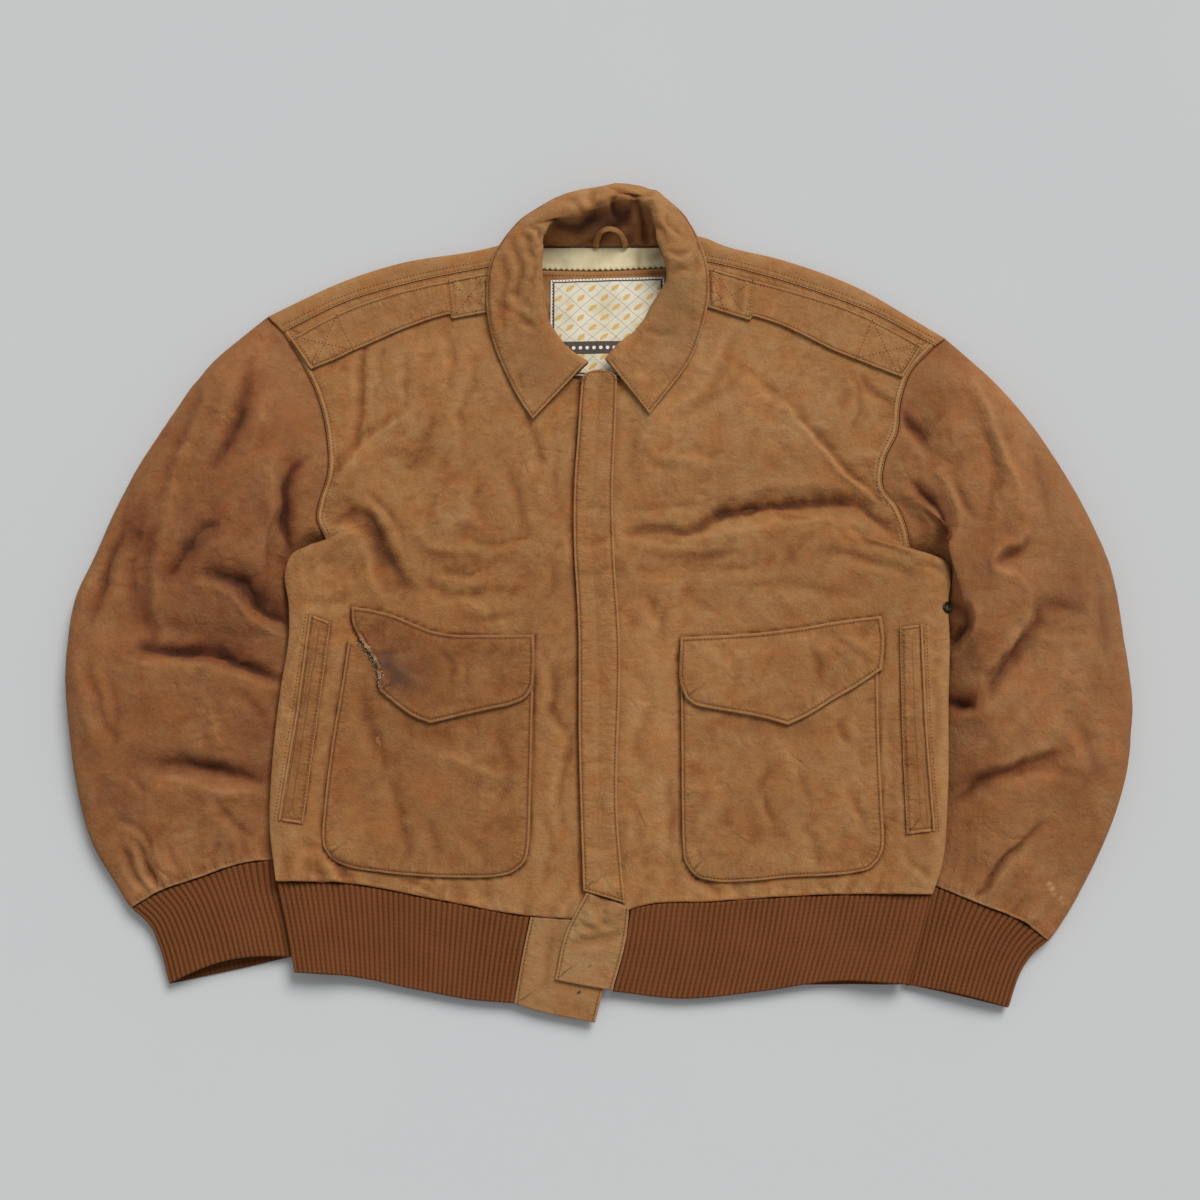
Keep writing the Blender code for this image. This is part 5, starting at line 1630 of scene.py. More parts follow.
# Tints of the fronts, with painted shade along the troughs of their deep folds: above 0 paler, below 0
# darker and redder
BODY_TINTS_AND_SHADES = (
    Swell(170, 82, 80, 9, 5, -0.13),
    Swell(236, 78, 20, 8, -30, -0.14),
    Swell(90, 40, 70, 12, 4, -0.08),
    Swell(180, 40, 60, 16, 0, -0.07),
    Swell(-206, 60, 30, 8, -50, -0.14),
    Swell(-190, 24, 34, 12, -55, -0.12),
    Swell(-170, 130, 30, 16, 60, -0.10),
    Swell(-112, 32, 14, 5, 10, -0.12),
    Swell(-90, 60, 60, 30, -35, -0.05),
    Swell(-120, 20, 90, 22, -10, -0.06),
    Swell(-225, 118, 34, 5, 48, 0.06),
    Swell(-150, -130, 130, 110, 0, -0.11),
    Swell(60, -30, 30, 60, 0, 0.04),
    Swell(-140, 226, 60, 20, 20, 0.06),
    Swell(0, -264, 290, 14, 0, 0.07),
    Swell(-272, -130, 14, 130, -4, 0.10),
    Swell(298, -130, 16, 130, 2, 0.04),
    Swell(45, -120, 26, 110, 0, 0.08),
    Swell(-40, -170, 20, 70, 0, 0.07),
    Swell(60, 185, 40, 40, 20, 0.07),
    Swell(150, 170, 110, 70, -12, 0.075),
    Swell(60, 30, 40, 10, 0, -0.07),
    Swell(44, 0, 22, 12, -20, -0.10),
    Swell(-262, 200, 34, 18, 60, -0.04),
    Swell(0, 255, 330, 60, 0, 0.03),
)
# Tints of the sleeves, with painted shade along the troughs of their deep folds: above 0 paler, below 0
# darker and redder
SLEEVE_TINTS_AND_SHADES = (
    Swell(-360, -50, 44, 8, 0, -0.20),
    Swell(-304, -66, 34, 6, -14, -0.22),
    Swell(-298, -6, 34, 14, -30, -0.22),
    Swell(-279, 70, 8, 56, 0, -0.22),
    Swell(-328, 150, 44, 9, 66, -0.16),
    Swell(-352, 46, 26, 8, 50, -0.18),
    Swell(-432, 30, 44, 7, 68, -0.14),
    Swell(-404, 10, 20, 60, 0, -0.06),
    Swell(-330, -152, 60, 8, -8, -0.16),
    Swell(-300, -120, 16, 40, -20, -0.08),
    Swell(-360, -100, 40, 26, 0, 0.05),
    Swell(-350, -10, 80, 170, 0, -0.13),
    Swell(-345, 0, 60, 60, 0, -0.05),
    Swell(-350, -20, 40, 14, -12, 0.06),
    Swell(-360, -200, 60, 26, 10, 0.05),
    Swell(-400, -262, 26, 14, -40, 0.10),
    Swell(-300, -240, 40, 10, 10, 0.08),
    Swell(316, -36, 16, 16, 40, -0.18),
    Swell(312, -94, 20, 10, 0, -0.24),
    Swell(296, 90, 26, 9, -55, -0.18),
    Swell(284, 158, 24, 7, -55, -0.16),
    Swell(362, 36, 14, 6, 40, -0.18),
    Swell(392, -14, 34, 12, -8, -0.13),
    Swell(352, -62, 34, 6, 52, -0.16),
    Swell(330, 30, 20, 40, 0, -0.07),
    Swell(368, 110, 16, 60, -10, 0.05),
    Swell(372, 200, 30, 20, -50, 0.08),
    Swell(356, 24, 8, 10, 0, 0.14),
    Swell(400, -90, 60, 16, 55, 0.10),
    Swell(330, -158, 44, 8, 26, -0.18),
    Swell(420, -160, 30, 12, 20, -0.10),
    Swell(380, -240, 40, 24, -40, 0.08),
    Swell(330, -268, 40, 8, -24, 0.12),
    Swell(356, 130, 60, 80, -40, 0.06),
    Swell(380, -60, 60, 90, 0, 0.04),
)


def side_roll_share(along: Grid) -> Grid:
    """How far the rolled side has formed: 0 at the armpit and above, 1 lower down."""
    return eased((ARMPIT - along) / ROLL_FORMS)


def front_height(plan: Grid, side_distance: Any, roll_share: Any) -> Grid:
    """The outer height of the fronts and the shoulders, before the side's roll is taken off.

    Args:
        plan: Points on the plan.
        side_distance: Their distance from the rolled side, mm.
        roll_share: How far the side's roll has formed beside them.

    Returns:
        The height for each point, mm.
    """
    towards_hem = eased((plan[..., 1] - HEM_LINE) / HEM_BLEND)
    height = HEM_HEIGHT + (FRONT_HEIGHT - HEM_HEIGHT) * towards_hem
    height = height + swell_height(BODY_SWELLS, plan)
    from_ridge = (side_distance - SIDE_RIDGE_INSET) / SIDE_RIDGE_WIDTH
    return height + SIDE_RISE * roll_share * np.exp(-(from_ridge**2))


def armhole_path(half: HalfOutline) -> Path:
    """The whole armhole from the shoulder fold over the forward seam to the armpit."""
    top = Line([half.shoulder_fold[-1], half.forward_seam[-1]])
    return Path([top, Line(half.armhole)], [FORWARD])


def side_marks(step: float) -> Grid:
    """Shares up a body's edge with close rows at its hem, its armpit and its shoulder.

    Args:
        step: The step away from the seams, mm.

    Returns:
        Rising shares from the hem to the shoulder.
    """
    up_side = ARMPIT * spread(312, step, SEWN_STEPS, PLAIN_STEPS)
    up_armhole = ARMPIT + (1 - ARMPIT) * spread(232, step, PLAIN_STEPS, SEWN_STEPS)
    marks = np.concatenate([up_side, up_armhole[1:]])
    marks = marks[np.abs(marks - NECK_CORNER) > 0.0015]
    return np.sort(np.append(marks, NECK_CORNER))


def sleeve_marks(step: float) -> Grid:
    """Shares around the upper half of an armhole, with one at the forward seam."""
    first = FORWARD * np.linspace(0, 1, max(3, int(34 / step)))
    return np.concatenate([first, np.linspace(FORWARD, 1, max(4, int(228 / step)))[1:]])


def zip_edge(half: HalfOutline) -> Grid:
    """A front's edge beside the zip, from the hem up."""
    return moved_aside(Line(ZIP_LINE).at(np.linspace(0, 1, 30)), -half.sign * ZIP_HALF_WIDTH)


def front_grid(half: HalfOutline, across: Grid, along: Grid) -> Grid:
    """The plan grid of a front: columns from the zip to the side, rows from the hem up.

    Args:
        half: Which half of the outline.
        across: Shares from the zip to the side.
        along: Shares from the hem up.

    Returns:
        Points, rows by columns by two.
    """
    edge = zip_edge(half)
    centre = Path([Line(edge), Line([edge[-1], *half.neckline[1:]])], [NECK_CORNER])
    hem = Line([*half.hem[:-1], edge[0]]).reversed()
    side = Path([Line(half.side).reversed(), Line(half.armhole).reversed()], [ARMPIT])
    return patch(hem, Line(half.forward_seam), centre, side, across, along)


def back_outline() -> tuple[Path, Line, list[Path]]:
    """The back's shoulder edge, its hem, and its two sides with their armholes.

    Returns:
        The shoulder edge, the hem, and a side for the right and the left.
    """
    shoulders = Path(
        [Line(RIGHT.shoulder_fold).reversed(), Line(BACK_NECKLINE), Line(LEFT.shoulder_fold)],
        NECK_SPAN,
    )
    sides = []
    for half in (RIGHT, LEFT):
        lines = [Line(half.side).reversed(), Line(half.armhole).reversed()]
        lines.append(Line([half.forward_seam[-1], half.shoulder_fold[-1]]))
        sides.append(Path(lines, [ARMPIT, 1 - (1 - ARMPIT) * FORWARD]))
    return shoulders, Line(BACK_HEM), sides


@dataclass
class Body:
    """The back, which comes forward over the shoulders, and the two fronts."""

    room: Workroom
    step: float = 2.6
    back_step: float = 6.0
    band_width: float = 5.8  # the turned seam allowance beside each armhole
    seam_rows: tuple = (1.6, 6.4)  # topstitch rows beside a seam

    def build(self) -> None:
        """Makes the back, the fronts and their seam stitches."""
        self.back()
        for name, half in (("front_right", RIGHT), ("front_left", LEFT)):
            self.front(name, half)

    def back(self) -> None:
        """The back's floor side, its shoulder folds and its return to the forward seams."""
        shoulders, bottom, sides = back_outline()
        side = NECK_SPAN[0] * (1 - spread(235, self.back_step, SEWN_STEPS[::2], (0, 2))[::-1])
        neck = np.linspace(NECK_SPAN[0], NECK_SPAN[1], 34)[1:-1]
        across = np.concatenate([side, neck, 1 - side[::-1]])
        along = side_marks(self.back_step)
        plan = patch(bottom, shoulders, *sides, across, along)
        distance = from_sides(plan, FIRST, LAST)
        share = side_roll_share(along)[:, None]
        underside = SIDE_UNDERSIDE * (1 - eased((distance - LIFTED_STRETCH) / LIFTED_BLEND))
        fold = SIDE_FOLD_HEIGHT - SEAM_GAP / 2
        rolled = fold - (fold - underside) * rounded(distance / SIDE_ROLL)
        near_armpit = 1 - eased(np.abs(along[:, None] - ARMPIT) / ARMPIT_REACH)
        lift = 1 - eased((distance - ARMPIT_STRETCH) / LIFTED_BLEND)
        lifted = ARMPIT_UNDERSIDE * near_armpit * lift
        height = lifted + share * (rolled - lifted)
        from_fold = apart(plan, plan[-1:])
        right, left = across <= NECK_SPAN[0] + 1e-9, across >= NECK_SPAN[1] - 1e-9
        shoulder = right | left
        turned = SHOULDER_FOLD_HEIGHT * (1 - rounded(from_fold / SHOULDER_ROLL))
        height = np.maximum(height, np.where(shoulder, turned, 0))
        free = eased(distance / 30) * eased(from_fold / 30) * eased(apart(plan, plan[:1]) / 12)
        crumple = Crumple(11, broad=1.2, lines=1.4, line_size=44, fine=0.25)
        dents = fold_height(BACK_FOLDS, plan) + crumple.at(with_height(plan, 0))
        # Folds of the floor side only press up from it
        height = height + free * np.abs(np.minimum(dents, 0))
        floor_rows = with_height(plan, height)

        outline = plan[-1]
        seam = outline - np.array([0, SHOULDER_ROLL])
        seam[right] = Line(RIGHT.forward_seam).at(1 - across[right] / NECK_SPAN[0])
        seam[left] = Line(LEFT.forward_seam).at((across[left] - NECK_SPAN[1]) / NECK_SPAN[0])
        inwards = outline - seam
        seam = seam + SEAM_GAP * inwards / np.linalg.norm(inwards, axis=1, keepdims=True)
        steps = 1 - spread(27, 2.2, SEWN_STEPS[:9], (0.0, 1.0, 2.2))[-2::-1]
        returned = outline + steps[:, None, None] * (seam - outline)
        from_fold = apart(returned, outline)
        from_seam = apart(returned, seam)
        rise = front_height(returned, FAR, 0.0) - SHOULDER_FOLD_HEIGHT
        height = SHOULDER_FOLD_HEIGHT + rise * rounded(from_fold / SHOULDER_ROLL)
        for row in self.seam_rows:
            height = height + sewn(np.abs(from_seam), row, 0.35, 0.4) * eased(from_fold / 6)
        points = np.concatenate([floor_rows, with_height(returned, height)])
        kept = np.ones((points.shape[0] - 1, points.shape[1] - 1), bool)
        middles = (across[1:] + across[:-1]) / 2
        in_neck = (middles > NECK_SPAN[0]) & (middles < NECK_SPAN[1])
        kept[len(along) - 1 :, in_neck] = False
        level = np.zeros(len(points))
        level[: len(along)] = side_roll_share(along)
        edge = np.concatenate([np.minimum(apart(plan, plan[:1]), distance), from_seam])
        neck_edge = np.where(shoulder, FAR, apart(plan, plan[-1:]))
        edge[: len(along)] = np.minimum(edge[: len(along)], neck_edge)
        # Painted shade, a little darker, where the back lies lowest
        tone = swell_height(BODY_TINTS_AND_SHADES, points) + np.where(points[..., 2] < 6, -0.02, 0.0)
        sheet = Sheet(
            points,
            HIDE,
            facing=-1,
            kept=kept,
            edge=edge,
            level_columns=(0, -1),
            level_share=level,
            tone=tone,
            round_to=HIDE_ROUND,
        )
        # Its height over its surroundings becomes relief, painted as shade where the back lies low and
        # lighter where it rises
        sheet.carve(points[..., 2] * 0.6, reach=12)
        returned_rows = np.arange(len(points)) >= len(along)
        sheet.wear = np.where(returned_rows[:, None], 0.25 * bell(edge - 0.8, 0.9), 0.0)
        sheet.beside, sheet.run = edge, points[..., 0]
        sheet.pucker = puckered(edge, 0.6, 7)
        hide = self.room.piece("back", sheet, FINISH[Look.BODY], "body_suede")
        for half in (RIGHT, LEFT):
            line = Line(half.forward_seam).part(0.03, 0.985)
            seam_line = line.at(np.linspace(0, 1, 60))
            for row in self.seam_rows:
                stitched = moved_aside(seam_line, half.sign * (row + SEAM_GAP))
                self.room.sew("stitches_seams", stitched, ("back",))

    def front(self, name: str, half: HalfOutline) -> None:
        """One front, with its folds, its gathers at the hem and the band beside its armhole.

        Args:
            name: The front's name.
            half: Its half of the outline.
        """
        across = spread(268, self.step, PLAIN_STEPS, SEWN_STEPS)
        along = side_marks(self.step)
        plan = front_grid(half, across, along)
        distance = apart(plan, plan[:, -1:])
        share = side_roll_share(along)[:, None]
        height = front_height(plan, distance, share)
        fold = SIDE_FOLD_HEIGHT + SEAM_GAP / 2
        rolled = fold + (height - fold) * rounded(distance / SIDE_ROLL)
        points = with_height(plan, height + share * (rolled - height))

        armhole = Line(half.armhole)
        aside, around = armhole.near(plan)
        beside, along_armhole = np.abs(aside), around * armhole.length
        from_hem = apart(plan, plan[:1])
        from_zip = apart(plan, plan[:, :1])
        from_seam = apart(plan, plan[-1:])
        edge = np.minimum.reduce([distance, from_hem, from_zip, from_seam])
        free = eased(edge / 10)
        seed = 3 + half.sign
        crumple = Crumple(seed, broad=0.75, lines=0.85, line_size=31, fine=0.5, fine_size=6.0)
        folds = fold_height(BODY_FOLDS, plan)
        detail = free * (folds + crumple.at(points))
        outside = self.applied_edges("right" if half is RIGHT else "left", plan)
        detail -= 0.6 * bell(outside - 1.0, 1.8)
        run = plan[..., 0]
        detail += gathers(run, from_hem, 21 + half.sign, 13, 5.0, 19, hold=1.6)
        eased_in = gathers(along_armhole, np.maximum(beside - 5, 0), 31, 12, 0.5, 9)
        detail += eased_in * (beside < 40)
        detail += gathers(run, from_seam, 37, 11, 0.7, 10)
        above_armpit = eased((along[:, None] - ARMPIT) / 0.02)
        band = eased((beside - 0.2) / 0.9) * (1 - eased((beside - self.band_width) / 0.9))
        grooves = 0.45 * bell(beside - 1.5, 0.6) + 0.55 * bell(beside - self.band_width + 0.6, 0.6)
        detail += above_armpit * (1.0 * band - grooves)
        detail += sewn(from_seam, 1.8, 0.3, 0.3) * above_armpit
        points[..., 2] += detail
        tone = swell_height(BODY_TINTS_AND_SHADES, points) + 0.05 * above_armpit * band
        # Painted shade in the troughs of the folds, and a painted shadow round the pockets, their flaps and
        # the welts
        tone += 0.02 * np.minimum(folds, 0) - 0.26 * bell(outside - 0.7, 1.1)
        # Painted shadow on the right front along the wind flap's free edge
        if half is RIGHT:
            tone -= 0.34 * bell(Line(FLAP_FREE_EDGE).near(plan)[0] - 0.8, 2.0)
        # Painted shade along the forward seam above the armpit, and a painted shadow along the hem above the
        # knit
        tone -= 0.22 * above_armpit * bell(from_seam - 0.2, 0.8) + 0.3 * bell(from_hem - 0.2, 1.1)
        # Painted shade in the two grooves of the band beside the armhole
        groove_shade = bell(beside - 1.5, 0.7) + bell(beside - self.band_width + 0.5, 0.7)
        tone -= 0.22 * above_armpit * groove_shade
        pale_lines = bell(beside - 3.2, 1.2) + bell(beside - self.band_width - 0.6, 0.6)
        wear = 0.25 * above_armpit * pale_lines
        sheet = Sheet(
            points,
            HIDE,
            facing=half.sign,
            edge=edge,
            level_columns=(-1,),
            level_share=side_roll_share(along),
            tone=tone,
            wear=wear,
            round_to=HIDE_ROUND,
        )
        sheet.carve(detail, strength=1.5, reach=16)
        past_band = np.where(above_armpit > 0.5, np.maximum(beside - self.band_width, 0), FAR)
        seams = np.stack([from_hem, from_zip, from_seam, past_band])
        nearest = seams.argmin(axis=0)
        runs = np.stack([run, plan[..., 1], run, along_armhole])
        sheet.beside = seams.min(axis=0)
        sheet.run = np.take_along_axis(runs, nearest[None], axis=0)[0]
        sheet.pucker = puckered(sheet.beside, 0.7, 6)
        sheet.wear = sheet.wear + 0.2 * bell(distance - 3, 6) * share
        if half.sign > 0:
            sheet.soil = 1.6 * bell(np.hypot(plan[..., 0] - 308, plan[..., 1] + 10), 3.0)
        hide = self.room.piece(name, sheet, FINISH[Look.BODY], "body_suede")
        self.sew_beside_welt(name, half)
        for row in (1.6, self.band_width - 0.5):
            line = moved_aside(armhole.at(np.linspace(0.01, 0.985, 90)), -half.sign * row)
            self.room.sew("stitches_seams", line, (name,))

    @staticmethod
    def applied_edges(side: str, plan: Grid) -> Grid:
        """How far plan points lie outside the pocket, its flap or the welt, below 0 under one.

        Args:
            side: "right" or "left".
            plan: Points on the plan.

        Returns:
            The distance for each point, mm.
        """
        first, low, last = (list(points) for points in POCKETS[side])
        flap = POCKET_FLAPS[side]
        welt_low, welt_high = WELTS[side]
        nearest = np.full(plan.shape[:-1], FAR)
        for loop in (
            [*first, *low[1:], *last[-2::-1]],
            [*flap[0], *flap[1][1:], *flap[2][-2::-1], *flap[3][-2::-1]],
            [*welt_low, *welt_high[::-1], welt_low[0]],
        ):
            outside = -Line(loop, 1).near(plan)[0]
            nearest = np.where(np.abs(outside) < np.abs(nearest), outside, nearest)
        return nearest

    def sew_beside_welt(self, name: str, half: HalfOutline) -> None:
        """The stitch row on the front, beside the welt's open side.

        Args:
            name: The front's name.
            half: Its half of the outline.
        """
        low, high = WELTS["right" if half is RIGHT else "left"]
        edge = Line(low if half is RIGHT else high).at(np.linspace(0, 1, 30))
        self.room.sew("stitches_welts", edge + np.array([half.sign * 3.4, 0]), (name,))


# ---------------------------------------------------------------- the sleeves and cuffs

# Folds of the sleeves, placed on the plan
SLEEVE_FOLDS = (
    # The right sleeve: the hollow beside the armhole and the two ledges under the elbow
    Fold(((-262, 128), (-274, 120), (-281, 100), (-281, 66), (-277, 34)), -9.0, 5, 4, 0.0),
    Fold(((-292, 130), (-293, 96), (-290, 62), (-286, 34)), 3.4, 5, 9, 0.0),
    Fold(((-316, 222), (-319, 196), (-322, 176), (-331, 148), (-345, 112)), -4.5, 6, 7, 2.4),
    Fold(((-300, 210), (-303, 176), (-312, 140), (-318, 108)), 3.0, 8, 6, 0.0),
    Fold(((-352, 196), (-358, 168), (-372, 134), (-383, 96), (-384, 60)), 2.8, 8, 5, -1.6),
    Fold(((-336, 63), (-350, 61), (-362, 44), (-372, 26), (-380, 14)), -6.0, 4, 6, 0.0),
    Fold(((-384, 66), (-391, 34), (-393, 4), (-388, -24), (-380, -42)), 4.0, 7, 5, -1.6),
    Fold(((-352, 22), (-332, 16), (-314, 4), (-298, -10), (-280, -22), (-270, -30)), -8.5, 12, 3.5, 0.0),
    Fold(((-362, 12), (-338, 6), (-322, -6), (-306, -21), (-288, -33), (-270, -42)), 5.5, 3.5, 16, 0.0),
    Fold(((-408, -48), (-386, -51), (-360, -51), (-334, -54), (-306, -64), (-272, -76)), -11.0, 10, 3, 0.0),
    Fold(((-418, -58), (-390, -63), (-360, -63), (-330, -68), (-300, -78), (-270, -86)), 5.5, 3, 24, 0.0),
    Fold(((-424, 84), (-430, 50), (-439, 18), (-446, -10), (-448, -34)), -4.2, 5, 6, 2.0),
    Fold(((-404, 96), (-410, 60), (-414, 20), (-408, -16)), -2.4, 5, 8, 1.4),
    Fold(((-450, -46), (-444, -76), (-434, -104), (-418, -136)), -2.6, 4, 7, 1.8),
    Fold(((-430, -66), (-420, -100), (-424, -140)), -1.4, 4, 6, 0.9),
    Fold(((-344, -92), (-336, -114), (-326, -138)), 2.2, 2.5, 5, -1.2),
    Fold(((-318, -84), (-300, -100), (-288, -124)), -1.8, 4, 6, 1.0),
    Fold(((-384, -150), (-360, -152), (-338, -158), (-312, -160), (-286, -168)), -5.5, 9, 3, 0.0),
    Fold(((-392, -160), (-362, -164), (-336, -172), (-304, -174), (-280, -180)), 3.6, 3, 12, 0.0),
    Fold(((-412, -158), (-400, -166), (-392, -176)), -1.6, 2.5, 4, 1.0),
    Fold(((-336, -172), (-326, -190), (-312, -206), (-296, -212)), -2.4, 3, 5, 1.4),
    Fold(((-404, -214), (-396, -228), (-386, -246), (-379, -258)), -5.5, 3, 3, 2.4),
    Fold(((-420, -196), (-404, -200), (-392, -216), (-388, -236)), -2.2, 3, 4, 1.6),
    Fold(((-416, -222), (-404, -240), (-392, -258)), -2.4, 3, 4, 1.4),
    Fold(((-310, -214), (-308, -226), (-306, -236)), -1.6, 2, 3, 1.0),
    Fold(((-330, -216), (-334, -228), (-332, -238)), -1.3, 2, 3, 0.9),
    Fold(((-352, -196), (-338, -190), (-322, -188)), 1.0, 3, 4, -0.7),
    # The left sleeve: the ridge down to the hooked fold, and the hollows beside the body
    Fold(((270, 182), (276, 164), (288, 150), (294, 136)), -4.2, 4, 6, 2.0),
    Fold(((274, 124), (284, 130), (296, 122)), 1.8, 4, 4, -1.0),
    Fold(((276, 108), (288, 94), (299, 80), (306, 66), (309, 46)), -5.5, 4, 5, 2.4),
    Fold(((300, 118), (309, 98), (316, 78), (318, 56), (312, 36)), 3.2, 4, 4, -1.4),
    Fold(((316, 98), (322, 88), (328, 74), (334, 66)), -3.0, 3, 3, 1.2),
    Fold(((336, 64), (344, 72), (350, 88), (352, 108)), -1.8, 3, 5, 1.0),
    Fold(((336, 206), (352, 160), (364, 116), (372, 90), (377, 60)), 4.0, 3.5, 8, 0.0),
    Fold(((326, 200), (341, 158), (352, 118), (358, 86), (362, 60)), -3.0, 6, 7, 0.0),
    Fold(
        ((380, 60), (372, 48), (358, 40), (348, 32), (346, 24), (356, 18), (368, 14), (377, 4)),
        5.0, 3, 5, 0.0,
    ),
    Fold(((380, 50), (370, 37), (358, 32), (352, 29)), -4.2, 3, 3, 0.0),
    Fold(((377, 8), (380, -8), (375, -24), (363, -42), (348, -58), (336, -74), (328, -90)), 5.5, 4, 10, 0.0),
    Fold(((388, -6), (385, -24), (370, -46), (356, -62), (344, -78), (338, -96)), -6.5, 7, 3, 0.0),
    Fold(((388, -8), (406, -12), (428, -16)), -3.0, 4, 6, 1.8),
    Fold(((384, -38), (404, -42), (424, -40)), 1.6, 5, 6, 0.0),
    Fold(((304, -48), (314, -38), (322, -24), (318, -12), (310, -6)), -6.0, 6, 4, 0.0),
    Fold(((316, -4), (328, -10), (332, -26), (322, -46), (308, -62)), 3.4, 4, 4, 0.0),
    Fold(((296, -78), (306, -92), (330, -98)), -10.0, 6, 6, 0.0),
    Fold(((310, -112), (330, -106), (348, -96)), 2.4, 5, 6, 0.0),
    Fold(((338, -132), (366, -112), (388, -90), (410, -64), (430, -38)), 3.0, 14, 8, 0.0),
    Fold(((296, -190), (316, -176), (332, -164), (356, -152), (384, -144), (412, -138)), -5.5, 3, 9, 0.0),
    Fold(((318, -166), (338, -152), (366, -142), (396, -134)), 2.6, 7, 3, 0.0),
    Fold(((340, -160), (372, -152), (408, -156), (424, -164)), -1.8, 3, 6, 1.2),
    Fold(((312, -275), (332, -254), (346, -238), (366, -218), (388, -196)), -5.5, 2.5, 2.5, 0.0),
    Fold(((318, -278), (338, -256), (354, -240), (372, -222)), 2.4, 2.5, 6, 0.0),
    Fold(((322, -262), (328, -270), (334, -276)), -1.5, 2, 3, 0.9),
    Fold(((352, -276), (360, -268), (366, -260)), 1.3, 3, 3, -0.8),
    Fold(((404, -100), (424, -130), (430, -172)), -1.8, 6, 8, 1.2),
    Fold(((436, 40), (444, -10), (441, -60)), -2.0, 6, 7, 1.2),
    Fold(((384, 140), (394, 100), (398, 60)), -1.6, 6, 8, 1.0),
)


# Dark soil on the left sleeve, and pale scratches beside its cuff
LEFT_SLEEVE_GRIME = (Swell(432, 0, 30, 90, 12, 0.2), Swell(408, 150, 40, 30, 55, 0.12))
LEFT_SLEEVE_SCRATCHES = (
    Fold(((384, -251), (390, -256), (393, -262)), 1.0, 0.9, 0.9),
    Fold(((396, -262), (399, -270)), 0.8, 0.7, 0.7),
)


def ring_grid(
    plan: Grid, tuck: Grid, sign: int, crown: Grid, outer_height: Any, tucked_height: Any
) -> Grid:
    """A flattened tube's outer grid from its upper layer's plan.

    Args:
        plan: The upper layer on the plan, from the outer fold to the body's side.
        tuck: How far the inner fold lies under the body, a value for each row.
        sign: Which side of the jacket it is.
        crown: The upper layer's height.
        outer_height: The outer fold's height.
        tucked_height: The height where it slips under the body.

    Returns:
        Points over the top, on to the inner fold and back along the floor.
    """
    inner_edge = plan[:, -1:]
    tuck_steps = np.array([0.2, 0.4, 0.6, 0.78, 0.9, 0.97, 1.0])
    steps = tuck_steps[None, :, None] * tuck[:, None, None]
    tucked = inner_edge + steps * np.array([-sign, 0.0])
    from_outer = apart(plan, plan[:, :1])
    top = outer_height + (crown - outer_height) * rounded(from_outer / SLEEVE_ROLL)
    middle = tucked_height / 2
    from_fold = tuck[:, None] * (1 - tuck_steps[None])
    tucked_top = middle + middle * rounded(from_fold / INNER_FOLD_ROLL)
    upper = np.concatenate([with_height(plan, top), with_height(tucked, tucked_top)], axis=1)

    marks = np.unique(np.concatenate([np.arange(0, plan.shape[1], 2), [1, plan.shape[1] - 1]]))
    under_plan = np.concatenate([plan[:, marks], tucked[:, :-1]], axis=1)[:, 1:]
    from_outer = apart(under_plan, plan[:, :1])
    from_inner = apart(under_plan, tucked[:, -1:])
    under = outer_height * (1 - rounded(from_outer / SLEEVE_UNDER_ROLL))
    under = np.maximum(under, middle * (1 - rounded(from_inner / INNER_FOLD_ROLL)))
    lower = with_height(under_plan, under)[:, ::-1]
    return np.concatenate([upper, lower], axis=1)


def tuck_along(along: Grid) -> Grid:
    """How far the inner fold lies under the body, from the armpit to the cuff's seam."""
    return TUCK_AT_ARMPIT + (TUCK - TUCK_AT_ARMPIT) * eased(along / 0.16)


def tucked_height_along(along: Grid) -> Grid:
    """The height at which the sleeve slips under the body's side."""
    rise = eased((along - 0.06) / 0.2)
    return TUCKED_HEIGHT_AT_ARMPIT + (TUCKED_HEIGHT - TUCKED_HEIGHT_AT_ARMPIT) * rise


def sleeve_plan(half: HalfOutline, across: Grid, along: Grid) -> Grid:
    """The plan grid of a sleeve's upper layer, from a seam's gap outside the armhole.

    Args:
        half: Which half of the outline.
        across: Shares from the outer fold to the body.
        along: Shares from the armhole to the cuff's seam.

    Returns:
        Points, rows by columns by two.
    """
    armhole = moved_aside(armhole_path(half).at(np.linspace(0, 1, 161)), half.sign * SEAM_GAP)
    outer = Line([armhole[0], *half.sleeve_outer[1:]])
    against = Line(half.side).part(0, half.sleeve_side_share)
    against = Line([armhole[-1], *against.points[8:]])
    seam = Line([*half.cuff_seam[:-1], against.at(1.0)])
    top = [np.interp(across, np.linspace(0, 1, 161), axis) for axis in armhole.T]
    return patch(Fixed(np.stack(top, axis=-1)), seam, outer, against, across, along)


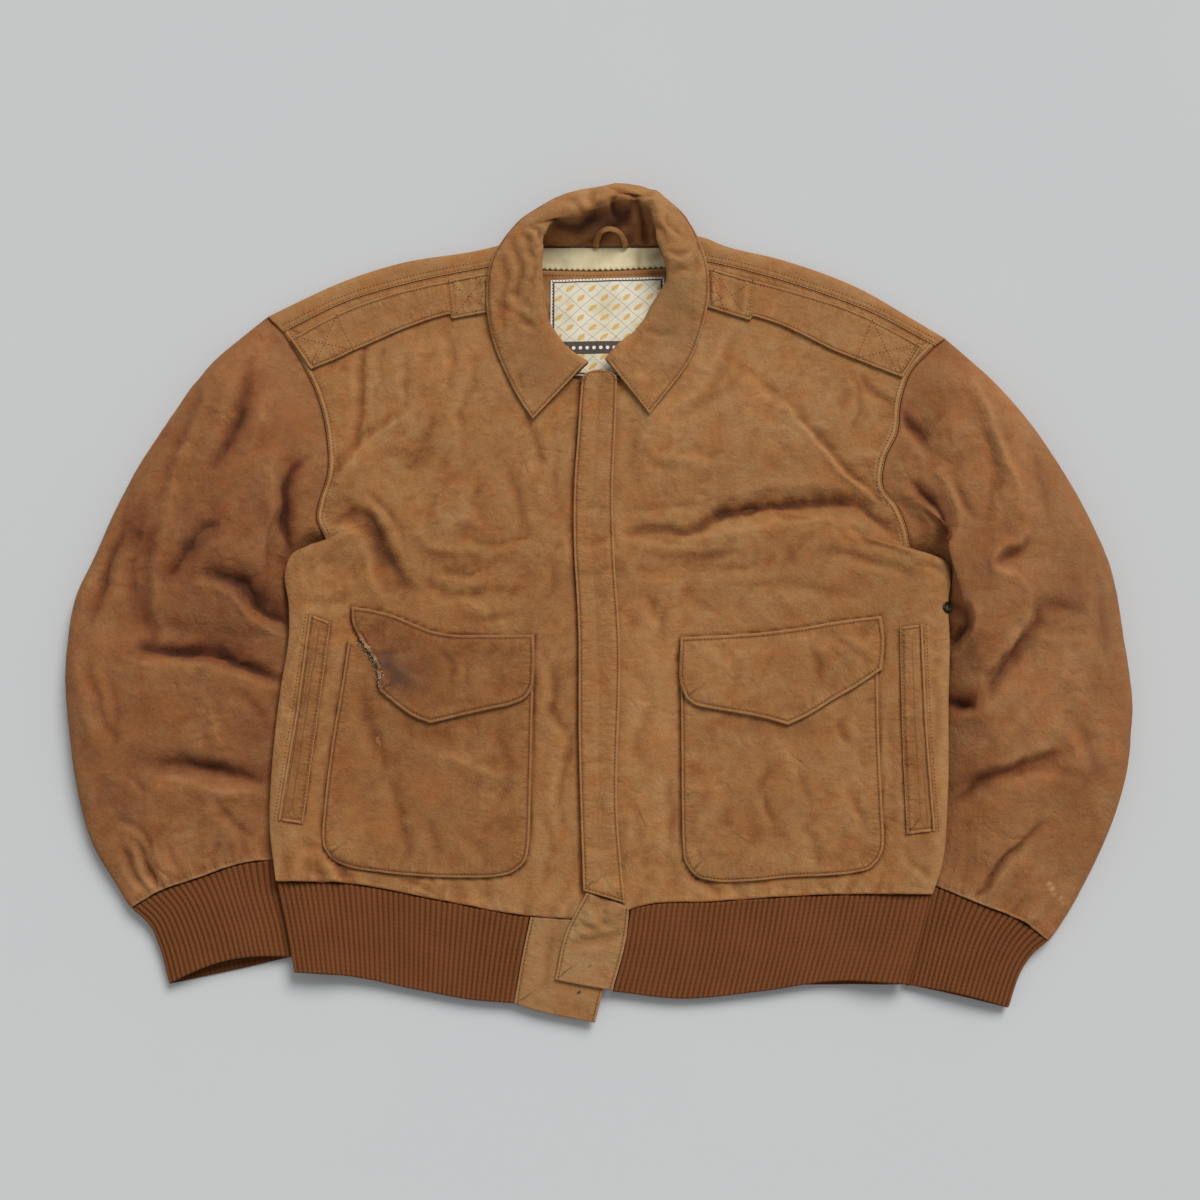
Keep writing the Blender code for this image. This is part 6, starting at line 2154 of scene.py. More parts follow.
@dataclass
class Sleeves:
    """The two sleeves, their deep folds and their gathers at the cuff, and the knit cuffs."""

    room: Workroom
    across_step: float = 2.7
    along_step: float = 2.8
    cuff_step: float = 0.8
    cuff_depth: float = 80.0

    def build(self) -> None:
        """Makes both sleeves and cuffs."""
        for side, half in (("right", RIGHT), ("left", LEFT)):
            self.sleeve(side, half)
            self.cuff(side, half)

    def sleeve(self, side: str, half: HalfOutline) -> None:
        """One sleeve, from its armhole to the cuff's seam.

        Args:
            side: "right" or "left".
            half: Its half of the outline.
        """
        across = sleeve_marks(self.across_step)
        share = spread(470, self.along_step, SEWN_STEPS, SEWN_STEPS)
        plan = sleeve_plan(half, across, share)
        along = share[:, None]
        from_armhole = apart(plan, plan[:1])
        from_seam = apart(plan, plan[-1:])
        from_body = apart(plan, plan[:, -1:])
        from_outer = apart(plan, plan[:, :1])
        low = tucked_height_along(along)
        down = eased((along - FOREARM) / (1 - FOREARM))
        crown = SLEEVE_CROWN + (CUFF_SEAM_HEIGHT - SLEEVE_CROWN) * down
        free = eased(from_armhole / 40) * eased((1 - along) / 0.1)
        crown = crown + free * swell_height(SLEEVE_SWELLS, plan)
        at_armhole = front_height(plan, FAR, 0.0)
        crown = at_armhole + (crown - at_armhole) * eased(from_armhole / SLEEVE_HEAD)
        past_head = eased(along / 0.2)
        low_stretch = LOW_STRETCH_AT_ARMPIT + (LOW_STRETCH - LOW_STRETCH_AT_ARMPIT) * past_head
        crown = low + (crown - low) * np.sin(np.pi / 2 * np.clip(from_body / low_stretch, 0, 1))
        outer_height = SLEEVE_FOLD_HEIGHT - SHOULDER_FOLD_HEIGHT
        outer_height = SHOULDER_FOLD_HEIGHT + outer_height * past_head
        points = ring_grid(plan, tuck_along(share), half.sign, crown, outer_height, low)

        count = plan.shape[1]
        from_head, from_foot = apart(points, points[:1]), apart(points, points[-1:])
        ends = eased(from_armhole / 9) * eased(from_seam / 9)
        detail = np.zeros(points.shape[:2])
        folds = fold_height(SLEEVE_FOLDS, plan)
        folds *= eased(from_outer / 22) * (0.45 + 0.55 * eased(from_body / 14)) * ends
        crumple = Crumple(5 + half.sign, broad=1.6, broad_size=52, lines=1.8, line_size=42, fine=0.5)
        detail[:, :count] = folds
        hidden = np.ones(points.shape[:2])
        hidden[:, :count] = 0.3 + 0.7 * eased(from_outer / 24)
        hidden[:, count:] = 0.3 * eased((points[:, count:, 2] - 1) / 5)
        detail += crumple.at(points) * (eased(from_head / 9) * eased(from_foot / 9)) * hidden
        run = np.broadcast_to(apart(points[-1:], points[-1:, :1]), detail.shape)
        gather = gathers(run, from_foot, 51 + half.sign, 11, 4.2, 20, hold=1.6)
        gather += gathers(run, from_head, 61 + half.sign, 19, 0.9, 14)
        gather += sewn(from_head, 1.5, 0.25, 0.25)
        detail += gather * hidden
        under = np.zeros(points.shape[:2])
        under[:, count + 7 :] = 1.0
        # Painted shade on the underside, in the troughs of the folds, and along the armhole's and the cuff's
        # seams
        tone = swell_height(SLEEVE_TINTS_AND_SHADES, points) - 0.04 * under
        tone[:, :count] += 0.012 * np.minimum(folds, 0)
        tone -= 0.25 * bell(from_head - 0.2, 0.9) + 0.3 * bell(from_foot - 0.2, 0.8)
        edge = np.minimum(from_head, from_foot)
        sheet = Sheet(
            points, HIDE, facing=half.sign, wrap=True, edge=edge, tone=tone, round_to=HIDE_ROUND
        )
        sheet.beside, sheet.run = from_foot, run
        sheet.pucker = puckered(from_foot, 0.8, 9)
        sheet.raise_by(detail, strength=2.6, reach=24)
        dents = fold_height(SLEEVE_FOLDS, points) * under * eased((8 - points[..., 2]) / 6)
        dents *= eased(from_head / 20) * eased(from_foot / 20)
        raised = sheet.points[..., 2] + 0.35 * np.abs(dents)
        sheet.points[..., 2] = np.maximum(raised, LOWEST_OUTER)
        sheet.wear = 0.3 * bell(from_foot - 1.0, 1.2)
        if half.sign > 0:
            sheet.soil = swell_height(LEFT_SLEEVE_GRIME, points)
            sheet.wear = sheet.wear + 1.6 * fold_height(LEFT_SLEEVE_SCRATCHES, points)
        hide = self.room.piece(f"sleeve_{side}", sheet, FINISH[Look.SLEEVE], "sleeve_suede")

    def cuff(self, side: str, half: HalfOutline) -> None:
        """One knit cuff, from a seam's gap below the sleeve to the open mouth.

        Args:
            side: "right" or "left".
            half: Its half of the outline.
        """
        across = sleeve_marks(self.cuff_step * 1.95)
        share = spread(self.cuff_depth, 3.6, KNIT_STEPS, KNIT_STEPS)
        along = share[:, None]
        last = sleeve_plan(half, across, np.array([0.99, 1.0]))[-1]
        seam = moved_aside(last, half.sign * KNIT_SEAM_GAP)
        plan = patch(
            Fixed(seam), Line(half.cuff_mouth), Line([seam[0], *half.cuff_outer[1:]]),
            Line([seam[-1], *half.cuff_inner[1:]]), across, share,
        )
        from_body = apart(plan, plan[:, -1:])
        crown = CUFF_HEIGHT + (CUFF_MOUTH_HEIGHT - CUFF_HEIGHT) * along
        from_low = np.clip(from_body / LOW_STRETCH, 0, 1)
        crown = TUCKED_HEIGHT + (crown - TUCKED_HEIGHT) * np.sin(np.pi / 2 * from_low)
        tuck = TUCK + (TUCK_AT_CUFF_MOUTH - TUCK) * share
        rings = ring_grid(plan, tuck, half.sign, crown, SLEEVE_FOLD_HEIGHT - 2 * along, TUCKED_HEIGHT)
        count = len(across)
        set_back = half.cuff_mouth_set_back * np.sin(np.pi * across)
        rings[:, :count, 1] += along * set_back
        sheet = ribbed(rings, CUFF_KNIT, half.sign, True, 71 + half.sign)
        knit = self.room.piece(f"cuff_{side}", sheet, FINISH[Look.KNIT], "knit")


def ribbed(points: Grid, wall: float, facing: int, wrap: bool, seed: int) -> Sheet:
    """A knit sheet whose ribs run along its columns, crest and groove by length along its rows.

    Args:
        points: Rows along the ribs, columns across them.
        wall: The knit's wall with its crests, mm.
        facing: Which way the grid faces.
        wrap: Whether its last column meets its first.
        seed: The seed of its unevenness.

    Returns:
        The sheet, with the ribs' grooves in its outer wall.
    """
    middle = points[len(points) // 3]
    run = length_along(middle)
    whole = run[-1] + (np.linalg.norm(middle[0] - middle[-1]) if wrap else 0.0)
    ribs = round(whole / RIB_PITCH)
    noise = Noise(seed)
    zero = np.zeros_like(run)
    wander = 0.35 * noise.at(np.stack([run / 26, zero, zero], axis=-1)) * np.sin(np.pi * run / whole)
    phase = (run / whole * ribs + wander) % 1.0
    groove = bell(np.minimum(phase, 1 - phase), 0.17)
    sheet = Sheet(points, wall, facing=facing, wrap=wrap, round_to=KNIT_ROUND)
    edge = np.minimum(apart(points, points[:1]), apart(points, points[-1:]))
    sheet.edge = edge
    soft = Crumple(seed, broad=0.7, broad_size=38, lines=0.35, line_size=34, fine=0.1)
    detail = soft.at(points) * eased(edge / 8) * eased((points[..., 2] - 1.5) / 5)
    sheet.raise_by(detail, strength=2.4, reach=10)
    sheet.inset = np.broadcast_to(0.95 * groove, points.shape[:2])
    # The relief that the knit's colour reads falls in the grooves between the ribs: painted shade
    sheet.relief = 0.5 * sheet.relief + 1 - 2.1 * groove[None]
    rows = edge[:, :1] * 0 + np.cumsum(
        np.concatenate([[0], np.linalg.norm(np.diff(points[:, points.shape[1] // 3], axis=0), axis=1)])
    )[:, None]
    across = np.append(run, whole)
    uv = np.stack(np.broadcast_arrays(across[None], rows), axis=-1) * MM
    sheet.uv = np.array(uv)
    return sheet


# ---------------------------------------------------------------- the waistband


def band_front(half: HalfOutline, across: Grid, step: float) -> Grid:
    """One front stretch of the band: rows from its end tab to the side fold, columns top to hem.

    Args:
        half: Which half of the outline.
        across: Shares from the hem's seam down.
        step: The step along the hem, mm.

    Returns:
        Points with their heights.
    """
    hem = front_grid(half, np.linspace(0, 1, 240), np.array([0, 0.01]))[0]
    order = hem if half.sign > 0 else hem[::-1]
    end_x = half.band_end[0][0]
    start = [end_x, np.interp(end_x, order[:, 0], order[:, 1])]
    hem = np.vstack([[start], hem[half.sign * hem[:, 0] > half.sign * end_x + 1.5]])
    hem = moved_aside(hem, -half.sign * KNIT_SEAM_GAP)
    line = Line(hem, 1)
    marks = np.linspace(0, 1, int(line.length / step))
    hem = line.at(marks)
    plan = patch(
        Line([hem[0], *half.band_end[1:]]), Line([hem[-1], *half.band_side[1:]]),
        Fixed(hem), Line(half.band_bottom).reversed(), across, marks,
    )
    distance = apart(plan, plan[-1:])
    from_ridge = (distance - SIDE_RIDGE_INSET) / SIDE_RIDGE_WIDTH
    height = BAND_HEIGHT + BAND_SIDE_RISE * np.exp(-(from_ridge**2))
    height = BAND_FOLD_HEIGHT + (height - BAND_FOLD_HEIGHT) * rounded(distance / BAND_ROLL)
    return with_height(plan, height)


def band_back(right_fold: Grid, left_fold: Grid, across: Grid, step: float) -> Grid:
    """The back stretch of the band, between its two side folds, along the floor.

    Args:
        right_fold: The right front stretch's row at its side fold.
        left_fold: The left one's.
        across: Shares from the hem's seam down.
        step: The step along the hem, mm.

    Returns:
        Points with their heights, without the two folds.
    """
    line = Line(BACK_HEM)
    marks = np.linspace(0, 1, int(line.length / step))
    top = line.at(marks)
    top[1:-1, 1] -= KNIT_SEAM_GAP
    top[0], top[-1] = right_fold[0, :2], left_fold[0, :2]
    plan = patch(
        Fixed(top), Line(BACK_BAND_BOTTOM), Fixed(right_fold[:, :2]), Fixed(left_fold[:, :2]),
        marks, across,
    )
    plan = np.swapaxes(plan, 0, 1)
    distance = from_sides(plan, BOTTOM, TOP)
    underside = BAND_UNDERSIDE * (1 - eased((distance - LIFTED_STRETCH) / LIFTED_BLEND))
    height = BAND_FOLD_HEIGHT - (BAND_FOLD_HEIGHT - underside) * rounded(distance / BAND_ROLL)
    return with_height(plan, height)[1:-1]


BAND_TINTS = (Swell(-60, -310, 40, 60, 80, -0.06), Swell(200, -300, 60, 40, 0, 0.04))


@dataclass
class Waistband:
    """The knit waistband, from one end tab round to the other."""

    room: Workroom
    depth: float = 76.0
    step: float = 0.92
    back_step: float = 1.3

    def build(self) -> None:
        """Makes the band."""
        across = spread(self.depth, 4.2, KNIT_STEPS, KNIT_STEPS)
        right, left = band_front(RIGHT, across, self.step), band_front(LEFT, across, self.step)
        behind = band_back(right[-1], left[-1], across, self.back_step)
        around = np.concatenate([right, behind, left[::-1]])
        sheet = ribbed(np.swapaxes(around, 0, 1), KNIT, 1, False, 81)
        sheet.tone = swell_height(BAND_TINTS, sheet.points)
        knit = self.room.piece("waistband", sheet, FINISH[Look.KNIT], "knit")


# ---------------------------------------------------------------- cut pieces on the fronts

POCKETS = {
    "right": (
        ((-223, -41), (-228, -80), (-236, -140), (-240, -185), (-241, -211), (-239.5, -221), (-235, -228.5)),
        (
            (-235, -228.5), (-229, -233.5), (-219, -237.5), (-190, -242.5), (-160, -245.5),
            (-120, -247), (-90, -246), (-78, -243.5), (-68, -237),
        ),
        ((-58, -41), (-59, -95), (-60, -160), (-61, -205), (-62, -222), (-64, -231), (-68, -237)),
    ),
    "left": (
        ((71, -45), (71, -120), (71, -190), (71.5, -218), (73, -232), (78, -241)),
        (
            (78, -241), (84, -246.5), (95, -249.5), (130, -250), (160, -247),
            (200, -245), (222, -242.5), (234, -239), (241, -232),
        ),
        ((246, -42), (245, -110), (246, -190), (246.5, -212), (245.5, -223), (241, -232)),
    ),
}
POCKET_FLAPS = {
    "right": (
        ((-221, -9), (-220, -24), (-212, -39), (-204, -50), (-198, -60), (-196, -72), (-195, -84)),
        (
            (-195, -84), (-180, -96.5), (-165, -107), (-149, -113.5), (-122, -107),
            (-96, -101), (-76, -96.5), (-65, -91), (-58, -80),
        ),
        ((-58, -34), (-57, -56), (-58, -80)),
        (
            (-221, -9), (-200, -12), (-182, -17), (-165, -24),
            (-150, -30), (-135, -33), (-100, -34), (-58, -34),
        ),
    ),
    "left": (
        ((71, -36), (69.5, -58), (70, -78), (75, -91)),
        (
            (75, -91), (82, -96.5), (95, -100), (118, -104), (144, -109),
            (165, -115), (184, -106), (206, -92.5), (226, -81), (249, -66),
        ),
        ((250, -17), (252, -40), (249, -66)),
        ((71, -36), (110, -34), (145, -31.5), (180, -27), (215, -21), (250, -17)),
    ),
}
FLAP_TIPS = {"right": 3, "left": 5}  # which point of the lower edge is the tip
WELTS = {
    "right": (((-279, -198), (-267, -110), (-257, -17)), ((-257, -201), (-247, -110), (-238, -24))),
    "left": (((265, -210), (264, -120), (265, -28)), ((290, -207), (286, -120), (285, -26))),
}

FLAP_FREE_EDGE = ((-15, -258), (-19, -130), (-20, -20), (-24, 55), (-24, 90), (-20, 160), (-17, 206))
EPAULETTES = {
    "right": (
        ((-284, 240), (-264, 252), (-238, 266), (-200, 281), (-164, 291), (-130, 298), (-99, 304)),
        ((-264, 211), (-247, 218), (-220, 231), (-183, 246), (-147, 256), (-130, 260), (-99, 266)),
    ),
    "left": (
        ((98, 309), (138, 298), (184, 284), (228, 269), (272, 247), (295, 233)),
        ((99, 270), (138, 257), (174, 246), (210, 230), (246, 215), (276, 203)),
    ),
}


@dataclass
class Applied:
    """A cut piece laid on others, with stitched edges and crumples, wear, and tints and painted shades of
    its own.
    """

    room: Workroom
    name: str
    plan: Grid
    wall: float
    carriers: tuple
    flat: tuple
    stitched: tuple = ("bottom", "top", "first", "last")
    row: float = TOPSTITCH
    otherwise: float = 0.0
    ease: int = 2
    crumple: Crumple = Crumple(9, broad=0.25, lines=0.5, line_size=24, fine=0.2)
    folds: tuple = ()
    tints_and_shades: tuple = ()
    tone: float = 0.0
    extra: Any = 0.0
    pucker: float = 0.4
    puff: float = 0.3
    edge_wear: float = 0.26
    soil: Any = 0.0
    stain: Any = 0.0
    wear: Any = 0.0

    def boundary(self) -> Line:
        """The cut edge, counter-clockwise.

        Returns:
            The closed line.
        """
        plan = self.plan
        loop = [plan[0], plan[1:, -1], plan[-1, -2::-1], plan[-2:0:-1, 0], plan[:1, 0]]
        return Line(np.concatenate(loop), 1)

    def sides(self) -> dict[str, Grid]:
        """The four sides, each running counter-clockwise.

        Returns:
            The four chains of points, by name.
        """
        plan = self.plan
        return {"bottom": plan[0], "last": plan[:, -1], "top": plan[-1, ::-1], "first": plan[::-1, 0]}

    def build(self) -> None:
        """Makes the piece and its stitches."""
        points = self.room.laid(self.plan, self.carriers, self.wall, self.otherwise, self.ease)
        boundary = self.boundary()
        edge, share = boundary.near(self.plan)
        edge = np.abs(edge)
        beside = np.full(edge.shape, FAR) if self.stitched else edge + FAR
        for side in self.stitched:
            line = self.sides()[side]
            every = max(1, len(line) // 40)
            line = np.vstack([line[:-1:every], line[-1:]])
            beside = np.minimum(beside, np.abs(Line(line, 1).near(self.plan)[0]))
        crumples = self.crumple.at(points) * eased(edge / 9)
        detail = fold_height(self.folds, self.plan) + crumples + self.extra
        detail = detail + sewn(beside, self.row, self.puff, 0.3)
        run = share * boundary.length
        seed = 100 + sum(map(ord, self.name)) % 97
        detail = detail + gathers(run, np.maximum(beside - self.row, 0), seed, 5.5, self.pucker, 7.0)
        points[..., 2] += detail
        # Painted shade along the sunk stitch row
        tone = swell_height(self.tints_and_shades, self.plan) + self.tone - 0.2 * bell(beside - self.row, 0.8)
        inside_row = bell(beside - 0.6 * self.row, 0.4 * self.row)
        wear = self.edge_wear * (0.7 * bell(edge - 0.9, 0.7) + 0.3 * inside_row)
        sheet = Sheet(
            points,
            self.wall,
            edge=edge,
            tone=tone,
            wear=wear + self.wear,
            soil=self.soil,
            stain=self.stain,
            run=run,
            beside=beside,
            pucker=puckered(beside, 0.9, 8, self.row),
        )
        sheet.carve(detail, strength=1.4, reach=16)
        hide = self.room.piece(self.name, sheet, FINISH[Look.BODY], "body_suede")
        for side in self.stitched:
            line = moved_aside(self.sides()[side], self.row)
            inside = np.abs(boundary.near(line)[0]) > self.row - 0.3
            if inside.sum() > 4:
                self.room.sew(f"stitches_{self.name}", line[inside], (self.name,))


def quilt(lines: tuple, carriers: Any, room: Workroom, group: str) -> None:
    """Sews straight rows between pairs of plan points.

    Args:
        lines: Pairs of plan points.
        carriers: Names of the pieces that the rows lie on.
        room: The workroom that sews them.
        group: The thread's name.
    """
    for a, b in lines:
        a, b = np.array(a, float), np.array(b, float)
        room.sew(group, np.linspace(a, b, 8), carriers)


@dataclass
class Closure:
    """The wind flap over the zip, and the end tabs below it."""

    room: Workroom
    flap_width: float = 36.0
    flap_length: float = 466.0
    corner: float = 5.5  # how far the flap's upper corners are cut back
    hole: tuple = (-18, -344)  # in the lower tab
    specks: tuple = ((-9, -321), (0, -318), (-14, -311))  # on the upper one

    def build(self) -> None:
        """Makes the flap and both tabs, and dresses the zip's tape underneath."""
        free_edge = Line(FLAP_FREE_EDGE)
        seam = ((22, -269), (16, -200), (18, -40), (13, 45), (12, 90), (15, 170), (16, 206))
        low_end = Line([(-15, -258), (22, -269)])
        high_end = Line([(-17, 206), (-10, 210), (8, 210.5), (16, 206)])
        across, along = spread(self.flap_width, 2.2), spread(self.flap_length, 2.6)
        plan = patch(low_end, high_end, free_edge, Line(seam), across, along)
        # The top corners are rounded
        for column in (0, -1):
            drop = self.corner * (1 - rounded(apart(plan, plan[:, column][:, None]) / 6))
            near_top = eased(1 - apart(plan, plan[-1:]) / 14)
            plan[..., 1] -= drop * near_top
        folds = (
            Fold(((-22, 80), (-10, 84), (10, 80)), -0.9, 3, 4, 0.5),
            Fold(((-24, 52), (-8, 50), (12, 58)), -1.1, 3, 4, 0.6),
            Fold(((-20, 24), (-6, 20), (14, 26)), -0.9, 3, 4, 0.5),
            Fold(((-18, -70), (0, -76), (16, -70)), -0.6, 3, 5, 0.4),
            Fold(((-18, -150), (-2, -146), (16, -152)), -0.7, 3, 4, 0.4),
            Fold(((-16, -214), (-4, -220), (16, -212)), -0.8, 3, 4, 0.5),
            Fold(((-12, 190), (-4, 120), (-6, 40)), 0.7, 7, 7, 0.0),
        )
        tints_and_shades = (
            Swell(0, 60, 18, 30, 0, -0.05),
            Swell(0, -240, 20, 26, 0, 0.08),
            Swell(-4, 150, 14, 60, 0, 0.05),
        )
        # The seam's lower corner lifts over the tabs
        lifted = 2.6 * bell(plan[..., 1] + 256, 9) * eased((plan[..., 0] + 16) / 20)
        Applied(
            self.room,
            "wind_flap",
            plan,
            DOUBLED_HIDE,
            ("front_right", "front_left"),
            (0.04, 0.47),
            otherwise=FRONT_HEIGHT - 1.5,
            folds=folds,
            extra=lifted,
            pucker=0.55,
            ease=4,
            tints_and_shades=tints_and_shades,
        ).build()
        self.tabs()
        tape = frame_node("front_zip")
        tape.data.materials.clear()
        tape.data.materials.append(FINISH[Look.ZIP_TAPE])

    def tabs(self) -> None:
        """The right tab ends the band, and the left one lies over it."""
        end = moved_aside(np.array(RIGHT.band_end, float), SEAM_GAP)
        above = front_grid(RIGHT, np.linspace(0, 1, 240), np.array([0, 0.01]))[0, ::-1]
        start = np.linspace(-60.5, -6, 8)
        hem = np.stack([start, np.interp(start, *above.T) - SEAM_GAP - 0.1], axis=-1)
        hem = np.vstack([hem, [(17, -287.4)]])
        end[0] = hem[0]
        low_end = Line([end[-1], (-51, -360), (-26, -365), (-4, -369)])
        free_end = Line([(-4, -369), (3, -342), (12, -310), hem[-1]])
        sides = (Line(end).reversed(), free_end)
        plan = patch(low_end, Line([end[0], *hem[1:]]), *sides, spread(78, 2.4), spread(80, 2.4))
        soft = Crumple(15, broad=0.35, lines=0.45, line_size=22, fine=0.2)
        crease = Fold(((-40, -284), (-45, -318), (-51, -358)), -1.3, 3, 5, 0.7)
        folds = (crease, Fold(((-36, -300), (-40, -330), (-42, -356)), 0.9, 6, 8, 0.0))
        base = LOWER_TAB_TOP - DOUBLED_HIDE - LAY_GAP
        from_hole = apart(plan, np.array(self.hole))
        hole = 1.5 * bell(from_hole, 1.3)
        tints_and_shades = (
            Swell(-52, -320, 12, 36, 10, 0.06),
            Swell(-20, -300, 20, 30, 0, -0.10),
            Swell(-30, -362, 30, 6, -8, -0.08),
        )
        Applied(
            self.room,
            "end_tab_right",
            plan,
            DOUBLED_HIDE,
            (),
            (0.085, 0.085),
            stitched=("first", "last"),
            otherwise=base,
            crumple=soft,
            folds=folds,
            tone=0.1,
            wear=0.35 * bell(from_hole, 2.2),
            soil=0.2,
            stain=hole,
            extra=-0.5 * hole,
            tints_and_shades=tints_and_shades,
        ).build()
        low_end = Line([(-39, -333), (-14, -338), (11, -342)])
        high_end = Line([(-12, -259), (8, -265.5), (26, -272)])
        first = Line([(-39, -333), (-30, -294), (-12, -259)])
        last = Line([(11, -342), (22, -302), (26, -272)])
        plan = patch(low_end, high_end, first, last, spread(52, 2.2), spread(80, 2.2))
        folds = (
            Fold(((-26, -304), (-8, -298), (20, -292)), -1.7, 3, 6, 1.2),
            Fold(((-20, -284), (-4, -290), (8, -282)), -1.3, 3, 4, 0.8),
            Fold(((-6, -266), (2, -280), (14, -286)), -1.4, 3, 4, 1.0),
            Fold(((-30, -318), (-10, -322), (12, -318)), 0.8, 5, 7, 0.0),
        )
        specks = sum(bell(apart(plan, np.array(speck)), 1.1) for speck in self.specks)
        Applied(
            self.room,
            "end_tab_left",
            plan,
            DOUBLED_HIDE,
            ("end_tab_right", "waistband", "front_right", "front_left", "wind_flap"),
            (0.055, 0.085),
            stitched=("first", "last"),
            otherwise=LOWER_TAB_TOP - 0.6,
            ease=5,
            crumple=soft,
            folds=folds,
            tone=0.15,
            soil=0.22,
            stain=0.9 * specks,
            # The first tint is painted shade along the crease across the tab
            tints_and_shades=(Swell(0, -296, 24, 5, 14, -0.12), Swell(-10, -325, 18, 12, 0, 0.05)),
        ).build()


def frame_node(name: str) -> bpy.types.Object:
    """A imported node's own object.

    Args:
        name: The node's name.

    Returns:
        The object.
    """
    return bpy.data.objects[name]


# The dark stain inside the right flap's torn edge
FLAP_STAIN = (
    Swell(-188, -58, 11, 9, 60, 0.95),
    Swell(-178, -74, 13, 12, 50, 0.8),
    Swell(-168, -66, 10, 20, 0, 0.3),
)


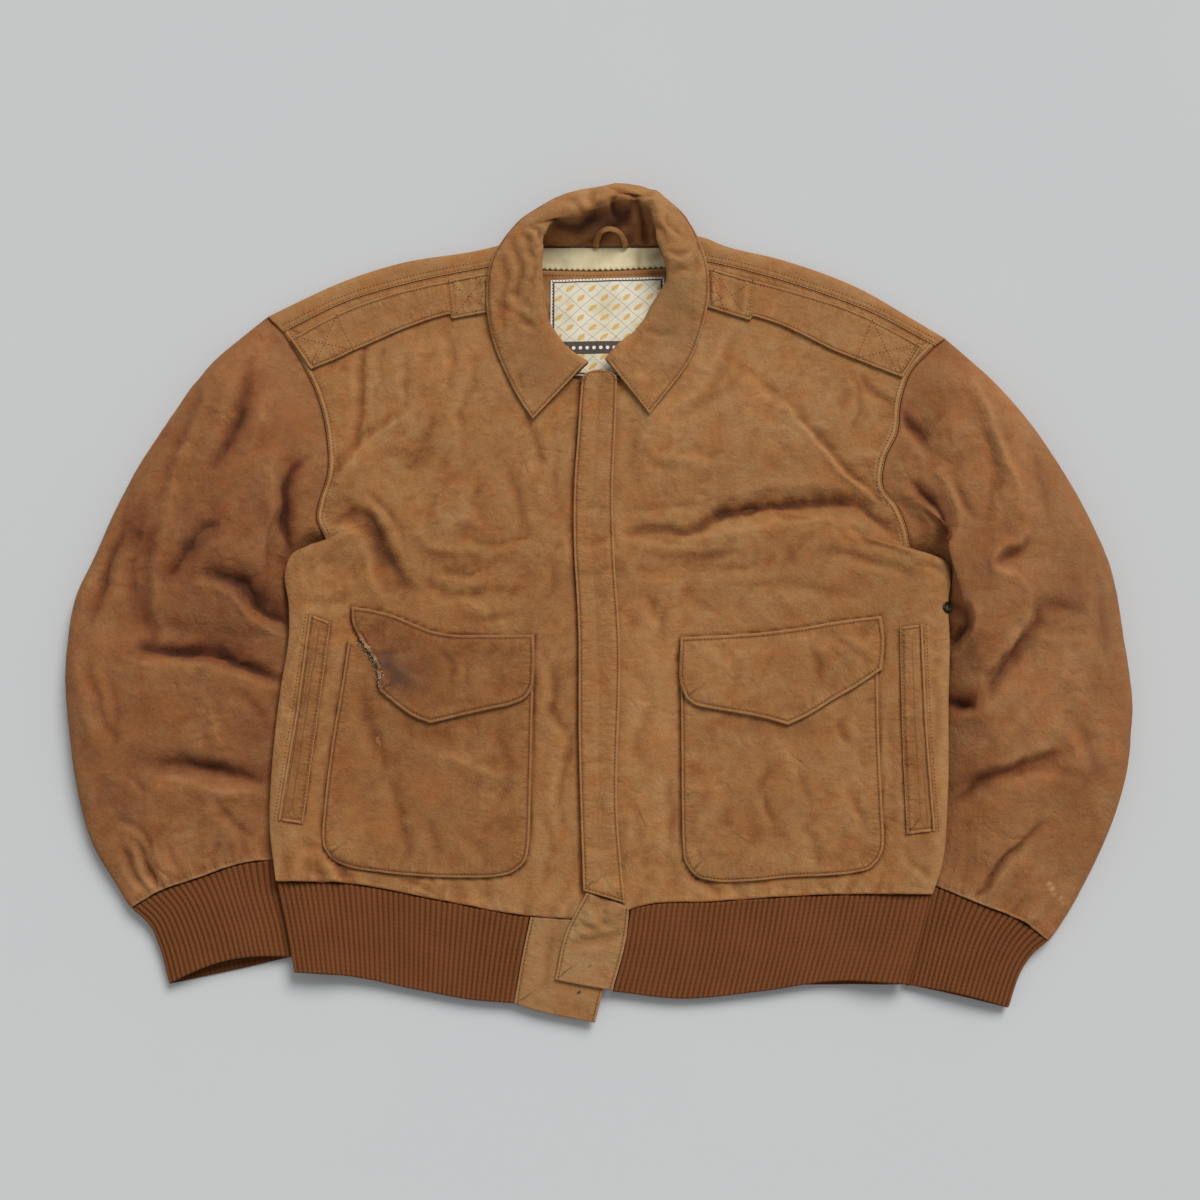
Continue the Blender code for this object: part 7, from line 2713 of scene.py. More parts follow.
@dataclass
class Pockets:
    """The two patch pockets, their pointed flaps and the slanted hand-warmer welts."""

    room: Workroom
    width: float = 176.0
    depth: float = 196.0
    flap_width: float = 184.0
    flap_depth: float = 62.0
    flap_row: float = 3.6
    welt_length: float = 184.0
    welt_width: float = 20.5
    # The torn stretch of the right flap's edge, and how many fibres hang from it
    tear: tuple = ((-214, -40), (-206, -49), (-199, -58), (-196, -70), (-195, -82))
    fibres: int = 46

    def build(self) -> None:
        """Makes all six pieces."""
        for side in ("right", "left"):
            self.pocket(side)
            self.flap(side)
            self.welt(side)

    def pocket(self, side: str) -> None:
        """A patch pocket, stitched down on three sides.

        Args:
            side: "right" or "left".
        """
        first, bottom, last = POCKETS[side]
        sides = (Line(first).reversed(), Line(last).reversed())
        top = Line([first[0], last[0]])
        plan = patch(Line(bottom), top, *sides, spread(self.width, 2.7), spread(self.depth, 2.7))
        folds = {
            "right": (
                Fold(((-207, -78), (-201, -108), (-195, -130), (-184, -158)), -1.8, 4, 7, 0.9),
                Fold(((-184, -158), (-172, -200), (-165, -232)), -1.6, 5, 6, 0.9),
                Fold(((-178, -122), (-142, -140), (-104, -154), (-68, -166)), 1.3, 3, 6, -0.5),
                Fold(((-150, -196), (-143, -216), (-140, -240)), -1.2, 4, 5, 0.7),
                Fold(((-120, -210), (-104, -226), (-96, -240)), -0.8, 4, 4, 0.5),
                Fold(((-90, -120), (-80, -150), (-84, -190)), -1.0, 5, 7, 0.6),
            ),
            "left": (
                Fold(((143, -176), (146, -190), (152, -202)), -1.8, 3, 4, 0.9),
                Fold(((214, -168), (226, -190), (236, -216)), -1.6, 3, 4, 0.8),
                Fold(((208, -110), (215, -124), (222, -136)), -1.6, 3, 3, 0.8),
                Fold(((100, -130), (112, -170), (104, -220)), -1.2, 6, 8, 0.6),
                Fold(((152, -148), (144, -164), (138, -178)), -1.4, 3, 5, 0.7),
                Fold(((172, -150), (178, -166), (184, -180)), -1.4, 3, 5, 0.7),
                Fold(((178, -198), (186, -220), (192, -242)), -1.3, 5, 6, 0.8),
                Fold(((150, -120), (166, -140), (172, -170)), 1.2, 5, 8, -0.5),
            ),
        }[side]
        # Tints of the pockets, with a painted shadow just below each flap's lower edge
        tints_and_shades = {
            "right": (
                Swell(-150, -110, 70, 16, -6, -0.10),
                Swell(-172, -168, 40, 8, -62, -0.08),
                Swell(-210, -210, 30, 26, 0, 0.04),
                Swell(-120, -160, 46, 26, -20, 0.04),
            ),
            "left": (
                Swell(156, -116, 74, 9, 0, -0.10),
                Swell(130, -200, 40, 26, 10, -0.05),
                Swell(200, -170, 30, 40, 0, 0.05),
            ),
        }[side]
        seed = 17 + len(side)
        Applied(
            self.room,
            f"pocket_{side}",
            plan,
            POCKET_HIDE,
            (f"front_{side}",),
            (0.19, 0.21),
            stitched=("bottom", "first", "last"),
            folds=folds,
            tints_and_shades=tints_and_shades,
            pucker=0.6,
            tone=-0.10 if side == "right" else -0.02,
            crumple=Crumple(seed, broad=0.5, lines=1.0, line_size=32, fine=0.42, fine_size=7.0),
        ).build()

    def flap(self, side: str) -> None:
        """A pocket flap. The right one's outer edge is torn, frayed and stained.

        Args:
            side: "right" or "left".
        """
        first, low, last, top = POCKET_FLAPS[side]
        tip = FLAP_TIPS[side]
        before, after = Line(low[: tip + 1]), Line(low[tip:])
        share = before.length / (before.length + after.length)
        across = np.sort(np.append(spread(self.flap_width, 2.4), share))
        lower = Path([before, after], [share])
        sides = (Line(first).reversed(), Line(last).reversed())
        plan = patch(lower, Line(top), *sides, across, spread(self.flap_depth, 2.2))
        settings: dict[str, Any] = {"tone": -0.02}
        folds: tuple = (
            Fold(((110, -44), (120, -70), (112, -98)), -1.0, 5, 6, 0.5),
            Fold(((182, -40), (190, -56), (196, -86)), -1.8, 4, 6, 0.8),
            Fold(((204, -34), (224, -46), (242, -60)), -1.5, 3, 4, 0.7),
            Fold(((172, -36), (196, -50), (214, -62)), 1.2, 5, 6, 0.0),
            Fold(((80, -50), (92, -64), (90, -84)), 0.6, 5, 5, 0.0),
        )
        tints_and_shades: tuple = (Swell(110, -60, 30, 18, 0, 0.06), Swell(200, -50, 30, 14, 30, -0.06))
        if side == "right":
            torn_line = Line(self.tear)
            aside, share = torn_line.near(plan)
            torn = bell(aside, 3.2) * (share * (1 - share) > 0.0)
            ragged = Noise(91).at(with_height(plan[..., ::-1] / np.array([2.1, 9]), 0.0))
            plan[..., 0] += 2.2 * ragged * bell(aside, 2.4)
            stain_at = swell_height(FLAP_STAIN, plan)
            settings = {
                "tone": -0.13,
                "extra": 1.1 * torn * (0.6 + 0.8 * ragged),
                "stain": 0.7 * stain_at + 0.7 * bell(aside, 1.6),
                "wear": 0.8 * torn * (ragged > 0.1),
            }
            folds = (
                Fold(((-206, -50), (-190, -52), (-166, -44)), -1.0, 3, 4, 0.8),
                Fold(((-186, -60), (-172, -70), (-150, -78)), 0.9, 4, 5, -0.4),
                Fold(((-146, -40), (-132, -62), (-136, -98)), -0.9, 4, 6, 0.6),
                Fold(((-120, -52), (-116, -70), (-122, -88)), -0.7, 3, 4, 0.5),
                Fold(((-96, -50), (-84, -66), (-78, -84)), 0.6, 5, 6, 0.0),
            )
            tints_and_shades = (
                Swell(-190, -40, 30, 16, -30, -0.14),
                Swell(-150, -70, 14, 22, 0, -0.12),
                Swell(-110, -64, 34, 16, 0, 0.03),
                Swell(-130, -40, 60, 8, -8, -0.06),
            )
        seed = 27 + len(side)
        Applied(
            self.room,
            f"pocket_flap_{side}",
            plan,
            DOUBLED_HIDE,
            (f"front_{side}", f"pocket_{side}"),
            (0.19, 0.1),
            row=self.flap_row,
            folds=folds,
            tints_and_shades=tints_and_shades,
            ease=6,
            pucker=0.45,
            crumple=Crumple(seed, broad=0.5, lines=0.9, line_size=28, fine=0.38, fine_size=7.0),
            **settings,
        ).build()
        if side == "right":
            self.fray()

    def fray(self) -> None:
        """Loose pale fibres along the torn edge."""
        rng = np.random.default_rng(5)
        line = Line(self.tear)
        strands = []
        for share in np.sort(rng.uniform(0.04, 0.96, self.fibres)):
            start = line.at(share) + rng.normal(0, 0.9, 2)
            heading = rng.uniform(0, 2 * np.pi)
            length = rng.uniform(3.0, 8.5)
            turn = rng.normal(0, 1.3)
            points = []
            for t in np.linspace(0, 1, 7):
                angle = heading + turn * t * 1.8
                start = start + length / 7 * np.array([math.cos(angle), math.sin(angle)])
                points.append([*start, 0.7 * math.sin(np.pi * t) * rng.uniform(0.4, 1.6)])
            points = np.array(points)
            base = self.room.top(points, ("pocket_flap_right", "pocket_right", "front_right"))
            points[:, 2] += base + 0.2
            strands.append(points)
        self.room.seams["frayed_threads"] = strands

    def welt(self, side: str) -> None:
        """A hand-warmer welt: a stitched frame round a strip, with its opening along one edge.

        Args:
            side: "right" or "left".
        """
        low, high = (Line(points) for points in WELTS[side])
        along, across = spread(self.welt_length, 2.6), spread(self.welt_width, 1.1)
        a, b = low.at(along), high.at(along)
        plan = a[:, None] + across[None, :, None] * (b - a)[:, None]
        width = apart(plan, plan[:, :1])
        beside_high = apart(plan, plan[:, -1:])
        from_ends = from_sides(plan, BOTTOM, TOP)
        open_side = width if side == "right" else beside_high
        rim = np.minimum.reduce([width, beside_high, from_ends])
        inside = eased((rim - 2.4) / 0.8)
        inner = eased((from_ends - 5) / 3)
        slit = 1.7 * bell(open_side - 2.9, 0.7) + 0.8 * inner * bell(open_side - 6.2, 0.7)
        frame = 0.9 * bell(rim - 2.9, 0.6)
        # The stain mark here is painted shade in the slit, the inner groove and the frame's groove; the tone
        # below is painted shade on the sunk strip inside the frame
        stain = 0.5 * bell(open_side - 2.9, 0.7) + 0.2 * bell(rim - 2.9, 0.6)
        stain += 0.2 * inner * bell(open_side - 6.2, 0.6)
        tints_and_shades = {
            "right": (),
            "left": (Swell(275, -60, 8, 60, 0, 0.07), Swell(275, -150, 8, 30, 0, -0.09)),
        }[side]
        Applied(
            self.room,
            f"welt_{side}",
            plan,
            POCKET_HIDE,
            (f"front_{side}",),
            (0.024, 0.187),
            row=1.5,
            extra=-0.35 * inside - slit - frame,
            pucker=0.3,
            edge_wear=0.3,
            stitched=("last",) if side == "right" else ("first",),
            stain=stain,
            crumple=Crumple(33, broad=0.3, lines=0.5, line_size=16, fine=0.25),
            tone=(-0.13 if side == "right" else -0.04) * inside,
            tints_and_shades=tints_and_shades,
        ).build()


# ---------------------------------------------------------------- the shoulders


@dataclass
class Epaulettes:
    """The shoulder straps, with their crossed box at the sleeve and their pleated box at the neck."""

    room: Workroom
    length: float = 200.0
    width: float = 41.0
    narrowing: float = 6.0

    def build(self) -> None:
        """Makes both straps and their boxes' stitches."""
        for side, (upper, lower) in EPAULETTES.items():
            sign = -1 if side == "right" else 1
            steps = spread(self.length, 2.2)
            top, bottom = Line(upper).at(steps), Line(lower).at(steps)
            share = steps if side == "right" else 1 - steps
            # The strap narrows towards the neck, and steps out to its full width at the box
            narrow = self.narrowing * eased((share - 0.3) / 0.45) * (1 - eased((share - 0.765) / 0.02))
            bottom = bottom + narrow[:, None] * np.array([-0.25 * sign, 0.97])
            up = spread(self.width, 2.2)[:, None, None]
            plan = bottom[None] + up * (top - bottom)[None]
            from_neck = (1 - share)[None] * 196
            rise = np.linspace(0, 1, plan.shape[0])[:, None]
            run, up = np.broadcast_arrays(share[None] * self.length, 14 * rise)
            pleats = gathers(run, up, 43 + sign, 7.0, 3.4, 60)
            pleats = pleats * eased((from_neck - 2) / 4) * (1 - eased((from_neck - 38) / 6))
            box_edge = -0.7 * bell(from_neck - 43, 1.0)
            uneven = 0.3 * Noise(53).at(with_height(plan / 9, 0.0))
            crossed = (1 - eased((share[None] * 196 - 46) / 4)) * uneven
            Applied(
                self.room,
                f"epaulette_{side}",
                plan,
                EPAULETTE_HIDE,
                (f"front_{side}", "back"),
                (0.21, 0.042),
                extra=pleats + box_edge + crossed,
                ease=5,
                pucker=0.35,
                otherwise=9.0,
                tone=0.02,
                crumple=Crumple(41 + sign, broad=0.4, lines=0.5, fine=0.22),
                tints_and_shades=(Swell(sign * 250, 235, 40, 14, 0, 0.05),),
            ).build()
            self.boxes(side, plan, share)

    def boxes(self, side: str, plan: Grid, share: Grid) -> None:
        """The stitched boxes at a strap's two ends.

        Args:
            side: "right" or "left".
            plan: The strap's grid.
            share: For each column, its share from the sleeve to the neck.
        """
        name = f"epaulette_{side}"

        def spot(along: float, up: float) -> Grid:
            """A point on the strap, from the sleeve's end to the neck and from its lower edge up.

            Args:
                along: The share from the sleeve to the neck.
                up: The share from the lower edge up.

            Returns:
                The plan point.
            """
            column = int(np.argmin(np.abs(share - along)))
            return plan[int(round(up * (len(plan) - 1))), column]

        near, far = 0.025, 0.24
        crossed = (
            (spot(far, 0.1), spot(far, 0.9)), (spot(near, 0.1), spot(far, 0.9)),
            (spot(near, 0.9), spot(far, 0.1)), (spot(near, 0.1), spot(near, 0.9)),
        )
        near, far = 0.79, 0.97
        pleated = (
            (spot(near, 0.06), spot(near, 0.92)), (spot(near, 0.06), spot(far, 0.9)),
            (spot(near, 0.9), spot(0.88, 0.5)), (spot(near, 0.84), spot(far, 0.84)),
            (spot(0.91, 0.1), spot(far, 0.6)),
        )
        quilt(crossed + pleated, (name,), self.room, f"stitches_{name}")


# ---------------------------------------------------------------- the collar and the neck


class CollarStation(NamedTuple):
    """One section of the collar: its neck seam, the top of its roll and its free edge."""

    neck: tuple  # x, y, height
    roll: tuple
    edge: tuple


COLLAR = (
    CollarStation((-22, 206.2, 11.6), (-10, 218, 19.5), (-61, 163, 17)),
    CollarStation((-38, 215.5, 11.6), (-24, 227, 20.5), (-73, 181, 17)),
    CollarStation((-53, 233, 11.6), (-38, 243, 21.5), (-86, 206, 17)),
    CollarStation((-62.5, 258.3, 11.6), (-48, 262, 23.5), (-98, 236, 17)),
    CollarStation((-68.5, 290, 11), (-52, 290, 27), (-105, 275, 19)),
    CollarStation((-70, 317, 9), (-53, 316, 31), (-100, 316, 18)),
    CollarStation((-63.5, 333, 4.4), (-47, 341, 35), (-80, 349, 8)),
    CollarStation((-36, 334, 2.8), (-20, 348, 37), (-47, 376, 3.2)),
    CollarStation((0, 334, 2.4), (2, 358, 38), (-6, 389, 3.2)),
    CollarStation((24, 334, 2.4), (26, 366, 37), (30, 392, 3.2)),
    CollarStation((50, 334.5, 3.6), (43, 362, 36), (62, 378, 3.4)),
    CollarStation((67, 334, 5), (50, 345, 34), (84, 353, 8)),
    CollarStation((75, 317, 9), (54, 322, 32), (97, 320, 18)),
    CollarStation((68.5, 289, 11), (61, 299, 27), (101, 288, 18.5)),
    CollarStation((59.5, 263, 11.6), (46, 271, 24), (96, 256, 17)),
    CollarStation((50.5, 243.5, 11.6), (35, 251, 22), (82, 218, 17)),
    CollarStation((34, 222, 11.6), (18, 235, 20.5), (62, 190, 17)),
    CollarStation((17, 208, 11.6), (4, 221, 19.5), (45, 168, 17)),
)
COLLAR_ROLL = 3.0
COLLAR_FOLDS = (
    Fold(((-62, 346), (-46, 347), (-30, 344), (-16, 346), (-6, 354), (0, 366)), -5.0, 3, 4, 2.0),
    Fold(((8, 382), (20, 373), (34, 369), (50, 372)), -3.4, 3, 3, 1.6),
    Fold(((26, 374), (36, 360), (42, 344), (46, 328)), -3.6, 3, 4, 1.6),
    Fold(((-8, 334), (10, 346), (24, 356), (32, 368)), -3.4, 3, 4, 2.0),
    Fold(((-34, 330), (-14, 336), (8, 338)), -1.8, 3, 4, 1.0),
    Fold(((-4, 384), (-8, 372), (-4, 356)), -2.4, 3, 4, 1.2),
    Fold(((18, 374), (12, 362), (20, 350)), -2.6, 3, 3, 1.2),
    Fold(((-26, 372), (-20, 360), (-14, 352)), -1.8, 3, 4, 1.0),
    Fold(((-66, 346), (-57, 336), (-52, 322)), -3.0, 3, 3, 1.6),
    Fold(((-74, 336), (-64, 328), (-60, 318)), -2.0, 3, 3, 1.0),
    Fold(((60, 354), (64, 342), (74, 334)), -2.4, 3, 3, 1.4),
    Fold(((50, 344), (58, 334), (60, 322)), -2.0, 3, 3, 1.0),
)
LEAF_FOLDS = (
    Fold(((-92, 272), (-76, 263), (-60, 250)), -2.2, 2.5, 3, 1.2),
    Fold(((-82, 262), (-68, 252), (-56, 248)), -1.8, 2, 3, 1.0),
    Fold(((-88, 284), (-72, 276), (-62, 262)), -1.4, 3, 4, 0.8),
    Fold(((-94, 318), (-86, 290), (-88, 262), (-86, 236)), -2.0, 4, 5, 1.2),
    Fold(((-82, 330), (-73, 304), (-76, 276), (-70, 262)), -2.3, 3, 4, 1.4),
    Fold(((-68, 332), (-60, 308), (-63, 284)), -1.8, 3, 4, 1.0),
    Fold(((-102, 300), (-98, 262), (-90, 222)), -0.9, 4, 5, 0.6),
    Fold(((38, 250), (54, 243), (70, 242)), -1.5, 2, 3, 0.8),
    Fold(((64, 294), (74, 302), (86, 300)), -2.2, 3, 3, 1.2),
    Fold(((60, 322), (72, 316), (84, 320)), -2.0, 3, 3, 1.0),
    Fold(((54, 308), (60, 296), (58, 280)), -1.4, 3, 4, 0.8),
    Fold(((90, 334), (90, 306), (84, 276)), -1.4, 5, 6, 0.8),
    Fold(((78, 270), (86, 254), (80, 232)), -1.0, 4, 5, 0.6),
    Fold(((-60, 214), (-72, 202), (-68, 184)), -1.2, 4, 4, 0.6),
    Fold(((30, 220), (44, 206), (50, 186)), -0.9, 5, 6, 0.5),
)


# The collar's tints, with painted shade in the creases of its roll, its dark spills and the dirt on its
# leaves
COLLAR_TINTS_AND_SHADES = (
    Swell(-60, 200, 40, 30, -50, 0.06),
    Swell(60, 210, 40, 26, 50, 0.04),
    Swell(72, 290, 20, 40, 0, 0.02),
    Swell(-20, 352, 34, 6, 0, -0.24),
    Swell(14, 362, 24, 8, 20, -0.20),
    Swell(30, 350, 10, 24, 20, -0.10),
    Swell(-30, 370, 30, 10, 20, 0.02),
    Swell(-76, 260, 40, 90, 10, -0.07),
)
COLLAR_STAINS = (Swell(8, 352, 26, 7, 14, 1.0), Swell(-34, 346, 22, 4, 0, 0.8))
COLLAR_SOIL = (Swell(70, 270, 24, 60, 10, 0.8), Swell(-62, 210, 30, 22, -50, 0.5))


@dataclass
class Collar:
    """The turned-down collar: its stand, its roll and its two pointed leaves."""

    room: Workroom
    steps: int = 13  # rows between two stations
    row_step: float = 2.4  # how far apart they are, mm
    leaf_from: float = 34.0  # the length from the neck's seam at which a leaf may lie on the fronts
    sewn_from: float = 36.0  # and from which its edges are topstitched

    def grid(self) -> tuple[Grid, Grid]:
        """The visible face: rows along the neck, columns from its seam over the roll to its edge.

        Returns:
            The points, and for each column its length from the neck's seam.
        """
        neck, roll, edge = (
            smooth_curve([getattr(s, key) for s in COLLAR], self.steps) for key in ("neck", "roll", "edge")
        )
        # Close rows at the two front edges
        keep = np.arange(len(neck), dtype=float)
        extra = [0.12, 0.3, 0.55]
        keep = np.sort(np.concatenate([keep, extra, len(neck) - 1 - np.array(extra)]))
        neck, roll, edge = (
            np.stack([np.interp(keep, np.arange(len(line)), axis) for axis in line.T], axis=-1)
            for line in (neck, roll, edge)
        )
        out = edge - roll
        out[:, 2] = 0
        out /= np.linalg.norm(out, axis=1, keepdims=True)
        up = np.array([0, 0, 1.0])
        turn_in = roll - 1.7 * COLLAR_ROLL * up + 0.3 * COLLAR_ROLL * out
        nose = roll - 0.8 * COLLAR_ROLL * up
        top = roll + COLLAR_ROLL * out
        profile = [neck, neck + 0.5 * (turn_in - neck), turn_in, nose, top]
        for t in (0.35, 0.68, 0.94, 1.0):
            point = top + t * (edge - top)
            point[:, 2] = edge[:, 2] + (roll[:, 2] - edge[:, 2]) * math.sqrt(1 - t * t)
            profile.append(point)
        rows = len(neck)
        flat = np.stack(profile).reshape(len(profile), rows * 3)
        dense = smooth_curve(flat, 10)
        cubes = dense.reshape(len(dense), rows, 3)
        lengths = np.linalg.norm(np.diff(cubes, axis=0), axis=2).mean(axis=1)
        run = np.concatenate([[0], np.cumsum(lengths)])
        marks = spread(run[-1], 1.9, (0, 0.6, 1.4, 2.4), SEWN_STEPS) * run[-1]
        columns = np.stack([np.interp(marks, run, column) for column in dense.T], axis=-1)
        return np.swapaxes(columns.reshape(len(marks), rows, 3), 0, 1), marks

    def build(self) -> None:
        """Makes the collar and the stitches inside its edge."""
        grid, marks = self.grid()
        fall = marks > self.leaf_from
        under = ("front_right", "front_left", "back")
        carriers = (*under, "epaulette_right", "epaulette_left", "wind_flap")
        lowest = self.room.top(grid[:, fall], carriers) + LAY_GAP + HIDE
        lowest = np.maximum(lowest, blurred(lowest, 6))
        grid[:, fall, 2] = np.maximum(grid[:, fall, 2], lowest)
        cut = np.concatenate([grid[0], grid[1:, -1], grid[-1, -2::-1]])
        free = marks > self.sewn_from
        outer = np.concatenate([grid[0][free], grid[1:-1, -1], grid[-1][free][::-1]])
        every = np.vstack([outer[::2], outer[-1:]])
        on_fall = free[None]
        beside = np.abs(Line(every[:, :2], 1).near(grid)[0])
        beside = np.where(on_fall, beside, FAR)
        edge = from_sides(grid, BOTTOM, TOP, FIRST, LAST)
        sheet = Sheet(grid, HIDE, facing=-1, edge=edge)
        soft = Crumple(63, broad=0.7, broad_size=30, lines=1.1, line_size=27, fine=0.3)
        detail = soft.at(grid) * eased(edge / 8)
        detail += fold_height(COLLAR_FOLDS, grid) * eased(edge / 3) * eased((grid[..., 1] - 318) / 14)
        detail += fold_height(LEAF_FOLDS, grid) * eased((marks - 22) / 8)[None] * eased(edge / 4)
        across = np.broadcast_to(marks[None], edge.shape)
        run = np.broadcast_to(np.arange(len(grid))[:, None] * self.row_step, edge.shape)
        detail += gathers(run, across, 67, 9, 1.3, 12)
        detail += sewn(beside, TOPSTITCH, 0.4, 0.45)
        sheet.raise_by(detail, strength=1.4, reach=14)
        sheet.points[:, fall, 2] = np.maximum(sheet.points[:, fall, 2], lowest - 0.1)
        stand = 1 - eased((marks - 18) / 10)[None]
        at_back = eased((grid[..., 1] - 325) / 20)
        # Painted shade on the stand at the back, under the roll, and along the sunk stitch row
        dark = 0.2 * stand * at_back + 0.2 * bell(beside - TOPSTITCH, 0.9)
        sheet.tone = swell_height(COLLAR_TINTS_AND_SHADES, grid) + 0.05 - dark
        sheet.run, sheet.beside = run, beside
        sheet.pucker = puckered(beside, 0.7, 8, TOPSTITCH)
        sheet.stain = 0.45 * swell_height(COLLAR_STAINS, grid)
        sheet.soil = 0.4 * swell_height(COLLAR_SOIL, grid)
        sheet.wear = 0.3 * bell(edge - 0.9, 0.7) * on_fall + 0.1 * bell(marks - 27, 6)[None]
        hide = self.room.piece("collar", sheet, FINISH[Look.BODY], "body_suede")
        line = Line(outer[:, :2], 1).at(np.linspace(0, 1, 700))
        inner = moved_aside(line, -TOPSTITCH if self.turns_right(outer) else TOPSTITCH)
        far = np.abs(Line(cut[:, :2][::2], 1).near(inner)[0]) > TOPSTITCH - 0.35
        for stretch in np.split(np.arange(len(inner)), np.nonzero(~far)[0]):
            stretch = stretch[far[stretch]]
            if len(stretch) > 6:
                self.room.sew("stitches_collar", inner[stretch], ("collar",))

    @staticmethod
    def turns_right(line: Grid) -> bool:
        """Whether the collar's middle lies to the right of its outer line.

        Args:
            line: The outer line's points, in order.

        Returns:
            True if it does.
        """
        a, b = line[len(line) // 2, :2], line[len(line) // 2 + 3, :2]
        centre = np.array([0.0, 300.0])
        return float((b - a)[0] * (centre - a)[1] - (b - a)[1] * (centre - a)[0]) < 0


TAPE_SOIL = (
    Swell(36, 322, 4, 12, 0, 1.0),
    Swell(54, 326, 8, 5, 30, 1.1),
    Swell(0, 321, 14, 5, 10, 0.4),
    Swell(-30, 318, 12, 4, 0, 0.3),
)


@dataclass
class Neck:
    """What shows inside the neck: the facing, the label and the pinked tape."""

    room: Workroom
    pink_pitch: float = 5.2
    pink_depth: float = 2.0

    def build(self) -> None:
        """Makes the three pieces."""
        plan = patch(
            Line([(-40, 216), (-14, 196), (12, 196), (42, 216)]),
            Line([(-62, 311), (0, 310), (66, 313)]),
            Line([(-40, 216), (-60, 250), (-62, 311)]),
            Line([(42, 216), (64, 252), (66, 313)]),
            spread(124, 3.4, PLAIN_STEPS, PLAIN_STEPS),
            spread(112, 3.4, PLAIN_STEPS, PLAIN_STEPS),
        )
        Applied(
            self.room,
            "neck_facing",
            plan,
            FACING_HIDE,
            ("back",),
            (0.13, 0.12),
            stitched=("top",),
            row=4.5,
            crumple=Crumple(73, broad=0.5, lines=0.5, line_size=26, fine=0.15),
            tone=0.04,
            edge_wear=0.2,
        ).build()
        plan = patch(
            Line([(-46, 208), (60, 208)]),
            Line([(-46, 301), (60, 304)]),
            Line([(-46, 208), (-46, 301)]),
            Line([(60, 208), (60, 304)]),
            spread(106, 2.6, PLAIN_STEPS, PLAIN_STEPS),
            spread(94, 2.6, PLAIN_STEPS, PLAIN_STEPS),
        )
        points = self.room.laid(plan, ("back", "neck_facing"), LABEL)
        points[..., 2] += 0.5 * Crumple(75, broad=0.5, lines=0.4, fine=0.05).at(points)
        label = Sheet(points, LABEL, round_to=TAPE_ROUND)
        label.uv = self.unit_uv(points)
        satin = self.room.piece("neck_label", label, FINISH[Look.LABEL], "label")
        self.tape()
        for line in (plan[3:-3, 3], plan[-3, 3:-3], plan[3:-3, -4]):
            self.room.sew("stitches_label", line, ("neck_label",))

    @staticmethod
    def unit_uv(points: Grid) -> Grid:
        """UVs from 0 to 1 across and up a piece, by its own columns and rows.

        Args:
            points: The piece's grid.

        Returns:
            A pair for each corner of its cells.
        """
        across, along = length_along(points[0]), length_along(points[:, 0])
        across = np.append(across / across[-1], 1.0)
        return np.stack(np.meshgrid(across, along / along[-1]), axis=-1)

    def tape(self) -> None:
        """The tape over the neck's seam, its lower edge cut with pinking shears."""
        steps = np.linspace(0, 1, 170)
        low = Line([(-62, 311.8), (0, 310.8), (66, 313.8)])
        high = Line([(-55, 333), (55, 333)])
        bottom, top = low.at(steps), high.at(steps)
        phase = (bottom[:, 0] / self.pink_pitch) % 1.0
        bottom[:, 1] += self.pink_depth * np.abs(2 * phase - 1) - 0.6
        rise = spread(21, 2.0, PLAIN_STEPS, PLAIN_STEPS)
        plan = bottom[None] + rise[:, None, None] * (top - bottom)[None]
        points = self.room.laid(plan, ("back",), TAPE)
        soft = Crumple(77, broad=0.7, broad_size=26, lines=0.6, line_size=18, fine=0.1)
        points[..., 2] += 0.5 * soft.at(points)
        sheet = Sheet(points, TAPE, round_to=TAPE_ROUND)
        at_edge = 0.9 * bell(apart(plan, plan[:1]) - 0.5, 1.3)
        sheet.soil = swell_height(TAPE_SOIL, plan) + at_edge
        twill = self.room.piece("neck_tape", sheet, FINISH[Look.TAPE], "neck_tape")


# ---------------------------------------------------------------- the loop, the eyelet and the thread

HANGER_RADIUS = 1.8
HANGER_LOOP = (
    (-4, 332.8, 5.8), (-3, 337, 10.2), (1, 343, 17), (8, 345, 19.5), (16, 343.5, 17.5), (22, 338, 11.2),
    (24, 332.8, 5.8),
)


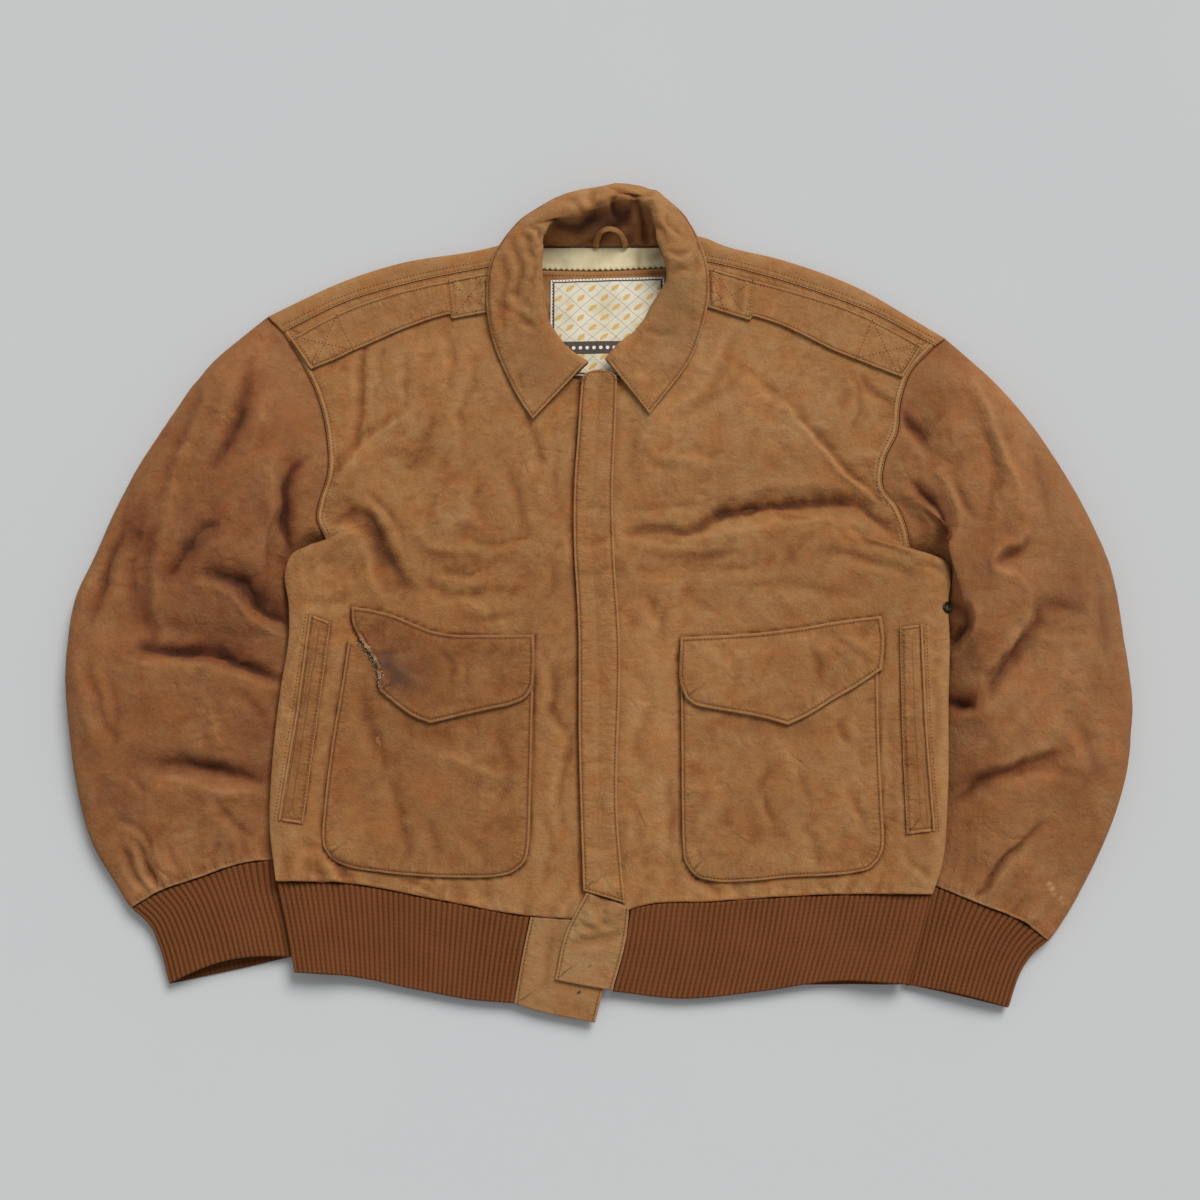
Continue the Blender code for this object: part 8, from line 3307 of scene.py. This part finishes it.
@dataclass
class Hardware:
    """The rolled hanging loop and the blackened underarm eyelet."""

    room: Workroom
    loop_breadth: float = 1.75  # the strip's half breadth and half depth, in loop radii
    loop_depth: float = 0.8
    eyelet_radius: float = 3.9  # to the middle of its rolled rim
    eyelet_rim: float = 1.3  # the rim's half breadth
    eyelet_rise: float = 0.62  # its half depth
    eyelet_above: float = 0.75  # its middle's height over the hide

    def build(self) -> None:
        """Makes both."""
        self.loop()
        self.eyelet()

    def loop(self) -> None:
        """The hanging loop: a rolled strip with a seam along its underside."""
        centre = Line(HANGER_LOOP).at(np.linspace(0, 1, 58))
        along = np.gradient(centre, axis=0)
        along /= np.linalg.norm(along, axis=1, keepdims=True)
        aside = np.cross(along, [0, 0.35, 0.94])
        aside /= np.linalg.norm(aside, axis=1, keepdims=True)
        over = np.cross(aside, along)
        turn = np.linspace(0, 2 * np.pi, 20, endpoint=False)[None, :, None]
        noise = Noise(85).at(centre / 3.5)[:, None, None]
        radius = HANGER_RADIUS * (1 + 0.05 * noise) - 0.28 * bell(np.abs(turn - 4.4), 0.25)
        points = centre[:, None] + radius * (
            self.loop_breadth * np.cos(turn) * aside[:, None]
            + self.loop_depth * np.sin(turn) * over[:, None]
        )
        ends = np.array([0.05, 0.6, 0.85])
        caps = [centre[:1, None] + share * (points[:1] - centre[:1, None]) for share in ends]
        tail = [centre[-1:, None] + share * (points[-1:] - centre[-1:, None]) for share in ends[::-1]]
        rings = np.concatenate([*caps, points, *tail])
        self.tube("hanger_loop", rings, Look.BODY, "body_suede", closed=False)

    def tube(self, name: str, rings: Grid, look: Look, slot: str, closed: bool) -> None:
        """Makes a piece from rings of points, joined end to end or capped.

        Args:
            name: The node's name.
            rings: Rings by points by three.
            look: The finish.
            slot: The finish's slot.
            closed: Whether the last ring meets the first.
        """
        count, sides = rings.shape[:2]
        faces = []
        for ring in range(count if closed else count - 1):
            here, there = ring * sides, (ring + 1) % count * sides
            for side in range(sides):
                beside = (side + 1) % sides
                faces.append([here + side, here + beside, there + beside, there + side])
        if not closed:
            faces += [list(range(sides))[::-1], [(count - 1) * sides + side for side in range(sides)]]
        mesh = bpy.data.meshes.new(name)
        mesh.from_pydata(to_row(rings.reshape(-1, 3)).tolist(), [], faces)
        mesh.update()
        if signed_volume(mesh) < 0:
            mesh.flip_normals()
        mesh.shade_smooth()
        mesh.materials.append(FINISH[look])
        obj = placed_object(f"{name}_piece", mesh)
        self.room.declare(obj, slot, name)

    def eyelet(self) -> None:
        """The vent eyelet, a rolled brass ring set in the side below the armpit."""
        low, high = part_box("underarm_eyelet")
        centre = (np.array(low) + np.array(high)) / 2 / MM + MIDDLE
        aim = Vector((-0.8, 0, -0.6))
        spot, normal = self.room.trees["front_left"].ray_cast(Vector(centre) - 30 * aim, aim)[:2]
        normal = np.array(normal if normal.dot(aim) < 0 else -normal)
        first = np.cross(normal, [0, 1, 0])
        first /= np.linalg.norm(first)
        second = np.cross(normal, first)
        section = []
        for turn in np.linspace(0, 2 * np.pi, 14, endpoint=False):
            radius = self.eyelet_radius + self.eyelet_rim * math.cos(turn)
            section.append((radius, self.eyelet_above + self.eyelet_rise * math.sin(turn)))
        rings = []
        for turn in np.linspace(0, 2 * np.pi, 40, endpoint=False):
            spoke = math.cos(turn) * first + math.sin(turn) * second
            ring = [radius * spoke + height * normal for radius, height in section]
            rings.append(np.array(spot) + ring)
        self.tube("underarm_eyelet", np.array(rings), Look.METAL, "dark_metal", closed=True)


def signed_volume(mesh: bpy.types.Mesh) -> float:
    """The volume that a closed mesh's faces turn outwards round, below 0 where they turn inwards.

    Args:
        mesh: The mesh.

    Returns:
        The volume, in cubic metres.
    """
    total = 0.0
    for polygon in mesh.polygons:
        corners = [mesh.vertices[k].co for k in polygon.vertices]
        for b, c in zip(corners[1:-1], corners[2:]):
            total += corners[0].dot(b.cross(c)) / 6
    return total


@dataclass
class Thread:
    """Geometry Nodes that lay thread along lines: rows of stitches, or loose fibres."""

    room: Workroom

    def build(self) -> None:
        """Lays every group of seams as one object."""
        stitch = {
            "Pitch": STITCH_PITCH * MM,
            "Length": STITCH_LENGTH * MM,
            "Radius": STITCH_RADIUS * MM,
            "Seed": 7,
        }
        for group, lines in sorted(self.room.seams.items()):
            frayed = group == "frayed_threads"
            tree = self.fibre_tree() if frayed else self.stitch_tree()
            look = Look.FRAYED if frayed else Look.THREAD
            settings = {"Radius": FIBRE_RADIUS * MM} if frayed else stitch
            self.lay(group, lines, tree, {**settings, "Thread": FINISH[look]})

    @staticmethod
    def tree(name: str, inputs: dict) -> tuple[Any, Any]:
        """A geometry tree with named inputs.

        Args:
            name: The tree's name.
            inputs: The socket type of each input after the geometry, by its name.

        Returns:
            The tree and its input node's outputs.
        """
        tree = bpy.data.node_groups.new(name, "GeometryNodeTree")
        for key, kind in {"Geometry": "Geometry", **inputs, "Thread": "Material"}.items():
            tree.interface.new_socket(key, in_out="INPUT", socket_type=f"NodeSocket{kind}")
        tree.interface.new_socket("Geometry", in_out="OUTPUT", socket_type="NodeSocketGeometry")
        return tree, add_node(tree, "NodeGroupInput").node.outputs

    def stitch_tree(self) -> Any:
        """A stitch for every pitch along the lines, each turned and sized a little differently.

        Returns:
            The geometry tree.
        """
        inputs = {"Pitch": "Float", "Length": "Float", "Radius": "Float", "Seed": "Int"}
        tree, given = self.tree("stitch_row", inputs)
        curve = add_node(tree, "GeometryNodeMeshToCurve", {"Mesh": given["Geometry"]})
        sockets = {"Curve": curve, "Length": given["Pitch"]}
        points = add_node(tree, "GeometryNodeCurveToPoints", sockets, mode="LENGTH")
        sockets = {"Segments": 6, "Rings": 4, "Radius": given["Radius"]}
        sphere = add_node(tree, "GeometryNodeMeshUVSphere", sockets)
        twice = add_node(tree, "Math", {0: given["Radius"], 1: 2.0}, operation="MULTIPLY")
        longer = add_node(tree, "Math", {0: given["Length"], 1: twice}, operation="DIVIDE")
        size = add_node(tree, "CombineXYZ", {"X": 1.0, "Y": 1.0, "Z": longer})
        stitch = add_node(tree, "GeometryNodeTransform", {"Geometry": sphere, "Scale": size})
        sockets = {"Vector": points.node.outputs["Tangent"]}
        aim = add_node(tree, "FunctionNodeAlignRotationToVector", sockets, axis="Z")
        # How far a stitch may tilt, in radians, and its least and greatest size
        ranges = (((-0.05, -0.05, -0.12), (0.05, 0.05, 0.12)), ((0.85, 0.85, 0.88), (1.15, 1.15, 1.08)))
        chosen = []
        for low, high in ranges:
            sockets = {"Min": low, "Max": high, "Seed": given["Seed"]}
            value = add_node(tree, "FunctionNodeRandomValue", sockets, data_type="FLOAT_VECTOR")
            chosen.append(value)
        tilt, scale = chosen
        sockets = {"Rotation": aim, "Rotate By": tilt}
        turn = add_node(tree, "FunctionNodeRotateRotation", sockets, rotation_space="LOCAL")
        sockets = {"Points": points, "Instance": stitch, "Rotation": turn, "Scale": scale}
        placed = add_node(tree, "GeometryNodeInstanceOnPoints", sockets)
        return self.closed(tree, given, placed)

    def fibre_tree(self) -> Any:
        """A thin tube along every line.

        Returns:
            The geometry tree.
        """
        tree, given = self.tree("loose_fibres", {"Radius": "Float"})
        curve = add_node(tree, "GeometryNodeMeshToCurve", {"Mesh": given["Geometry"]})
        sockets = {"Resolution": 5, "Radius": given["Radius"]}
        section = add_node(tree, "GeometryNodeCurvePrimitiveCircle", sockets)
        sockets = {"Curve": curve, "Profile Curve": section, "Fill Caps": True}
        tube = add_node(tree, "GeometryNodeCurveToMesh", sockets)
        return self.closed(tree, given, tube)

    @staticmethod
    def closed(tree: Any, given: Any, geometry: Any) -> Any:
        """The tree with its end: instances realized, shaded smooth, with the thread's material.

        Args:
            tree: The tree to end.
            given: Its input node's outputs.
            geometry: The geometry that it has made.

        Returns:
            The same tree.
        """
        whole = add_node(tree, "GeometryNodeRealizeInstances", {"Geometry": geometry})
        smooth = add_node(tree, "GeometryNodeSetShadeSmooth", {"Geometry": whole})
        sockets = {"Geometry": smooth, "Material": given["Thread"]}
        ended = add_node(tree, "GeometryNodeSetMaterial", sockets)
        add_node(tree, "NodeGroupOutput", {0: ended})
        return tree

    def lay(self, name: str, lines: list[Grid], tree: Any, settings: dict) -> None:
        """Makes one object of thread from its lines.

        Args:
            name: The object's name.
            lines: Lines of points, mm.
            tree: The geometry tree.
            settings: A value for each of its inputs, by name.
        """
        vertices, edges = [], []
        for line in lines:
            start = len(vertices)
            vertices += to_row(line).tolist()
            edges += [(start + k, start + k + 1) for k in range(len(line) - 1)]
        mesh = bpy.data.meshes.new(name)
        mesh.from_pydata(vertices, edges, [])
        obj = placed_object(name, mesh)
        modifier = obj.modifiers.new("thread", "NODES")
        modifier.node_group = tree
        for item in tree.interface.items_tree:
            if item.in_out == "INPUT" and item.name in settings:
                modifier[item.identifier] = settings[item.name]
        evaluated = obj.evaluated_get(bpy.context.evaluated_depsgraph_get())
        made = bpy.data.meshes.new_from_object(evaluated)
        obj.modifiers.remove(modifier)
        obj.data = made
        made.name = name
        self.room.declare(obj, "body_suede")


# ---------------------------------------------------------------- the studio


@dataclass
class Studio:
    """A pale floor, soft light from the collar's side, and the camera above the waistband."""

    floor: tuple = ("#c7c8c8", "#c9c9c8")  # its darker and its paler patches
    floor_reach: float = 30.0
    floor_below: float = 0.0004
    sky: str = "#f2f4f7"
    sky_strength: float = 0.45
    lens: float = 50.0
    sensor: float = 36.0
    target: tuple = (0.0026, -0.0115, 0.0)
    elevation: float = 80.0
    distance: float = 1.5
    window_side: tuple = (0.42, 0.78, 0.86)
    window_breadth: float = 32.0
    window_strength: float = 2.5

    def build(self) -> None:
        """Makes the floor, the lamps, the world and the camera."""
        scene = bpy.context.scene
        scene.view_settings.view_transform = "Standard"
        self.make_floor()
        self.window()
        world = bpy.data.worlds.new("studio")
        scene.world = world
        world.use_nodes = True
        background = world.node_tree.nodes["Background"]
        background.inputs["Color"].default_value = linear(self.sky)
        background.inputs["Strength"].default_value = self.sky_strength
        camera = bpy.data.cameras.new("camera")
        camera.lens = self.lens
        camera.sensor_width = self.sensor
        holder = placed_object("camera", camera)
        angle = math.radians(self.elevation)
        target = Vector(self.target)
        holder.location = target + self.distance * Vector((0, -math.cos(angle), math.sin(angle)))
        holder.rotation_euler = (target - holder.location).to_track_quat("-Z", "Y").to_euler()
        scene.camera = holder

    def make_floor(self) -> None:
        """The floor, just under the jacket, a matt pale sheet."""
        mesh = bpy.data.meshes.new("studio_floor")
        reach, height = self.floor_reach, -self.floor_below
        corners = ((-reach, -reach), (reach, -reach), (reach, reach), (-reach, reach))
        mesh.from_pydata([(x, y, height) for x, y in corners], [], [(0, 1, 2, 3)])
        material, tree = new_tree("studio_floor")
        place = add_node(tree, "TexCoord", out="Object")
        cloud = add_node(tree, "TexNoise", {"Vector": place, "Scale": 3.0, "Detail": 3.0})
        colour = ramp(tree, cloud, *zip((0.3, 0.7), self.floor))
        close_material(tree, {"Base Color": colour, "Roughness": 0.9})
        mesh.materials.append(material)
        placed_object("studio_floor", mesh)

    def window(self) -> None:
        """One broad soft light from beyond the collar, as even as a tall window's far away."""
        light = bpy.data.lights.new("window", "SUN")
        light.energy = self.window_strength
        light.angle = math.radians(self.window_breadth)
        lamp = placed_object("window", light)
        lamp.rotation_euler = Vector(self.window_side).to_track_quat("Z", "Y").to_euler()


FINISH: dict[Look, bpy.types.Material] = {}


def main() -> None:
    """Builds the jacket's looks, from what lies lowest to what lies on top."""
    logging.basicConfig(level=logging.INFO, format="%(message)s")
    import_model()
    FINISH.update({look: look.value.make() for look in Look})
    room = Workroom()
    garment = (Body, Sleeves, Waistband, Pockets, Closure, Epaulettes, Collar, Neck)
    for assembly in (*garment, Hardware, Thread):
        assembly(room).build()
    Studio().build()


if __name__ == "__main__":
    main()
